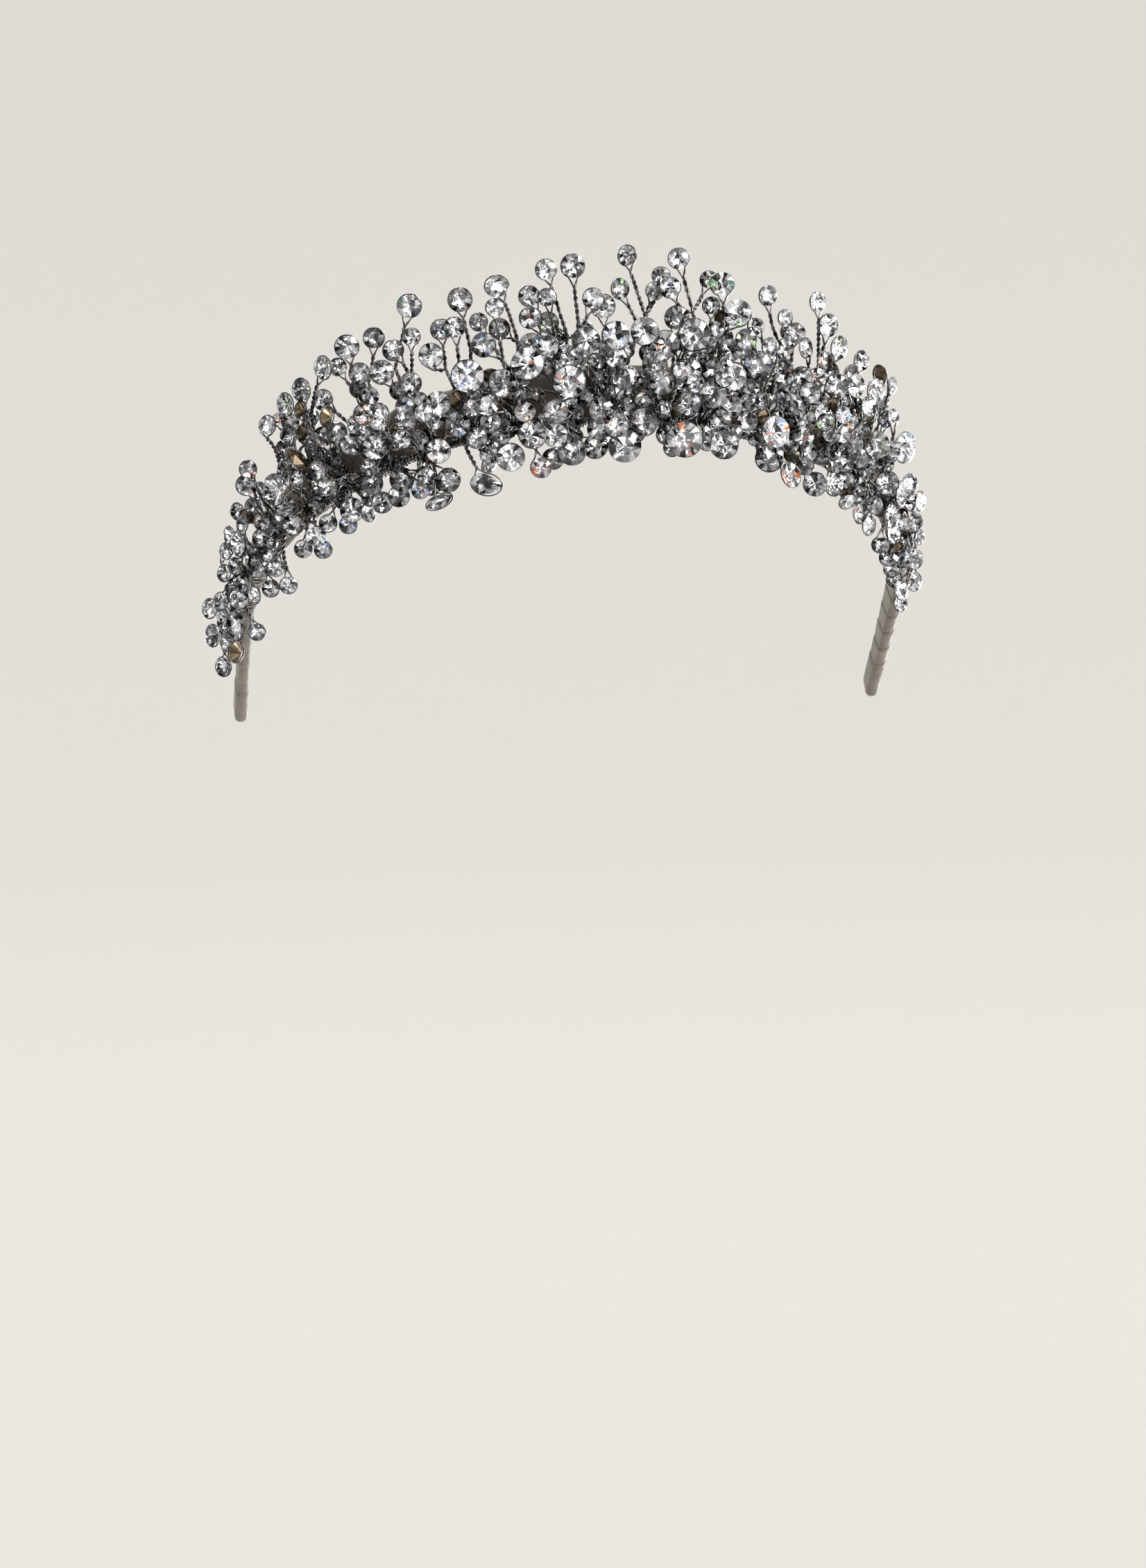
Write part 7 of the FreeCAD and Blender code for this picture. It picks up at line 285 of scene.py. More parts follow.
    (14, "r", 4, 4, 9.77, -63.59, 51.68, -0.147, -0.922, 0.358, 0.495, 0.245, 0.833, 10.5, -64.49, 49.66, 11.25, -64.33, 47.5, 11.94, -62.95, 45.81),
    (14, "r", 4.7, 4.7, 12.66, -63.72, 42.74, -0.291, -0.921, 0.258, -0.956, 0.269, -0.118, 13.28, -63.2, 45.3, 13.41, -63.03, 45.51, 13.48, -62.74, 45.5),
    (15, "r", 4.7, 4.7, 17.13, -59.75, 81.93, -0.235, -0.97, 0.07, 0.971, -0.231, 0.062, 17.69, -60.07, 79.33, 19.01, -59.59, 74.44, 20.04, -59.38, 70.38),
    (15, "r", 4, 4, 24.45, -57.07, 77, -0.188, -0.981, 0.055, -0.883, 0.145, -0.446, 23.44, -56.99, 74.9, 21.73, -58.11, 71.91, 19.95, -59.39, 69.63),
    (15, "r", 4.7, 4.7, 14.71, -61.7, 75.44, -0.231, -0.969, 0.088, -0.149, 0.124, 0.981, 15.76, -62.17, 73.01, 17.01, -60.51, 71.06, 19.61, -59.44, 69.77),
    (15, "r", 5.4, 5.4, 26.99, -59.56, 75.94, -0.128, -0.97, 0.209, 0.901, -0.201, -0.383, 26.99, -60.2, 72.97, 27.23, -59.01, 69.56, 27.21, -58.46, 64.9),
    (15, "r", 4, 4, 24.71, -57.39, 71.22, -0.319, -0.929, 0.186, -0.592, 0.043, -0.805, 24.59, -57.81, 68.93, 23.74, -59.33, 57.77, 24.03, -60.08, 45.87),
    (15, "r", 6.2, 6.2, 30.37, -59.24, 69.32, -0.272, -0.942, 0.199, 0.399, -0.298, -0.867, 28.84, -59.44, 66.25, 28.59, -58.76, 65.17, 27.29, -58.42, 64.15),
    (15, "r", 4, 4, 27.65, -56.52, 68.35, 0.143, 0.933, 0.329, -0.989, 0.127, 0.069, 26.93, -55.68, 66.3, 25.8, -57.35, 62.14, 23.95, -59.18, 58.33),
    (15, "r", 4, 4, 25.34, -58.34, 65.73, -0.223, -0.913, 0.34, 0.571, -0.406, -0.714, 24.9, -59.05, 63.55, 24.34, -59.2, 57.67, 22.56, -60.4, 46.12),
    (15, "r", 4, 4, 27.63, -56.95, 64.44, -0.005, -0.867, 0.499, -0.851, 0.265, 0.453, 26.75, -58.02, 62.57, 25.66, -59.27, 59.54, 24.31, -59.21, 56.37),
    (15, "r", 4, 4, 30.01, -50.47, 61, 0.226, -0.955, 0.191, -0.944, -0.166, 0.286, 28.67, -51.15, 59.21, 27.92, -58.38, 57.01, 19.61, -60.99, 46.58),
    (15, "r", 4, 4, 23.28, -59.54, 62.35, -0.45, -0.779, 0.436, -0.602, -0.096, -0.793, 23.84, -60.88, 60.52, 25.35, -60.67, 58.21, 26.57, -59.29, 56.13),
    (15, "r", 5.4, 5.4, 17.52, -67.07, 56.71, -0.202, -0.977, -0.065, 0.449, -0.033, -0.893, 18.4, -67.06, 53.81, 21, -65.19, 48.83, 22.5, -61.26, 44.67),
    (15, "r", 4, 4, 25.37, -68.08, 54.85, -0.034, -0.984, 0.177, -0.999, 0.029, -0.028, 24.07, -68.38, 52.94, 22.59, -67.14, 50.4, 21.67, -64.82, 48.43),
    (15, "r", 4, 4, 27.02, -60.94, 57.09, -0.07, -0.986, -0.152, 0.805, 0.033, -0.592, 25.76, -60.55, 55.16, 23.12, -61.82, 50.16, 19.6, -61.77, 45.55),
    (15, "r", 4, 4, 31.85, -59.28, 53.52, -0.657, -0.728, -0.196, -0.748, 0.662, 0.049, 30.44, -57.74, 52.49, 26.57, -59.75, 51.39, 23.03, -61.76, 49.46),
    (15, "r", 5.4, 5.4, 28.17, -64.66, 54.7, -0.181, -0.981, 0.073, -0.317, -0.012, -0.949, 26.61, -64.57, 52.11, 24.15, -63.47, 47.44, 22.14, -60.66, 43.31),
    (15, "r", 4.7, 4.7, 23.57, -63.27, 56.71, -0.308, -0.941, -0.14, -0.795, 0.336, -0.505, 23.7, -62.92, 54.05, 23.92, -63.44, 50.63, 23.7, -63.06, 47.19),
    (15, "r", 8, 8, 15.9, -68.53, 41.44, -0.262, -0.964, -0.041, 0.809, -0.242, 0.536, 17.54, -69.14, 45.4, 19.53, -65.75, 47.12, 19.63, -61.66, 45.84),
    (15, "r", 6.2, 6.2, 22.76, -66.92, 51.29, -0.208, -0.977, -0.04, 0.412, -0.124, 0.903, 21.35, -66.49, 48.19, 21.1, -64.28, 46.22, 21.11, -61.37, 45.63),
    (15, "r", 4, 4, 25.19, -60.92, 54.18, -0.505, -0.627, -0.593, -0.841, 0.513, 0.174, 25.53, -59.48, 52.38, 24.36, -60.11, 48.18, 22.45, -61.25, 44.39),
    (15, "r", 4, 4, 28.85, -60.58, 51.73, -0.122, -0.982, 0.145, 0.935, -0.163, -0.314, 27.61, -60.71, 49.76, 25.83, -61.31, 46.3, 23.63, -60.45, 43.16),
    (15, "r", 4, 4, 19.83, -62.46, 53.71, 0.024, -0.853, -0.522, -0.601, -0.429, 0.674, 19.73, -61.25, 51.73, 19.75, -61.31, 49.16, 19.6, -60.9, 46.64),
    (15, "r", 6.2, 6.2, 25.18, -66.71, 39.89, -0.218, -0.973, 0.078, 0.305, -0.144, -0.941, 23.05, -66.03, 42.49, 22.02, -64.29, 44.89, 21.11, -61.38, 45.61),
    (15, "r", 4, 4, 15.08, -63.3, 47.79, 0.685, 0.605, -0.406, -0.184, -0.396, -0.9, 16.76, -64.41, 48.97, 20.81, -63.02, 48.92, 22.53, -60.15, 46.25),
    (15, "r", 4.7, 4.7, 27.59, -64.29, 48.35, -0.289, -0.956, -0.048, 0.32, -0.049, -0.946, 25.83, -63.66, 46.43, 24.7, -62.52, 44.83, 23.8, -60.8, 43.66),
    (15, "r", 4.7, 4.7, 24.74, -64.71, 45.48, -0.355, -0.923, 0.15, 0.909, -0.303, 0.287, 22.25, -63.82, 45.07, 20.66, -62.89, 45.07, 19.42, -61.7, 44.39),
    (15, "r", 4, 4, 22.34, -61.44, 40.55, -0.027, -0.992, -0.121, 0.846, 0.042, -0.531, 21.82, -61.7, 42.8, 21.56, -61.73, 44.53, 21.12, -61.06, 46.07),
    (15, "r", 4, 4, 21.74, -63.38, 42.92, 0.232, -0.972, 0.022, -0.795, -0.203, -0.572, 22.82, -63.08, 44.96, 22.82, -62.15, 45.55, 22.58, -61.1, 45.33),
    (15, "r", 4, 4, 21.55, -62.47, 47.28, -0.356, -0.934, -0.031, 0.091, -0.068, 0.994, 22.91, -62.92, 45.45, 23.71, -61.94, 45.34, 24.05, -60.73, 45.16),
    (16, "r", 4.7, 4.7, 38.73, -53.59, 73.11, 0.392, -0.918, -0.056, 0.829, 0.326, 0.454, 38.85, -53.37, 70.44, 39.09, -53.51, 68.08, 40.39, -53.65, 63.5),
    (16, "r", 4, 4, 43.47, -52.88, 64.83, -0.174, -0.983, 0.055, -0.109, -0.036, -0.993, 42.46, -52.82, 62.73, 37.97, -55.36, 54.63, 32.31, -57.82, 44.08),
    (16, "r", 4, 4, 34.88, -57.69, 66.26, 0.292, -0.956, -0.004, 0.322, 0.094, 0.942, 35.87, -57.37, 64.17, 36.59, -56.55, 62.31, 38.01, -55.38, 58.99),
    (16, "r", 4.7, 4.7, 31.79, -61.8, 63.32, 0.039, -0.998, 0.038, -0.957, -0.026, 0.288, 33.42, -61.82, 61.19, 35.92, -59.79, 57.35, 37.66, -55.68, 55.06),
    (16, "r", 4, 4, 41.48, -56.77, 61.23, -0.095, -0.99, -0.109, -0.097, 0.118, -0.988, 40.3, -56.44, 59.25, 35.67, -58.57, 50.7, 30.11, -59.19, 42.47),
    (16, "r", 4, 4, 37.77, -59.44, 61.62, 0.233, -0.971, -0.052, 0.925, 0.205, 0.32, 37.24, -59.45, 59.35, 35.94, -59.95, 54.46, 34.78, -58.84, 49.63),
    (16, "r", 4, 4, 34.17, -48.77, 60.42, 0.53, 0.763, 0.369, -0.298, 0.575, -0.762, 35.22, -48.51, 58.36, 35.12, -56.33, 55.39, 32.84, -57.65, 43.95),
    (16, "r", 5.4, 5.4, 28.28, -59.81, 60.95, -0.221, -0.966, 0.134, 0.961, -0.239, -0.137, 30.17, -60.55, 58.7, 32.49, -59.71, 56.06, 34.43, -57.28, 54.22),
    (16, "r", 4, 4, 39.8, -56.04, 58.62, 0.332, -0.838, 0.433, 0.498, -0.234, -0.835, 39.48, -57.2, 56.63, 37.49, -58.69, 48.5, 34.67, -57.23, 40.61),
    (16, "r", 4, 4, 32.49, -57.66, 60.39, -0.074, -0.893, -0.444, -0.617, 0.39, -0.683, 33.41, -56.77, 58.44, 34.6, -57.96, 52.85, 36.8, -58.59, 47.49),
    (16, "r", 4, 4, 41.7, -54.28, 56.85, -0.118, -0.993, 0.029, -0.976, 0.111, -0.189, 40.48, -54.19, 54.87, 35.78, -56.97, 48.84, 31.82, -58.61, 41.92),
    (16, "r", 4.7, 4.7, 36.49, -50.56, 57.5, 0.622, -0.004, 0.783, -0.007, -1, 0.001, 37.72, -52.73, 56.52, 37.48, -56.07, 52.52, 35.01, -57.04, 48.03),
    (16, "r", 6.2, 6.2, 34.61, -60.38, 57.49, -0.239, -0.97, -0.04, -0.544, 0.1, 0.833, 34.48, -60.21, 54.07, 34.1, -59.33, 48.53, 34.62, -57.3, 43.31),
    (16, "r", 4, 4, 41.27, -56.15, 54.5, -0.159, -0.907, 0.389, -0.918, -0.009, -0.397, 39.7, -56.59, 52.83, 37.38, -58.12, 50.28, 34.56, -58.85, 47.87),
    (16, "o", 6, 4.1, 41.3, -61.21, 32.58, -0.076, -0.997, 0.02, 0.308, -0.042, -0.95, 39.29, -61.01, 34.93, 36.08, -60.74, 40.49, 31.46, -58.25, 44.19),
    (16, "r", 4, 4, 35.35, -58.59, 54.36, -0.034, -0.992, 0.125, -0.971, 0.003, -0.239, 34.73, -58.85, 52.12, 33.76, -59.44, 47.88, 32.64, -57.57, 44.07),
    (16, "r", 4, 4, 38.23, -57.6, 53.18, -0.048, -0.998, 0.032, 0.973, -0.039, 0.229, 37.29, -57.63, 51.05, 35.75, -58.27, 47.16, 33.93, -57.63, 43.4),
    (16, "r", 4, 4, 41.26, -57.3, 50.58, 0.045, -0.999, -0.028, -0.068, 0.025, -0.997, 39.84, -57.31, 48.74, 37.65, -58.05, 45.59, 35.14, -57.53, 42.65),
    (16, "r", 4, 4, 33.87, -66.55, 49.37, -0.803, -0.571, 0.168, 0.594, -0.787, 0.164, 32.62, -65.22, 47.92, 31.16, -62.58, 44.86, 30.48, -59.1, 42.43),
    (16, "r", 4, 4, 32.66, -61.42, 51.31, -0.092, -0.993, 0.075, -0.036, -0.072, -0.997, 32.33, -61.56, 49, 32.33, -60.47, 46.08, 32, -58.2, 43.96),
    (16, "r", 4.7, 4.7, 31.78, -63.17, 48.68, 0.062, -0.998, 0.033, -0.834, -0.034, 0.55, 32.28, -63.23, 46.05, 32.86, -61.22, 43.24, 32.79, -58.19, 41.49),
    (16, "r", 4, 4, 27.74, -64.31, 42.27, -0.234, -0.97, 0.07, -0.91, 0.244, 0.336, 30, -64.86, 42.13, 33.16, -61.97, 42.4, 34.11, -57.9, 41.43),
    (16, "r", 7.2, 7.2, 37.88, -62.85, 42.41, 0.364, -0.931, 0.007, 0.77, 0.297, -0.564, 34.82, -64.07, 40.27, 35.24, -62.54, 41.15, 35.7, -60.83, 41.55),
    (16, "r", 6.2, 6.2, 36.68, -60.06, 36.48, -0.101, -0.972, 0.21, -0.711, 0.219, 0.668, 34.58, -59.28, 39.08, 33.27, -59.24, 41.48, 31.25, -58.94, 43.29),
    (16, "r", 4, 4, 37, -58.46, 49.14, -0.046, -0.996, -0.073, -0.484, -0.042, 0.874, 35.6, -58.26, 47.29, 33.85, -58.39, 45.39, 32.51, -58.48, 43.19),
    (16, "r", 4.7, 4.7, 30.99, -64.27, 44.82, -0.049, -0.99, -0.133, -0.955, 0.086, -0.284, 32.6, -64.07, 42.68, 33.87, -61.26, 42.78, 33.66, -58.21, 42.43),
    (16, "r", 4.7, 4.7, 37.9, -57.5, 45.98, -0.228, -0.944, 0.237, -0.597, -0.057, -0.8, 36.34, -57.67, 43.8, 35.54, -57.95, 42.59, 34.67, -57.76, 41.4),
    (16, "r", 4, 4, 30.6, -59.21, 48.84, -0.115, -0.915, -0.386, 0.968, -0.016, -0.25, 30.5, -58.29, 46.7, 30.12, -58.73, 44.32, 30.06, -58.81, 41.87),
    (16, "r", 4, 4, 35.98, -57.41, 39.45, 0.381, -0.922, 0.07, 0.188, 0.151, 0.97, 34.21, -58.04, 40.82, 33.11, -58.51, 41.96, 31.69, -58.85, 42.74),
    (16, "r", 4.7, 4.7, 34.77, -58.83, 46.24, 0.283, 0.941, 0.183, -0.203, 0.245, -0.948, 33.76, -58.07, 43.87, 33.32, -58.37, 43.05, 32.86, -58.45, 42.19),
    (16, "r", 4, 4, 33.89, -59.43, 41.26, 0.058, -0.988, -0.145, -0.95, -0.01, -0.311, 31.67, -59.45, 40.53, 32.79, -58.86, 41.37, 34.01, -58.02, 41.68),
    (17, "r", 4.7, 4.7, 51.26, -48.66, 71.46, 0.529, -0.848, 0.015, -0.372, -0.216, 0.903, 51.22, -48.74, 68.78, 50.9, -48.57, 62.79, 50.88, -48.61, 56.15),
    (17, "r", 5.4, 5.4, 53.35, -49.64, 66.02, 0.462, -0.883, -0.084, 0.766, 0.35, 0.54, 52.82, -49.64, 63.04, 51.91, -48.85, 60.39, 51.43, -48.28, 55.82),
    (17, "r", 4, 4, 41.91, -57.12, 67.94, 0.434, -0.901, -0.008, 0.04, 0.01, 0.999, 42.06, -57.02, 65.62, 41.37, -55.11, 62.98, 43.53, -53.66, 55.69),
    (17, "r", 4.7, 4.7, 44.15, -55.86, 64.46, -0.026, -0.991, -0.128, 0.061, 0.126, -0.99, 43.82, -55.51, 61.82, 43.66, -54.59, 60.57, 43.9, -53.48, 55.07),
    (17, "r", 4.7, 4.7, 47.14, -54.15, 61.1, 0.674, -0.735, 0.072, 0.665, 0.561, -0.493, 47.94, -53.66, 58.59, 47.69, -52.48, 56.85, 49.06, -50.98, 54.14),
    (17, "r", 4, 4, 52.22, -50.25, 58.15, 0.392, -0.916, -0.083, 0.711, 0.359, -0.605, 50.88, -50.65, 56.29, 46.43, -53.72, 48.81, 40.79, -54.7, 41.58),
    (17, "r", 4, 4, 53.8, -48.57, 55.59, -0.781, -0.623, -0.049, 0.224, -0.206, -0.953, 53.71, -48.28, 53.28, 50.37, -50.95, 49.54, 45.8, -53.82, 47.74),
    (17, "r", 4.7, 4.7, 49.55, -53.3, 54.11, 0.33, -0.942, -0.056, 0.776, 0.237, 0.584, 48.63, -53.47, 51.6, 46.5, -54.48, 44.95, 43.7, -54.05, 38.49),
    (17, "r", 4.7, 4.7, 45.66, -55.06, 54.53, -0.216, -0.876, -0.432, -0.836, -0.063, 0.546, 45.99, -53.95, 52.12, 46.63, -54.37, 48.2, 45.98, -54.54, 44.26),
    (17, "r", 4.7, 4.7, 46.98, -57.63, 50.88, -0.322, -0.944, -0.075, -0.278, 0.019, 0.96, 45.84, -57.06, 48.52, 43.83, -56.66, 44.31, 41.99, -54.86, 40.39),
    (17, "r", 4, 4, 49.91, -52.51, 49.06, -0.017, -1, 0.003, 0.519, -0.006, 0.855, 48.15, -52.49, 47.53, 45.89, -54.04, 45.56, 43.88, -56.16, 43.87),
    (17, "r", 5.4, 5.4, 47.7, -56.99, 30.09, -0.272, -0.954, -0.125, -0.766, 0.294, -0.572, 45.77, -56.75, 32.41, 43.43, -57.03, 36.89, 39.53, -55.89, 39.91),
    (17, "r", 4, 4, 44.59, -55.14, 50.79, -0.355, -0.883, 0.306, -0.885, 0.212, -0.415, 43.61, -55.48, 48.7, 42.56, -55.49, 44.95, 41.47, -54.29, 41.41),
    (17, "r", 4, 4, 50.1, -58.41, 44.14, -0.375, -0.918, 0.128, 0.711, -0.197, 0.675, 48.09, -57.72, 43.18, 45.41, -56.21, 41.8, 43.18, -54.15, 40.3),
    (17, "m", 6.5, 3.2, 43.14, -59.65, 48.33, -0.077, -0.997, 0.004, 0.469, -0.04, -0.882, 43.54, -59.7, 45.27, 44.3, -57.43, 41.55, 44.77, -53.55, 39.46),
    (17, "r", 4, 4, 45.3, -57.48, 34.27, -0.27, -0.948, -0.166, 0.957, -0.247, -0.15, 43.58, -57.26, 35.83, 42.4, -56.62, 38.03, 40.56, -55.29, 39.23),
    (17, "r", 4, 4, 48.83, -52.21, 42.46, 0.812, 0.569, -0.127, 0.517, -0.6, 0.611, 48.05, -51.57, 40.36, 45.19, -52.92, 38.65, 41.87, -54.26, 38.26),
    (17, "r", 4, 4, 41.12, -55.94, 47.13, -0.318, -0.94, -0.125, 0.223, -0.202, 0.954, 41.85, -55.89, 44.91, 43.35, -55.21, 42.37, 44.32, -53.42, 40.11),
    (17, "r", 4, 4, 46.32, -56.16, 44.77, -0.302, -0.948, -0.106, 0.922, -0.318, 0.222, 44.69, -55.48, 43.25, 42.26, -55.61, 41.14, 39.86, -55.23, 39.03),
    (17, "r", 4.7, 4.7, 44.99, -58.31, 41.21, -0.088, -0.849, 0.521, 0.843, 0.215, 0.493, 42.76, -57.37, 42.36, 42.36, -55.61, 42.15, 42.21, -54.16, 41.05),
    (17, "r", 4, 4, 46.99, -54.28, 37.33, 0.208, -0.976, 0.057, -0.188, 0.017, 0.982, 45.32, -54.54, 38.92, 44.71, -54.4, 39.77, 43.87, -53.82, 40.06),
    (17, "r", 4, 4, 42.48, -55.89, 43.47, -0.435, -0.767, -0.471, -0.617, -0.127, 0.776, 41.21, -54.4, 42.21, 40.65, -55.11, 41.73, 40.11, -55.66, 41.05),
    (17, "r", 4, 4, 43.11, -55.12, 36.83, 0.141, 0.913, -0.384, -0.557, -0.247, -0.792, 42.1, -54.17, 38.71, 41.97, -54.56, 39.41, 41.6, -55.14, 39.81),
    (17, "r", 4, 4, 42.2, -56.76, 39.24, 0.112, -0.989, 0.099, -0.811, -0.034, 0.584, 44.51, -56.49, 39.35, 44.08, -55.26, 39.48, 43.16, -54.42, 39.08),
    (18, "r", 5.4, 5.4, 56.12, -48.15, 60.91, 0.606, -0.788, -0.112, -0.602, -0.362, -0.711, 55.5, -48.21, 57.94, 54.46, -47.14, 57.16, 55.42, -46.69, 52.85),
    (18, "r", 4.7, 4.7, 62.27, -43.34, 57.76, 0.573, -0.817, -0.06, -0.683, -0.436, -0.586, 61.46, -43.73, 55.23, 60.68, -43.49, 53.82, 59.24, -43.68, 50.2),
    (18, "r", 4.7, 4.7, 66.36, -44.47, 54.45, 0.876, 0.466, 0.127, 0.468, -0.754, -0.46, 66.48, -43.99, 51.81, 60.81, -47.12, 42.72, 51.87, -49.72, 36.55),
    (18, "r", 4, 4, 58.94, -45.66, 55.13, -0.739, -0.624, 0.255, -0.673, 0.698, -0.245, 58.79, -46.38, 52.92, 59.59, -47.6, 48.15, 60.72, -47.05, 43.33),
    (18, "r", 5.4, 5.4, 59.63, -48.96, 52.09, 0.576, -0.815, -0.066, -0.403, -0.353, 0.845, 58.28, -49.7, 49.48, 54.47, -52.06, 42.4, 49.3, -50.96, 35.91),
    (18, "r", 5.4, 5.4, 54.24, -52.22, 52.24, -0.136, -0.978, -0.156, -0.852, 0.196, -0.486, 54.12, -51.73, 49.25, 54.22, -51.86, 45.44, 53.58, -52.12, 41.68),
    (18, "r", 4.7, 4.7, 62.67, -48.62, 47.24, 0.521, -0.854, 0.002, 0.216, 0.129, -0.968, 61.25, -49.5, 45.14, 57.2, -50.01, 40.69, 52.82, -48.2, 36.94),
    (18, "r", 4, 4, 57.33, -47.94, 48.67, 0.184, -0.969, -0.166, -0.687, -0.005, -0.726, 56.9, -47.63, 46.4, 56.66, -48.96, 43.54, 56.42, -49.71, 40.48),
    (18, "r", 4, 4, 53.73, -50.29, 47.99, 0.342, 0.812, -0.473, 0.599, 0.199, 0.776, 52.81, -51.06, 45.99, 52.07, -51.56, 40.94, 50.76, -50.46, 36.1),
    (18, "r", 4, 4, 60.87, -46.53, 41.56, -0.697, -0.686, 0.211, -0.439, 0.64, 0.631, 59.71, -45.94, 39.63, 56.46, -47.92, 37.74, 52.53, -49.08, 36.63),
    (18, "r", 4, 4, 55.4, -53.64, 45.58, 0.344, -0.936, 0.071, 0.751, 0.32, 0.578, 54.24, -54.22, 43.64, 51.67, -54.04, 39.79, 48.85, -51.56, 37.07),
    (18, "r", 4, 4, 58.81, -49.52, 43.24, 0.213, -0.976, -0.052, -0.873, -0.214, 0.438, 57.02, -49.83, 41.77, 53.74, -50.74, 39.04, 50.34, -50.71, 36.32),
    (18, "r", 5.4, 5.4, 50.56, -54.4, 45.57, 0.536, -0.844, -0.003, -0.843, -0.535, 0.055, 51.72, -53.66, 42.88, 52.57, -51.6, 39.78, 51.98, -48.75, 37.32),
    (18, "r", 4, 4, 59.19, -47.97, 38.76, 0.218, -0.976, 0.007, -0.136, -0.037, -0.99, 57.1, -48.45, 37.84, 55.39, -48.66, 36.92, 53.56, -48.18, 36.38),
    (18, "r", 4, 4, 54.52, -49.12, 43.84, -0.655, -0.683, 0.324, 0.618, -0.237, 0.75, 53.58, -49.23, 41.71, 52.17, -50.3, 39.36, 50.13, -50.75, 37.27),
    (18, "r", 4, 4, 52.31, -54.68, 41.33, -0.237, -0.897, 0.374, 0.747, 0.078, 0.66, 50.98, -55.1, 39.47, 50.92, -53.02, 37.06, 51.47, -50.07, 35.98),
    (18, "r", 4, 4, 55.52, -51.77, 41.14, 0.201, -0.979, -0.024, 0.452, 0.114, -0.885, 54.79, -51.87, 38.93, 54, -50.95, 36.85, 53.08, -49.06, 35.68),
    (18, "r", 5.4, 5.4, 53.32, -51.66, 29.8, 0.559, -0.827, 0.063, -0.011, -0.083, -0.996, 52.43, -52.05, 32.67, 51.66, -51.96, 35.53, 49.7, -50.97, 37.51),
    (18, "r", 4, 4, 56.23, -49.61, 38.24, -0.497, -0.711, -0.497, 0.732, -0.651, 0.199, 54.39, -48.19, 38.05, 52.39, -49.3, 37.22, 50.81, -50.31, 35.68),
    (18, "r", 4, 4, 52.05, -51.17, 39.66, 0.409, -0.835, 0.368, 0.749, 0.538, 0.387, 53.52, -51.24, 37.85, 53.48, -50.02, 37.14, 52.75, -49, 36.46),
    (18, "r", 4, 4, 53.62, -49.99, 34.36, 0.125, -0.861, 0.494, -0.351, 0.427, 0.833, 51.67, -49.57, 35.57, 50.76, -50.09, 37.21, 49.27, -50.79, 38.25),
    (18, "r", 4, 4, 53.09, -50.54, 37.08, -0.055, -0.851, 0.522, -0.113, -0.515, -0.85, 50.8, -50.21, 37.37, 50.81, -50.19, 37.35, 50.81, -50.16, 37.33),
    (18, "r", 4, 4, 50.14, -52.2, 36.57, -0.38, -0.923, -0.062, -0.54, 0.167, 0.825, 52.11, -52.94, 35.56, 52.73, -51.32, 36.28, 52.29, -49.48, 36.32),
    (19, "r", 4, 4, 68.1, -36.51, 54.43, 0.679, 0.31, 0.666, 0.359, -0.931, 0.067, 69.81, -37.13, 52.97, 65.96, -43.02, 42.9, 57.24, -45.56, 34.63),
    (19, "r", 4, 4, 70.57, -37.71, 51.79, 0.755, -0.641, -0.135, 0.368, 0.244, 0.897, 69.44, -38.66, 49.98, 67.45, -40.55, 46.78, 66.21, -42.73, 43.39),
    (19, "r", 5.4, 5.4, 64.81, -46.7, 50.98, 0.567, -0.817, -0.107, -0.639, -0.518, 0.569, 64.35, -46.63, 47.99, 62.77, -46.5, 40.01, 60.16, -43.57, 32.88),
    (19, "r", 4, 4, 67.01, -40.01, 47.73, 0.133, -0.991, 0.015, 0.99, 0.132, -0.056, 65.85, -40.2, 45.72, 63.87, -43.16, 42.64, 62.57, -45.83, 38.99),
    (19, "r", 4, 4, 68.16, -38.85, 44.16, -0.723, -0.687, 0.067, -0.503, 0.458, -0.733, 67.8, -38.69, 41.86, 63.87, -42.5, 36.56, 58.23, -45.51, 32.42),
    (19, "r", 4, 4, 59.82, -46.03, 47.48, 0.117, -0.966, -0.23, -0.983, -0.146, 0.112, 60.38, -45.44, 45.29, 61.8, -43.99, 40.91, 62.73, -43.31, 36.23),
    (19, "r", 4.7, 4.7, 63.09, -43.62, 19.87, 0.648, -0.757, -0.079, -0.206, -0.075, -0.976, 63.09, -43.9, 22.54, 63.47, -43.97, 27.51, 61.38, -42.86, 31.89),
    (19, "r", 4, 4, 63.07, -44.23, 44.5, 0.499, 0.829, -0.253, -0.768, 0.287, -0.573, 62.22, -44.39, 42.34, 60.43, -45.51, 37.31, 57.97, -45.67, 32.44),
    (19, "r", 4.7, 4.7, 69.51, -43.13, 36.78, 0.65, -0.758, 0.049, -0.64, -0.512, 0.574, 67.47, -44.87, 36.71, 64.1, -46.04, 36.59, 60.59, -45.46, 36.35),
    (19, "r", 4.7, 4.7, 60.4, -46.55, 22.76, 0.657, -0.754, 0.015, -0.29, -0.272, -0.917, 61.53, -45.52, 24.97, 62.24, -45.05, 26.58, 63, -44.09, 27.92),
    (19, "r", 4, 4, 64.1, -44.78, 24.51, 0.195, -0.979, 0.059, -0.958, -0.177, 0.228, 62.87, -44.9, 26.49, 61.37, -45.49, 30.8, 58.11, -45.12, 34.04),
    (19, "r", 5.4, 5.4, 67.16, -44.82, 29.53, -0.416, -0.9, 0.134, -0.242, 0.251, 0.937, 64.46, -43.51, 29.95, 61.67, -44.06, 31.05, 58.67, -44.58, 31.09),
    (19, "r", 6.2, 6.2, 64.79, -46.12, 38.41, 0.188, -0.981, 0.046, -0.979, -0.184, 0.083, 63.06, -46.59, 35.48, 61.83, -44.82, 33.61, 60.73, -42.3, 32.85),
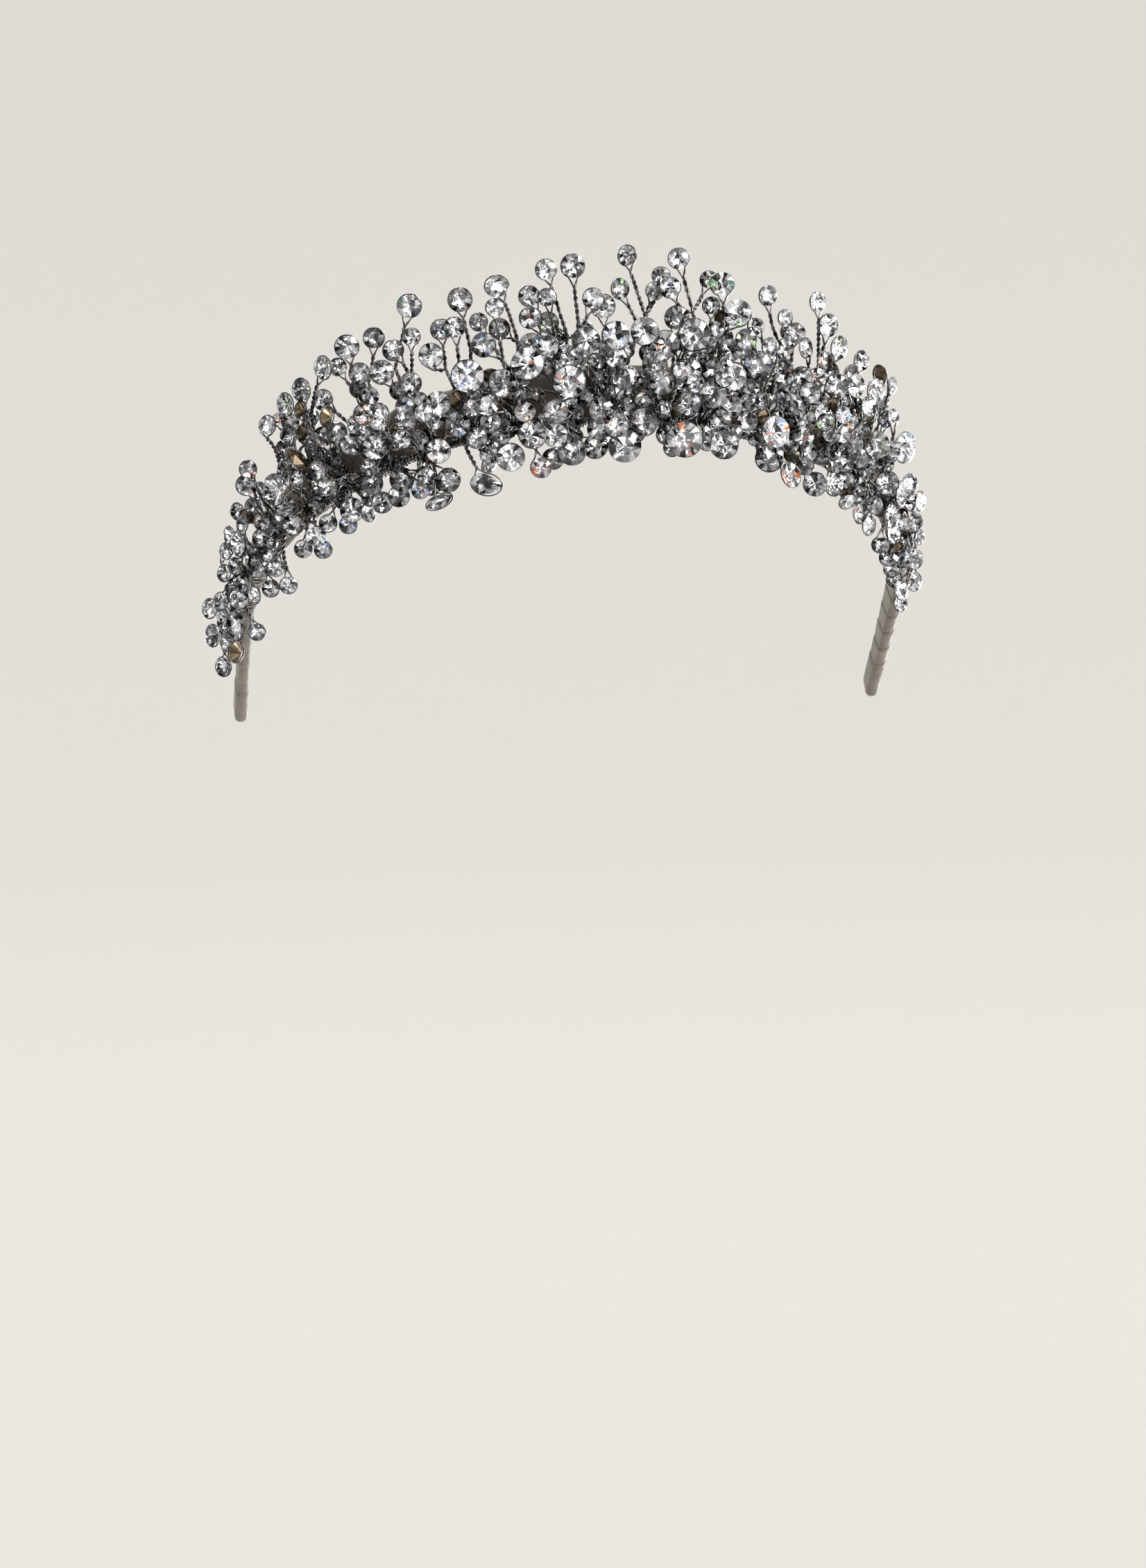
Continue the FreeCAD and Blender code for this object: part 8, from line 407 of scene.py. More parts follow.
    (19, "r", 4, 4, 62.01, -40.91, 25.45, -0.489, -0.826, -0.28, -0.45, -0.036, 0.892, 61.45, -41.33, 27.67, 60.57, -43.1, 31.49, 57.93, -45.57, 33.8),
    (19, "r", 4, 4, 57.21, -47.31, 25.44, 0.186, -0.855, -0.484, 0.21, -0.447, 0.87, 58.4, -48.1, 27.29, 59.28, -47.14, 29.86, 58.8, -44.88, 31.59),
    (19, "r", 4, 4, 64.69, -42.38, 34.05, -0.228, -0.953, 0.201, 0.174, 0.163, 0.971, 62.69, -42.15, 32.88, 61.76, -42.84, 32.67, 60.78, -43.34, 32.25),
    (19, "r", 4, 4, 56.31, -48.8, 34.42, -0.63, -0.763, -0.142, -0.539, 0.562, -0.627, 54.57, -47.29, 34.01, 55.83, -45.88, 34.59, 57.49, -44.81, 34.67),
    (19, "r", 4, 4, 62.23, -43.24, 28.06, -0.191, -0.958, -0.211, -0.377, 0.271, -0.886, 61.04, -43.44, 30.05, 60.36, -44.14, 31.6, 59.08, -44.9, 32.67),
    (19, "r", 4.7, 4.7, 59.92, -46.45, 35.54, -0.126, -0.989, -0.08, -0.51, 0.133, -0.85, 59.67, -46.2, 32.88, 59.82, -45.02, 31.71, 59.7, -43.82, 30.56),
    (19, "r", 4, 4, 56.66, -47.45, 30.56, -0.276, -0.905, -0.325, -0.843, 0.39, -0.37, 55.92, -47.99, 32.71, 56.58, -47.12, 32.83, 56.74, -46.16, 32.32),
    (19, "r", 4, 4, 57.22, -45.25, 28.11, -0.285, 0.948, -0.139, 0.944, 0.303, 0.134, 57.89, -44.73, 30.28, 58.53, -44.89, 31.57, 58.92, -44.97, 32.96),
    (19, "r", 4, 4, 59.51, -45.62, 31.23, 0.002, -0.703, 0.711, 0.806, -0.419, -0.417, 60.05, -44, 32.83, 60.24, -43.57, 33.1, 60.25, -43.03, 33.06),
    (20, "r", 4, 4, 69.82, -41.81, 44.44, 0.631, -0.774, 0.046, -0.748, -0.592, 0.299, 69.54, -42.17, 42.16, 67.99, -42.52, 35.04, 64.7, -40.17, 28.98),
    (20, "r", 4, 4, 67.02, -36.37, 14.84, -0.225, -0.926, -0.302, 0.368, -0.368, 0.854, 66.89, -37.06, 17.06, 68, -37.54, 22.8, 67.22, -36.37, 28.49),
    (20, "r", 7.2, 7.2, 73.04, -39.14, 37.43, 0.622, -0.776, -0.099, 0.777, 0.628, -0.043, 70.29, -41.09, 35.42, 69.2, -41.82, 34.77, 67.94, -42, 34.05),
    (20, "r", 4.7, 4.7, 75.78, -31.59, 24.77, 0.605, -0.796, -0.01, 0.34, 0.27, -0.901, 73.65, -33.2, 24.54, 71.2, -35.41, 24.97, 68.49, -37.07, 23.99),
    (20, "r", 4.7, 4.7, 70.78, -34.61, 17.41, 0.635, -0.768, 0.084, -0.713, -0.624, -0.32, 69.75, -35.19, 19.81, 69.47, -36.31, 24.17, 67.05, -37.82, 27.65),
    (20, "r", 4.7, 4.7, 74.47, -37.08, 28.98, 0.567, -0.823, 0.021, -0.109, -0.05, 0.993, 72.26, -38.6, 28.9, 68.9, -39.2, 29.43, 65.54, -39.35, 28.66),
    (20, "r", 4, 4, 62.52, -43.86, 32.06, 0.092, -0.993, 0.076, -0.935, -0.113, -0.337, 64.51, -43.77, 30.86, 67.58, -40.35, 29.55, 68.12, -36, 27.67),
    (20, "r", 5.4, 5.4, 69.14, -40.95, 21.68, 0.597, -0.798, -0.078, -0.742, -0.587, 0.324, 69.25, -41.17, 24.7, 68.6, -39.83, 27.21, 66.75, -37.91, 28.36),
    (20, "r", 5.4, 5.4, 71.32, -40.49, 26.25, 0.823, -0.568, 0.008, -0.5, -0.718, 0.484, 69.95, -42.46, 28.1, 67.41, -41.47, 29.42, 65.01, -39.85, 28.56),
    (20, "r", 4, 4, 67.87, -39.78, 33.59, -0.092, -0.993, -0.077, 0.299, -0.101, 0.949, 67.71, -39.59, 31.27, 67.95, -38.35, 29.22, 67.73, -36.29, 28.02),
    (20, "r", 4, 4, 69.38, -37.39, 26.09, 0.285, -0.943, 0.173, 0.598, 0.034, -0.801, 67.19, -37.95, 26.66, 66.52, -38.34, 27.14, 65.73, -38.81, 27.15),
    (21, "r", 4, 4, 71.15, -29.06, 9.08, -0.519, -0.845, 0.126, -0.772, 0.401, -0.493, 71.47, -28.92, 11.38, 72.74, -29.64, 18.59, 70.97, -31.89, 25.36),
    (21, "r", 4.7, 4.7, 76.98, -29.25, 11, 0.426, -0.904, -0.026, -0.774, -0.349, -0.528, 75.97, -29.8, 13.42, 75.45, -29.95, 16.93, 72.9, -29.92, 19.42),
    (21, "r", 4, 4, 74.65, -32.3, 12.17, -0.326, -0.945, -0.018, 0.678, -0.247, 0.693, 74.13, -32.17, 14.43, 74.09, -31.07, 19.34, 72.42, -30.17, 23.99),
    (21, "r", 4.7, 4.7, 69.85, -32.98, 12.04, -0.271, -0.839, 0.471, 0.639, -0.523, -0.563, 70.43, -31.84, 14.39, 72.2, -31.06, 19.59, 71.32, -31.43, 25.04),
    (21, "r", 4, 4, 77.81, -22.57, 24.49, 0.552, 0.457, 0.697, -0.767, 0.607, 0.209, 77.74, -24.49, 25.81, 76.22, -27.33, 24.37, 74.01, -28.93, 22.13),
    (21, "r", 4, 4, 78.02, -27.43, 16.28, 0.377, -0.922, 0.09, -0.124, -0.147, -0.981, 76.23, -28.03, 17.65, 74.57, -29.42, 20.04, 72.13, -31.06, 21.37),
    (21, "r", 4.7, 4.7, 77.57, -33.92, 24.77, 0.757, -0.653, -0.033, -0.652, -0.752, -0.094, 75.85, -35.88, 24.14, 73.74, -33.67, 24.58, 71.84, -31.24, 24.55),
    (21, "r", 4, 4, 71.77, -30.61, 14.65, -0.18, 0.87, -0.459, 0.954, 0.041, -0.297, 72.29, -29.47, 16.61, 73.35, -28.73, 19.49, 73.91, -27.68, 22.41),
    (21, "r", 4.7, 4.7, 76.89, -30.6, 20, 0.547, -0.831, 0.101, -0.735, -0.419, 0.533, 75.49, -31.25, 22.19, 74.54, -30.38, 23.29, 73.17, -29.39, 23.24),
    (21, "r", 4, 4, 73.42, -32.68, 19.53, -0.183, -0.857, -0.482, -0.983, 0.143, 0.118, 72.07, -33.38, 21.29, 72.15, -32.81, 22.16, 72.07, -31.91, 22.69),
    (22, "r", 4, 4, 73.36, -28.71, 0.83, 0.481, -0.877, 0.004, 0.014, 0.012, 1, 73.83, -28.45, 3.09, 76.78, -26.75, 11.37, 76.01, -24.11, 19.88),
    (22, "r", 4.7, 4.7, 73.15, -30.74, 4.02, 0.65, -0.757, 0.063, 0.354, 0.376, 0.856, 74.15, -29.69, 6.28, 75.74, -28.43, 9.43, 76.71, -26.55, 12.53),
    (22, "r", 4, 4, 72.28, -27.44, 6.36, 0.108, -0.994, 0.003, 0.994, 0.108, -0.016, 73.18, -27.33, 8.51, 75.54, -25.29, 13.61, 76.93, -22.33, 18.61),
    (22, "r", 4.7, 4.7, 78.71, -20.37, 5.35, 0.549, -0.836, -0.018, -0.179, -0.096, -0.979, 78.44, -20.61, 8, 78.84, -20.86, 13.06, 77.48, -21.55, 17.91),
    (22, "r", 4, 4, 73.98, -26.17, 10.01, -0.062, -0.969, -0.237, -0.987, 0.024, 0.161, 75.15, -26.72, 11.95, 76.9, -24.34, 15.24, 77.78, -20.54, 17.32),
    (22, "r", 4, 4, 74.97, -29.01, 14.97, -0.052, -0.989, 0.136, -0.659, 0.136, 0.74, 76.49, -28.85, 16.73, 78.64, -24.43, 18.23, 78.06, -19.55, 16.72)
]
TRUNKS = [
    (9, 0.5, -46.69, -51.02, 59.3, -44.02, -54.93, 51.47, -39.21, -55.22, 42.16),
    (9, 0.5, -43.44, -53.57, 56.86, -41.98, -55.85, 50.11, -39.28, -55.2, 42.14),
    (8, 0.5, -55.35, -47.3, 56.77, -51.95, -49.13, 47.58, -48.21, -50.96, 38.91),
    (8, 0.5, -53.65, -47.46, 51.72, -50.71, -50.1, 45.56, -47.79, -51.19, 39.08),
    (7, 0.5, -64.8, -39.6, 45.76, -60.96, -43.13, 39.5, -56.69, -45.6, 35.04),
    (10, 0.5, -30.23, -57.49, 62.5, -30.24, -59.5, 52.88, -28.25, -58.92, 45.08),
    (11, 0.5, -19.89, -59.34, 64.66, -19.79, -61.26, 56.35, -19.01, -60.99, 46.72),
    (11, 0.5, -21.96, -60.34, 58.06, -19.96, -62.13, 52.71, -17.59, -61.24, 46.91),
    (12, 0.5, -8.73, -60.51, 65.26, -10.15, -61.81, 56.08, -11.03, -62.1, 47.6),
    (12, 0.5, -6.11, -60.36, 67.67, -6.3, -62.04, 57.38, -7.38, -62.41, 47.84),
    (14, 0.5, 9.41, -60.12, 68.48, 11.41, -60.93, 57.97, 11.73, -62.03, 47.54),
    (13, 0.5, 7.45, -61.18, 66.97, 3.88, -62.68, 57.58, -1.03, -62.65, 48.03),
    (15, 0.5, 20.04, -59.38, 70.38, 21.6, -61.46, 57.73, 23.11, -60.18, 46.08),
    (15, 0.5, 27.21, -58.46, 64.9, 24.94, -61.14, 55.54, 22.64, -60.28, 46.16),
    (16, 0.5, 40.39, -53.65, 63.5, 38.45, -57.65, 53, 34.16, -57.11, 43.65),
    (17, 0.5, 50.88, -48.61, 56.15, 47.28, -51.91, 48.41, 42.89, -53.64, 40.92),
    (17, 0.5, 49.06, -50.98, 54.14, 45.46, -52.62, 47.14, 42.19, -53.95, 41.16),
    (18, 0.5, 55.42, -46.69, 52.85, 54.48, -48.12, 45.19, 51.28, -49.19, 37.62),
    (16, 0.5, 38.01, -55.38, 58.99, 35.82, -57.31, 51.24, 33.73, -57.25, 43.76),
    (18, 0.5, 59.24, -43.68, 50.2, 55.82, -46.61, 43.9, 52.04, -48.72, 37.28),
    (8, 0.5, -52.41, -47.87, 57.15, -51.72, -49.38, 47.73, -49.83, -50.05, 38.24),
    (10, 0.5, -35.9, -55.42, 58.96, -33.37, -58.69, 52.15, -29.98, -58.43, 44.69),
    (17, 0.5, 43.9, -53.48, 55.07, 42.43, -54.72, 48.43, 40.83, -54.55, 41.63),
    (6, 0.5, -72.17, -31.95, 38.8, -69.31, -34.85, 34.38, -66.13, -37.39, 29.29),
    (4, 0.5, -78.55, -21.12, 15.91, -77.85, -22.43, 17.74, -76.12, -23.68, 19.65)
]
MM = 0.001

# ------------------------------------------------------------------ the headband's curve
BACK = np.array([0.0, math.sin(LEAN), -math.cos(LEAN)])
NORMAL = np.array([0.0, math.cos(LEAN), math.sin(LEAN)])
SIDE = np.array([1.0, 0.0, 0.0])
_u = np.linspace(0, math.pi / 2, 4001)
_l, _t = HALF_WIDTH * np.sin(_u), CROWN_DEPTH * (1 - np.cos(_u))
_s = np.concatenate([[0], np.cumsum(np.hypot(np.diff(_l), np.diff(_t)))])
QUARTER = float(_s[-1])
END = QUARTER + LEG


def station(s):
    a, sign = abs(s), -1.0 if s < 0 else 1.0
    if a <= QUARTER:
        k = float(np.interp(a, _s, _u))
        l, t = HALF_WIDTH * math.sin(k), CROWN_DEPTH * (1 - math.cos(k))
        nx, nt = l / HALF_WIDTH ** 2, (t - CROWN_DEPTH) / CROWN_DEPTH ** 2
        m = math.hypot(nx, nt)
        nx, nt = nx / m, nt / m
    else:
        l, t, nx, nt = HALF_WIDTH, CROWN_DEPTH + a - QUARTER, 1.0, 0.0
    pos = SIDE * (l * sign) + BACK * (t - CROWN_DEPTH)
    out = SIDE * (nx * sign) + BACK * nt
    k = min(1.0, max(0.0, (a - 40.0) / 80.0))
    lean_out = FLARE * (1 - k * k * (3 - 2 * k))
    up = out * math.sin(lean_out) + NORMAL * math.cos(lean_out)
    front = out * math.cos(lean_out) - NORMAL * math.sin(lean_out)
    return pos, up, front, np.cross(up, front)


def on_crown(s, h, q):
    pos, up, front, _ = station(s)
    return pos + up * h + front * q


def unit(v):
    return v / max(1e-9, float(np.linalg.norm(v)))


# ------------------------------------------------------------------ mesh gathering
class Gather:
    """Vertices and faces in millimetres, with a material index, a painted tone (the painted reflection on the
    crystal foil) and smoothness for each face.
    """

    def __init__(self):
        self.v, self.f, self.m, self.c, self.sm, self.uv = [], [], [], [], [], []
        self.n = 0

    def add(self, verts, faces, mat=0, painted_tone=(1, 1, 1), smooth=False, uvs=None):
        verts = np.asarray(verts, float)
        base = self.n
        self.v.append(verts)
        self.n += len(verts)
        for i, f in enumerate(faces):
            self.f.append([base + j for j in f])
            self.m.append(mat if isinstance(mat, int) else mat[i])
            self.c.append(painted_tone if not isinstance(painted_tone, list) else painted_tone[i])
            self.sm.append(smooth)
            self.uv.append(None if uvs is None else [uvs[j] for j in f])

    def make(self, name, materials, attribute=True):
        me = bpy.data.meshes.new(name)
        me.from_pydata((np.concatenate(self.v) * MM).tolist(), [], self.f)
        me.polygons.foreach_set("material_index", self.m)
        me.polygons.foreach_set("use_smooth", self.sm)
        for m in materials:
            me.materials.append(m)
        if attribute:
            # colour attribute holding the painted tone: painted reflection on the crystal foil facets
            layer = me.color_attributes.new("painted_tone", "FLOAT_COLOR", "CORNER")
            data = np.ones((len(me.loops), 4), np.float32)
            k = 0
            for f, c in zip(self.f, self.c):
                data[k:k + len(f), :3] = c
                k += len(f)
            layer.data.foreach_set("color", data.ravel())
        if any(u is not None for u in self.uv):
            uvl = me.uv_layers.new(name="cloth")
            data = np.zeros((len(me.loops), 2), np.float32)
            k = 0
            for f, u in zip(self.f, self.uv):
                if u is not None:
                    data[k:k + len(f)] = u
                k += len(f)
            uvl.data.foreach_set("uv", data.ravel())
        me.update()
        me.validate()
        ob = bpy.data.objects.new(name, me)
        bpy.context.scene.collection.objects.link(ob)
        return ob


def tube(g, pts, radius, sides=6, mat=0, painted_tone=(1, 1, 1)):
    """Round wire along points, with rounded-off closed ends."""
    pts = np.asarray(pts, float)
    keep = np.concatenate([[True], np.linalg.norm(np.diff(pts, axis=0), axis=1) > 1e-4])
    pts = pts[keep]
    n = len(pts)
    if n < 2:
        return
    tan = np.gradient(pts, axis=0)
    tan /= np.maximum(np.linalg.norm(tan, axis=1), 1e-9)[:, None]
    ref = np.array([0.0, 0.0, 1.0]) if abs(tan[0][2]) < 0.9 else np.array([1.0, 0.0, 0.0])
    a = unit(np.cross(tan[0], ref))
    rings = []
    r = np.full(n, radius) if np.isscalar(radius) else np.asarray(radius, float)[keep]
    ang = np.linspace(0, 2 * math.pi, sides, endpoint=False)
    ca, sa = np.cos(ang)[:, None], np.sin(ang)[:, None]
    for i in range(n):
        a = a - tan[i] * float(np.dot(a, tan[i]))
        a = unit(a)
        b = np.cross(tan[i], a)
        rings.append(pts[i] + r[i] * (ca * a + sa * b))
    verts = np.concatenate(rings + [pts[:1] - tan[:1] * r[0] * 0.6, pts[-1:] + tan[-1:] * r[-1] * 0.6])
    faces = []
    for i in range(n - 1):
        for j in range(sides):
            k = (j + 1) % sides
            faces.append([i * sides + j, i * sides + k, (i + 1) * sides + k, (i + 1) * sides + j])
    s0, s1 = n * sides, n * sides + 1
    for j in range(sides):
        k = (j + 1) % sides
        faces.append([s0, k, j])
        faces.append([s1, (n - 1) * sides + j, (n - 1) * sides + k])
    g.add(verts, faces, mat, painted_tone, smooth=True)


def arc_points(p0, pm, p1, step=0.35):
    """Points along the circle through three points."""
    p0, pm, p1 = (np.array(p, float) for p in (p0, pm, p1))
    chord = float(np.linalg.norm(p1 - p0))
    a, b = pm - p0, p1 - p0
    axis = np.cross(a, b)
    off = np.linalg.norm(np.cross(a, b)) / max(chord, 1e-6)
    n = max(3, int(chord / step) + 2)
    if chord < 4.0 or off < 0.03 * chord:
        return p0 + (p1 - p0) * np.linspace(0, 1, n)[:, None]
    centre = p0 + (np.cross(axis, a) * b.dot(b) + np.cross(b, axis) * a.dot(a)) / (2 * axis.dot(axis))
    x = unit(p0 - centre)
    z = unit(axis)
    y = np.cross(z, x)
    v = p1 - centre
    full = math.atan2(v.dot(y), v.dot(x)) % (2 * math.pi)
    r = float(np.linalg.norm(p0 - centre))
    t = np.linspace(0, full, max(n, int(r * full / step) + 2))
    return centre + r * (np.cos(t)[:, None] * x + np.sin(t)[:, None] * y)


def frames_along(pts):
    tan = np.gradient(pts, axis=0)
    tan /= np.maximum(np.linalg.norm(tan, axis=1), 1e-9)[:, None]
    ref = np.array([0.0, 0.0, 1.0]) if abs(tan[0][2]) < 0.9 else np.array([1.0, 0.0, 0.0])
    a = unit(np.cross(tan[0], ref))
    A, Bn = [], []
    for i in range(len(pts)):
        a = unit(a - tan[i] * float(np.dot(a, tan[i])))
        A.append(a)
        Bn.append(np.cross(tan[i], a))
    return tan, np.array(A), np.array(Bn)


def strand_path(path, offset, pitch, phase, ramp=1.0):
    """One strand of a twist: a helix of the given offset about the path."""
    seg = np.concatenate([[0], np.cumsum(np.linalg.norm(np.diff(path, axis=0), axis=1))])
    n = max(4, int(seg[-1] / (pitch / 9.0)) + 2)
    s = np.linspace(0, seg[-1], n)
    pts = np.stack([np.interp(s, seg, path[:, k]) for k in range(3)], 1)
    tan, A, Bn = frames_along(pts)
    ph = phase + 2 * math.pi * s / pitch
    return pts + offset * (np.cos(ph)[:, None] * A + np.sin(ph)[:, None] * Bn)


# ------------------------------------------------------------------ materials
def principled(name, base, metallic=0.0, rough=0.5, **more):
    m = bpy.data.materials.new(name)
    m.use_nodes = True
    nt = m.node_tree
    b = nt.nodes["Principled BSDF"]
    b.inputs["Base Color"].default_value = (*base, 1)
    b.inputs["Metallic"].default_value = metallic
    b.inputs["Roughness"].default_value = rough
    for k, v in more.items():
        b.inputs[k.replace("_", " ")].default_value = v
    return m, nt, b


def node(nt, kind, **props):
    n = nt.nodes.new(kind)
    for k, v in props.items():
        setattr(n, k, v)
    return n


def object_coords(nt, scale):
    tc = node(nt, "ShaderNodeTexCoord")
    mp = node(nt, "ShaderNodeMapping")
    mp.inputs["Scale"].default_value = (scale, scale, scale)
    nt.links.new(tc.outputs["Object"], mp.inputs["Vector"])
    return mp.outputs["Vector"]


# glass of the crystals
glass, nt, b = principled("crystal_glass", (1, 1, 1), 0.0, 0.0)
b.inputs["Transmission Weight"].default_value = 1.0
b.inputs["IOR"].default_value = 1.56

# mirrored foil seen through the glass; each facet's colour comes from the mesh and is a painted reflection
# (painted dark, grey and white tones and a few painted coloured glints)
foil, nt, b = principled("crystal_foil", (0.9, 0.9, 0.9), 0.84, 0.04)
at = node(nt, "ShaderNodeAttribute", attribute_name="painted_tone")
nt.links.new(at.outputs["Color"], b.inputs["Base Color"])

# the same foil where it is slightly rippled
soft_foil, nt, b = principled("crystal_foil_rippled", (0.9, 0.9, 0.9), 0.58, 0.10)
# the rippled foil also takes its colour from the painted reflection tone in the mesh
at = node(nt, "ShaderNodeAttribute", attribute_name="painted_tone")
nt.links.new(at.outputs["Color"], b.inputs["Base Color"])

# lacquer on the back of the foil
lacquer, nt, b = principled("crystal_lacquer", (0.06, 0.04, 0.02), 0.6, 0.26)
noise = node(nt, "ShaderNodeTexNoise")
noise.inputs["Scale"].default_value = 1.0
noise.inputs["Detail"].default_value = 4.0
nt.links.new(object_coords(nt, 900.0), noise.inputs["Vector"])
ramp = node(nt, "ShaderNodeValToRGB")
ramp.color_ramp.elements[0].position, ramp.color_ramp.elements[1].position = 0.35, 0.7
ramp.color_ramp.elements[0].color = (0.045, 0.033, 0.017, 1)
ramp.color_ramp.elements[1].color = (0.15, 0.108, 0.058, 1)
nt.links.new(noise.outputs["Fac"], ramp.inputs["Fac"])
nt.links.new(ramp.outputs["Color"], b.inputs["Base Color"])


def wire_material(name, bright, dark, rough, scale):
    m, nt, b = principled(name, bright, 1.0, rough)
    noise = node(nt, "ShaderNodeTexNoise")
    noise.inputs["Scale"].default_value = 1.0
    noise.inputs["Detail"].default_value = 5.0
    nt.links.new(object_coords(nt, scale), noise.inputs["Vector"])
    ramp = node(nt, "ShaderNodeValToRGB")
    ramp.color_ramp.elements[0].position, ramp.color_ramp.elements[1].position = 0.38, 0.62
    ramp.color_ramp.elements[0].color = (*dark, 1)
    ramp.color_ramp.elements[1].color = (*bright, 1)
    nt.links.new(noise.outputs["Fac"], ramp.inputs["Fac"])
    nt.links.new(ramp.outputs["Color"], b.inputs["Base Color"])
    rr = node(nt, "ShaderNodeMapRange")
    rr.inputs["To Min"].default_value = rough + 0.15
    rr.inputs["To Max"].default_value = rough - 0.05
    nt.links.new(noise.outputs["Fac"], rr.inputs["Value"])
    nt.links.new(rr.outputs["Result"], b.inputs["Roughness"])
    return m


# silver wire: the random mottle is tarnish, and the very dark base overall is painted shade for the shadow the
# wires lie in
wire_mat = wire_material("tarnished_silver_wire_painted_shade", (0.17, 0.165, 0.157), (0.018, 0.017, 0.016), 0.16, 450.0)
coil_mat = wire_material("coil_wire", (0.30, 0.29, 0.275), (0.03, 0.028, 0.026), 0.18, 600.0)
steel_mat = wire_material("spring_steel", (0.55, 0.55, 0.55), (0.35, 0.35, 0.35), 0.35, 200.0)

# taupe satin ribbon
ribbon_mat, nt, b = principled("taupe_ribbon", (0.26, 0.22, 0.18), 0.0, 0.62)
b.inputs["Sheen Weight"].default_value = 0.35
b.inputs["Sheen Roughness"].default_value = 0.4
uv = node(nt, "ShaderNodeUVMap", uv_map="cloth")
mp = node(nt, "ShaderNodeMapping")
nt.links.new(uv.outputs["UV"], mp.inputs["Vector"])
warp = node(nt, "ShaderNodeTexWave", wave_type="BANDS", bands_direction="X")
warp.inputs["Scale"].default_value = 1.0
mp.inputs["Scale"].default_value = (900.0, 900.0, 900.0)
weft = node(nt, "ShaderNodeTexWave", wave_type="BANDS", bands_direction="Y")
weft.inputs["Scale"].default_value = 0.8
for w in (warp, weft):
    nt.links.new(mp.outputs["Vector"], w.inputs["Vector"])
mix = node(nt, "ShaderNodeMath", operation="MULTIPLY")
nt.links.new(warp.outputs["Fac"], mix.inputs[0])
nt.links.new(weft.outputs["Fac"], mix.inputs[1])
bump = node(nt, "ShaderNodeBump")
bump.inputs["Strength"].default_value = 0.5
bump.inputs["Distance"].default_value = 0.00008
nt.links.new(mix.outputs["Value"], bump.inputs["Height"])
nt.links.new(bump.outputs["Normal"], b.inputs["Normal"])
noise = node(nt, "ShaderNodeTexNoise")
noise.inputs["Scale"].default_value = 1.0
noise.inputs["Detail"].default_value = 4.0
nt.links.new(object_coords(nt, 220.0), noise.inputs["Vector"])
ramp = node(nt, "ShaderNodeValToRGB")
ramp.color_ramp.elements[0].position, ramp.color_ramp.elements[1].position = 0.3, 0.7
ramp.color_ramp.elements[0].color = (0.155, 0.13, 0.107, 1)
ramp.color_ramp.elements[1].color = (0.235, 0.202, 0.168, 1)
nt.links.new(noise.outputs["Fac"], ramp.inputs["Fac"])
nt.links.new(ramp.outputs["Color"], b.inputs["Base Color"])


# ------------------------------------------------------------------ crystals
# painted reflection: each foil facet gets a painted dark, grey or white tone that stands in for the room
# reflected in it
def painted_facet_reflection():
    k = rng.random()
    # painted glints: a few facets get an orange, blue or green painted colour flash
    if k < 0.006:
        return (1.0, 0.36, 0.16)
    if k < 0.011:
        return (0.38, 0.58, 1.0)
    if k < 0.014:
        return (0.62, 0.95, 0.45)
    if k < 0.29:
        v = rng.uniform(0.01, 0.07)
        return (v, v * 0.95, v * 0.92)
    if k < 0.56:
        v = rng.uniform(0.18, 0.52)
        return (v * 0.99, v * 0.955, v * 0.985)
    v = rng.uniform(0.93, 1.0)
    return (v, v, v)


def outline(kind, length, width, n):
    """Girdle outline of a cut."""
    out = []
    for j in range(n):
        a = 2 * math.pi * j / n
        x, y = math.cos(a), math.sin(a)
        if kind == "m":
            y = math.copysign(max(0.0, 1 - x * x), y) if abs(y) > 1e-9 else 0.0
        elif kind == "p":
            y = y * (1.0 - 0.35 * (x + 0.1)) / 1.1 if x > -0.2 else y
        out.append((x * length / 2, y * width / 2))
    return np.array(out)


